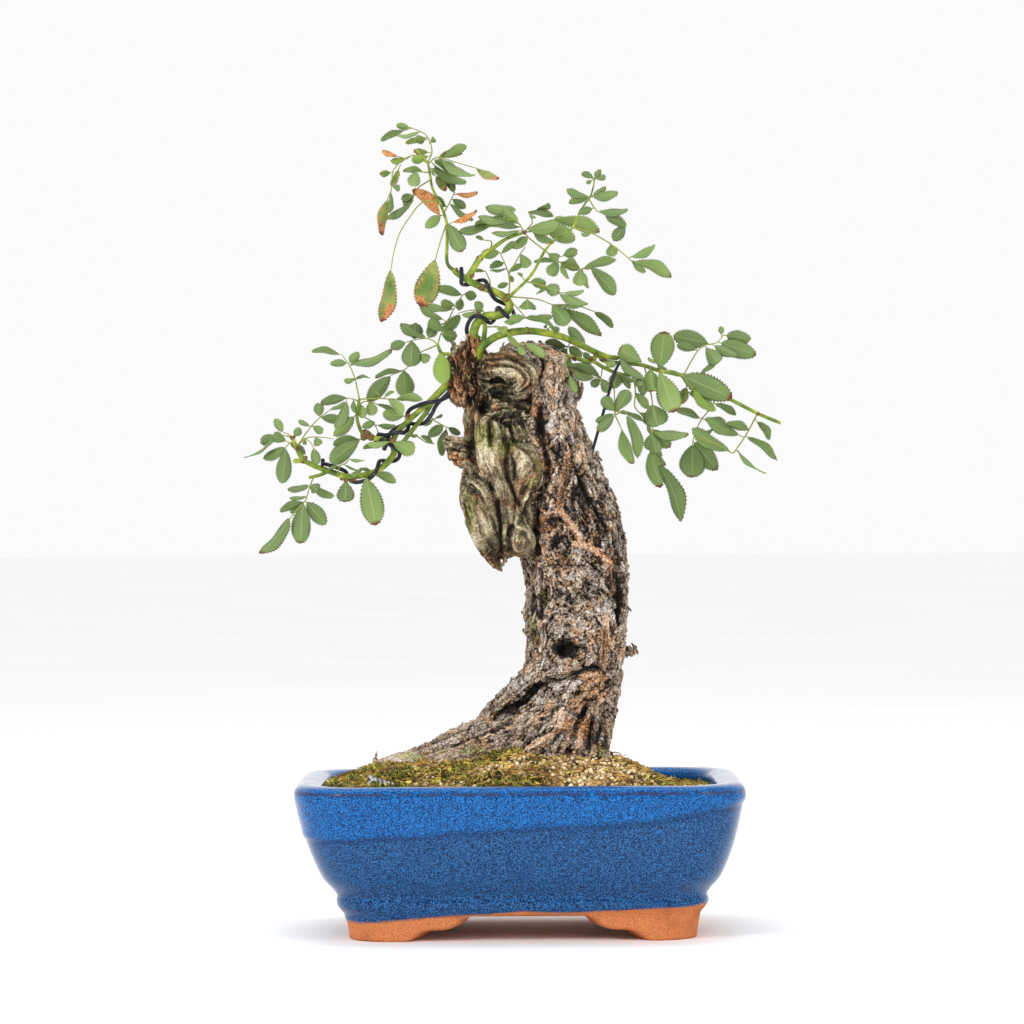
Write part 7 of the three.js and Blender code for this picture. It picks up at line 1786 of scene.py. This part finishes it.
rightLeaves = [
  [[[60, 275.6, 2], [60.6, 276.8, -8]], [[60.8, 277, 49.3, 283.4, 8.8, -4], [59, 276, 48.4, 277.4, 2, -6]]],
  [[[42, 277.6, -3], [43, 276.6, -7]], [[42.6, 276.6, 48.2, 275, 3, -4], [42.6, 276.4, 45.4, 273.8, 2.4, -4]]],
  [[[56.6, 270.2, -10], [61.4, 268.6, -12]], [
    [61.4, 268.6, 49, 277, 5, -4], [58.4, 269.8, 60.4, 264.6, 4.6, -4], [60, 268.6, 61.6, 260.6, 4.4, 5],
  ]],
  [[[51, 270.8, -9], [49.4, 271.6, -5]], [
    [49, 271.6, 46.6, 264, 6.6, 5], [50, 270.8, 57, 267, 2.4, 5], [49.4, 270.8, 54.6, 264, 2.6, 8],
  ]],
  [[[41.2, 274.8, -6], [41, 271, -8], [40.6, 268.6, -9]], [
    [40.6, 268.6, 45, 261.8, 5.2, -4], [40.4, 268.2, 36, 265, 4.2, 3], [40.4, 269, 25, 277, 4.6, -10],
    [37, 266.4, 26, 271.6, 5.4, -11],
  ]],
  [[[27, 279.2, -1], [24, 279, -14], [23.4, 276, -19], [25, 271, -20]], [[22, 278, 25.6, 274.8, 3.6, 5], [25, 270, 28.4, 262, 4, 4]]],
  [[[30, 279, -2], [31.4, 281.6, 3]], [[30.6, 282, 35, 278.6, 3.2, 4]]],
  [[[33, 284.2, -5], [33, 285.4, -2]], [[33.2, 285.4, 25, 293.8, 5, 6]]],
  [[[26, 287.4, -5], [24.6, 284.4, 1]], [[24.6, 283.6, 13.4, 286.6, 3.6, 5], [24.6, 284, 31, 279.4, 5, 7], [24.4, 283, 19.6, 277.4, 4.6, 6], [24.6, 281.8, 17.6, 283, 2.6, 8]]],
  [[[14, 291.2, -8], [15.6, 294, -10]], [[16, 294.4, 20.6, 292, 2.8, -4], [13.6, 292.6, 12.8, 295, 1.8, -3]]],
  [[[46.6, 272, -7], [47.2, 264, -14], [47.3, 257, -17], [47.6, 250.6, -19]], [
    [46.6, 252, 41.4, 259.8, 5.8, -4], [47, 250.6, 38.4, 247.6, 3.8, 6], [47.4, 250, 38.8, 242.8, 5, -4],
    [48, 251, 49.6, 258.8, 4.4, 5], [49, 252, 54.8, 263.4, 6.6, -6], [50, 253, 61.6, 248.6, 2.2, 7],
  ]],
  [[[47.6, 250.6, -19], [50, 245.6, -21], [50.8, 243.6, -22]], [[50.8, 243.6, 55.3, 226.2, 6, -4]]],
  [[[47.7, 250.8, -19], [52, 253, -24], [53.8, 250.4, -26]], [[53.8, 250.2, 60, 229.8, 5.6, -5]]],
  [[[56.6, 270.2, -10], [57.6, 262, -6], [57.4, 254.6, -3], [60, 251.4, -1], [63, 247.6, 0]], [
    [57.8, 261.6, 63.8, 254.4, 4.2, 5], [60, 252, 62.4, 251, 1.6, 3], [63.4, 247.2, 66.4, 240.4, 2.4, 5],
  ]],
  [[[61.4, 275.2, 2], [64.4, 265, -3], [66, 256, -7], [66.2, 244.6, -11], [64.8, 238, -13], [65, 233.4, -14], [70, 226.4, -17]], [
    [66, 255.8, 68.4, 245, 12, -5], [66, 243.4, 74.4, 235, 6.4, 6], [64.6, 242, 63, 233.6, 4.2, -4],
    [65.4, 234, 70.2, 231, 4.2, 6], [65.8, 242, 67.8, 231.6, 7.2, -8], [66.4, 242, 83.8, 240.4, 4.8, -6], [64.8, 233.8, 69.4, 215.6, 8.2, 6, 1],
    [67.6, 234.6, 71.6, 226, 3.8, 8], [70, 226.6, 82.2, 199, 7, -4],
  ]],
  [[[65, 274.2, 3], [65, 273.4, -8]], [[65.4, 273.4, 65.6, 261.8, 9.2, -5]]],
  [[[69, 272.6, 4], [69.6, 271.6, -6]], [[69.6, 271.6, 77, 251.6, 11.4, -8, 1]]],
  [[[69.4, 273, 4], [69.6, 274.2, 1]], [[69.7, 274.2, 72, 292.2, 11.4, -5, 1]]],
  [[[80, 270.2, 8], [80.6, 269.8, -2]], [[80.6, 270.4, 105.2, 259.2, 11.4, -4, 1], [85.4, 262, 95.6, 252.6, 6, 10, 4]]],
  [[[68.6, 273, 4], [68.4, 276, 8]], [[68.6, 276.4, 63.8, 278.8, 2, 4], [68, 275.4, 72.6, 272.2, 2.2, 6]]],
  [[[76, 271.4, 6], [74, 273, 11]], [[73, 273.6, 78.4, 270.4, 2, 5]]],
  [[[81, 270.2, 8], [83, 273.6, 12], [88, 282, 19], [91, 284.8, 22], [95, 285.6, 25], [98, 286.6, 27], [101, 290.4, 29]], [
    [95.6, 286.2, 76.8, 289.6, 9, 8], [88.6, 283.6, 77.8, 285.4, 4.6, -5], [93, 284.4, 98.6, 275.9, 7.6, -8],
    [99.6, 287.6, 116.4, 280.2, 8.8, 5], [96.4, 284.8, 107.6, 279.5, 5, -6], [101, 290.4, 99.6, 294.2, 2.8, 4],
    [101, 291.6, 113.4, 288, 7, 8],
  ]],
  [[[86, 267.6, 10], [89, 270.6, 15]], [[89.4, 271.4, 96, 275.6, 2.6, 5]]],
  [[[84, 268.7, 9], [83, 265.4, 14]], [[82, 264.8, 79.8, 256.4, 5.2, 5, 2]]],
  [[[92, 264.5, 13], [96, 256.8, 19], [90.6, 249.4, 23], [88.4, 245.6, 25], [86, 239, 27], [85.6, 236, 27]], [
    [94.6, 255, 85, 262.4, 3.8, 6], [90.6, 250, 78, 253.6, 4, 7], [97, 256.6, 106.8, 251.6, 3.4, 6],
    [91.6, 249.4, 101.6, 247, 3.6, 8], [86, 242, 96, 242.8, 3, -5], [85.7, 236.2, 85.4, 219.4, 12.4, -6],
    [86.4, 238.6, 97.4, 224, 9.4, 7],
  ]],
  [[[117.5, 251.6, 26], [111.6, 240.6, 18], [107, 234, 13], [105.6, 232.2, 12], [98, 236, 6], [88, 239.6, 2]], [
    [113, 243.6, 101.8, 247.4, 4.8, -8], [109, 242.4, 91.4, 248.4, 5.8, -4], [104.4, 233.6, 84.4, 243, 7.4, -7],
    [118.4, 248.8, 125, 239.4, 4.2, -8], [113, 241.2, 128, 229.6, 3.6, -8], [107.4, 234.2, 120.4, 220.6, 2.4, -6],
  ]],
]

caneFinish, leafFinish = caneMaterial(), leafMaterial()
growth = {
    "branch_left": ("left", leftCaneRows, leftTwigs, leftKnobs, leftLeaves, 11),
    "shoot_left_top": ("topShoot", topShootRows, [], [], topShootLeaves, 23),
    "branch_crown": ("crown", crownCaneRows, crownTwigs, crownKnobs, crownLeaves, 37),
    "branch_right": ("right", rightCaneRows, rightTwigs, rightKnobs, rightLeaves, 51),
}
caneStems = {}
for node, (name, *grown) in growth.items():
    canes, blades, caneStems[node] = growStem(name, *grown)
    place(canes, caneFinish, "leaf", node)
    place(blades, leafFinish, "leaf", node)
print("canes and leaves grown")


# ---- Wires: rows are the length along the cane, the turn in degrees and how far the wire stands off
wireShape = {"radius": 1.02, "guy": 0.75, "tie": 1.0, "sides": 14}
leftWound = [
    (11, 95, 0), (16, 92, 0), (22, 92, 0.2), (27, 84, 2.2), (32, 74, 3.4), (36, 50, 2.6), (40, 5, 0.8), (45, -40, 0.2),
    (50, -100, 0), (53.5, -180, 0), (57, -268, 0), (60, -330, 0), (63.5, -420, 0), (66, -480, 0), (70, -545, 0),
    (75, -600, 0), (79, -632, 0), (82.5, -700, 0), (85.5, -780, 0), (89, -805, 0), (93, -815, 0), (96, -790, 0),
]
stubWound = [
    (9, 120, 1.6), (14, 118, 1.9), (18, 130, 1.4), (22, 158, 0.6), (25, 190, 0), (29, 232, 0), (33, 262, 0.6),
    (36, 292, 0.4), (38.5, 355, 0), (41, 430, 0), (44, 480, 0), (46, 540, 0), (48, 590, 0),
]
crownWound = [
    (4, -40, 0.4), (8, 30, 0), (13, 85, 0.2), (18, 130, 0.4), (22, 210, 0), (26, 350, 0), (30, 500, 0), (33, 640, 0.4),
    (36, 725, 0.4), (42, 790, 0), (48, 880, 0), (53, 985, 0.3), (58, 1080, 0.3), (61, 1140, 0), (63.4, 1230, 0),
]
leftFree = [(-95.9, 226.6, -9), (-95.7, 228.6, -9)]
stubFree = [
    (-64.6, 240.8, -4), (-68, 241.6, -1), (-70, 238.6, 2), (-69.4, 235.7, 0), (-68.6, 235.9, -5),
    (-66.6, 239, -7.4), (-64.6, 235.8, -8), (-65.4, 234.2, -7),
]
crownFree = [(-27.6, 319.6, -11.4), (-27.8, 322.6, -11.6)]
guyRun = [
    (53, 274.2, 4.4), (52.6, 277.6, 3.6), (51.6, 279, 0), (50.6, 277.6, -6.4), (47.6, 272, -15),
    (44, 259.6, -15), (40, 245.4, -9), (37.2, 235.4, -4), (35.6, 229.4, -1), (34.4, 225, 1),
]


def woundPoints(stem, rows, wire, free):
    fine = np.linspace(0, 1, 201)
    run = np.concatenate([[0], np.cumsum(np.linalg.norm(np.diff(curveAt(stem["points"], fine), axis=0), axis=1))])
    count = len(rows) * 8
    at = curveAt(np.array(rows, float), np.linspace(0, 1, count + 1))
    t = np.interp(np.clip(at[:, 0], 0, run[-1]), run, fine)
    tangent = tangentAt(stem["points"], t)
    side = sideways(tangent)
    front = unit(np.cross(tangent, side))
    angle = np.radians(at[:, 1])[:, None]
    stand = (radiusAt(stem, t) + wire + 0.45 + at[:, 2])[:, None]
    points = curveAt(stem["points"], t) + side * stand * np.sin(angle) - front * stand * np.cos(angle)
    return np.vstack([points] + [seen(*spot)[None] for spot in free])


def makeWire(name, points, radius):
    gather = Builder()
    length = np.linalg.norm(np.diff(points, axis=0), axis=1).sum()
    gather.tube(curveAt(points, np.linspace(0, 1, int(length / 0.7))), radius, wireShape["sides"])
    return gather.make(name)


def wireMaterial(name, dark, light, metal, rough):
    material, tree, shader, where = newMaterial(name, Metallic=metal)
    fine = useGroup(tree, speckleGroup, place=where, size=0.005, fleck=0.0006)
    tree.links.new(ramp(tree, fine["blotch"], [(0.35, dark), (0.7, light)]), shader.inputs["Base Color"])
    tree.links.new(spread(tree, fine["fleck"], 0.3, 0.7, rough), shader.inputs["Roughness"])
    tree.links.new(bumped(tree, fine["fleck"], 0.2, 0.0001), shader.inputs["Normal"])
    return material


def makeTieWire():
    # one strand comes up out of the soil and another from behind; both twist together
    start, end = np.array([-69, -61.2, 77.4]), np.array([-60.8, -62.4, 74.6])
    along = end - start
    side = sideways(along[None] / np.linalg.norm(along))[0]
    front = unit(np.cross(along, side))
    gather = Builder()
    t = np.linspace(0, 1, 46)
    roots = ([(-69, -62.4, 69), (-71.2, -62.6, 72.4), (-72, -62, 75.6)], [(-70, -53, 71), (-71.6, -56, 77), (-71.4, -59.6, 79)])
    for first, root in zip((0, math.pi), roots):
        angle = (first + t * 4 * math.pi)[:, None]
        twist = start + along * t[:, None] + (side * np.cos(angle) + front * np.sin(angle)) * wireShape["tie"]
        path = np.vstack([root, twist[2:]])
        gather.tube(curveAt(path, np.linspace(0, 1, 150)), wireShape["tie"], 10)
    return gather.make("tieWire")


wireFinish = wireMaterial("anodisedWire", colour(0.012, 0.013, 0.02), colour(0.035, 0.037, 0.055), 0.55, (0.28, 0.42))
tieFinish = wireMaterial("bareTieWire", colour(0.3, 0.31, 0.33), colour(0.6, 0.61, 0.62), 1.0, (0.25, 0.45))
wires = {
    "wire_left": woundPoints(caneStems["branch_left"], leftWound, wireShape["radius"], leftFree),
    "wire_stub": woundPoints(caneStems["branch_left"], stubWound, wireShape["radius"], stubFree),
    "wire_crown": woundPoints(caneStems["branch_crown"], crownWound, wireShape["radius"], crownFree),
    "wire_guy": np.vstack([seen(*spot)[None] for spot in guyRun]),
}
for node, points in wires.items():
    radius = wireShape["guy"] if node == "wire_guy" else wireShape["radius"]
    place(makeWire(node.replace("_", "") + "Run", points, radius), wireFinish, "wire", node)
place(makeTieWire(), tieFinish, "tie_wire", "tie_wire")
print("wires made")


# ---- Floor and lights
studio = {"floorHalf": 30.0, "sky": 0.965, "room": 0.12, "keyPower": 12.0, "fillPower": 7.0, "topPower": 8.0}


def makeFloor():
    half = studio["floorHalf"] * 1000
    points = np.array([[-half, -half, 0], [half, -half, 0], [half, half, 0], [-half, half, 0]])
    floor = makeObject("floor", points, [[0, 1, 2, 3]], smooth=False)
    material, tree, shader, where = newMaterial("paleFloor", Roughness=0.7)
    shade = useGroup(tree, speckleGroup, place=where, size=0.4, fleck=0.02)
    tree.links.new(ramp(tree, shade["blotch"], [(0.3, colour(0.97, 0.97, 0.97)), (0.7, colour(1, 1, 1))]),
                   shader.inputs["Base Color"])
    floor.data.materials.append(material)


def addLight(name, place3d, aim, size, power):
    data = bpy.data.lights.new(name, "AREA")
    data.shape = "RECTANGLE"
    data.size, data.size_y = size
    data.energy = power
    light = bpy.data.objects.new(name, data)
    light.location = place3d
    light.rotation_euler = (Vector(aim) - Vector(place3d)).to_track_quat("-Z", "Y").to_euler()
    bpy.context.scene.collection.objects.link(light)


def makeStudio():
    world = bpy.data.worlds.new("studio")
    bpy.context.scene.world = world
    world.use_nodes = True
    tree = world.node_tree
    paper = tree.nodes["Background"]
    paper.inputs[0].default_value = colour(1, 1, 1)
    # gloss mirrors a dim room in front of the pot and the pale paper behind it
    towards = addNode(tree, "ShaderNodeSeparateXYZ", {0: addNode(tree, "ShaderNodeTexCoord").outputs["Generated"]})
    room = spread(tree, towards.outputs[1], -0.6, 0.5, (studio["room"], studio["sky"]))
    mirrored = addNode(tree, "ShaderNodeLightPath").outputs["Is Glossy Ray"]
    strength = addNode(tree, "ShaderNodeMix", {0: mirrored, 2: studio["sky"], 3: room}, data_type="FLOAT")
    tree.links.new(strength.outputs[0], paper.inputs[1])
    addLight("keyLeft", (-1.0, -1.3, 1.1), (0, 0, 0.18), (0.35, 0.6), studio["keyPower"])
    addLight("fillRight", (1.2, -1.2, 0.8), (0, 0, 0.15), (0.6, 0.9), studio["fillPower"])
    addLight("overhead", (0, 0.1, 1.5), (0, 0, 0.2), (1.2, 0.9), studio["topPower"])
    bpy.context.scene.view_settings.view_transform = "Standard"


makeFloor()
makeStudio()

print("scene ready")
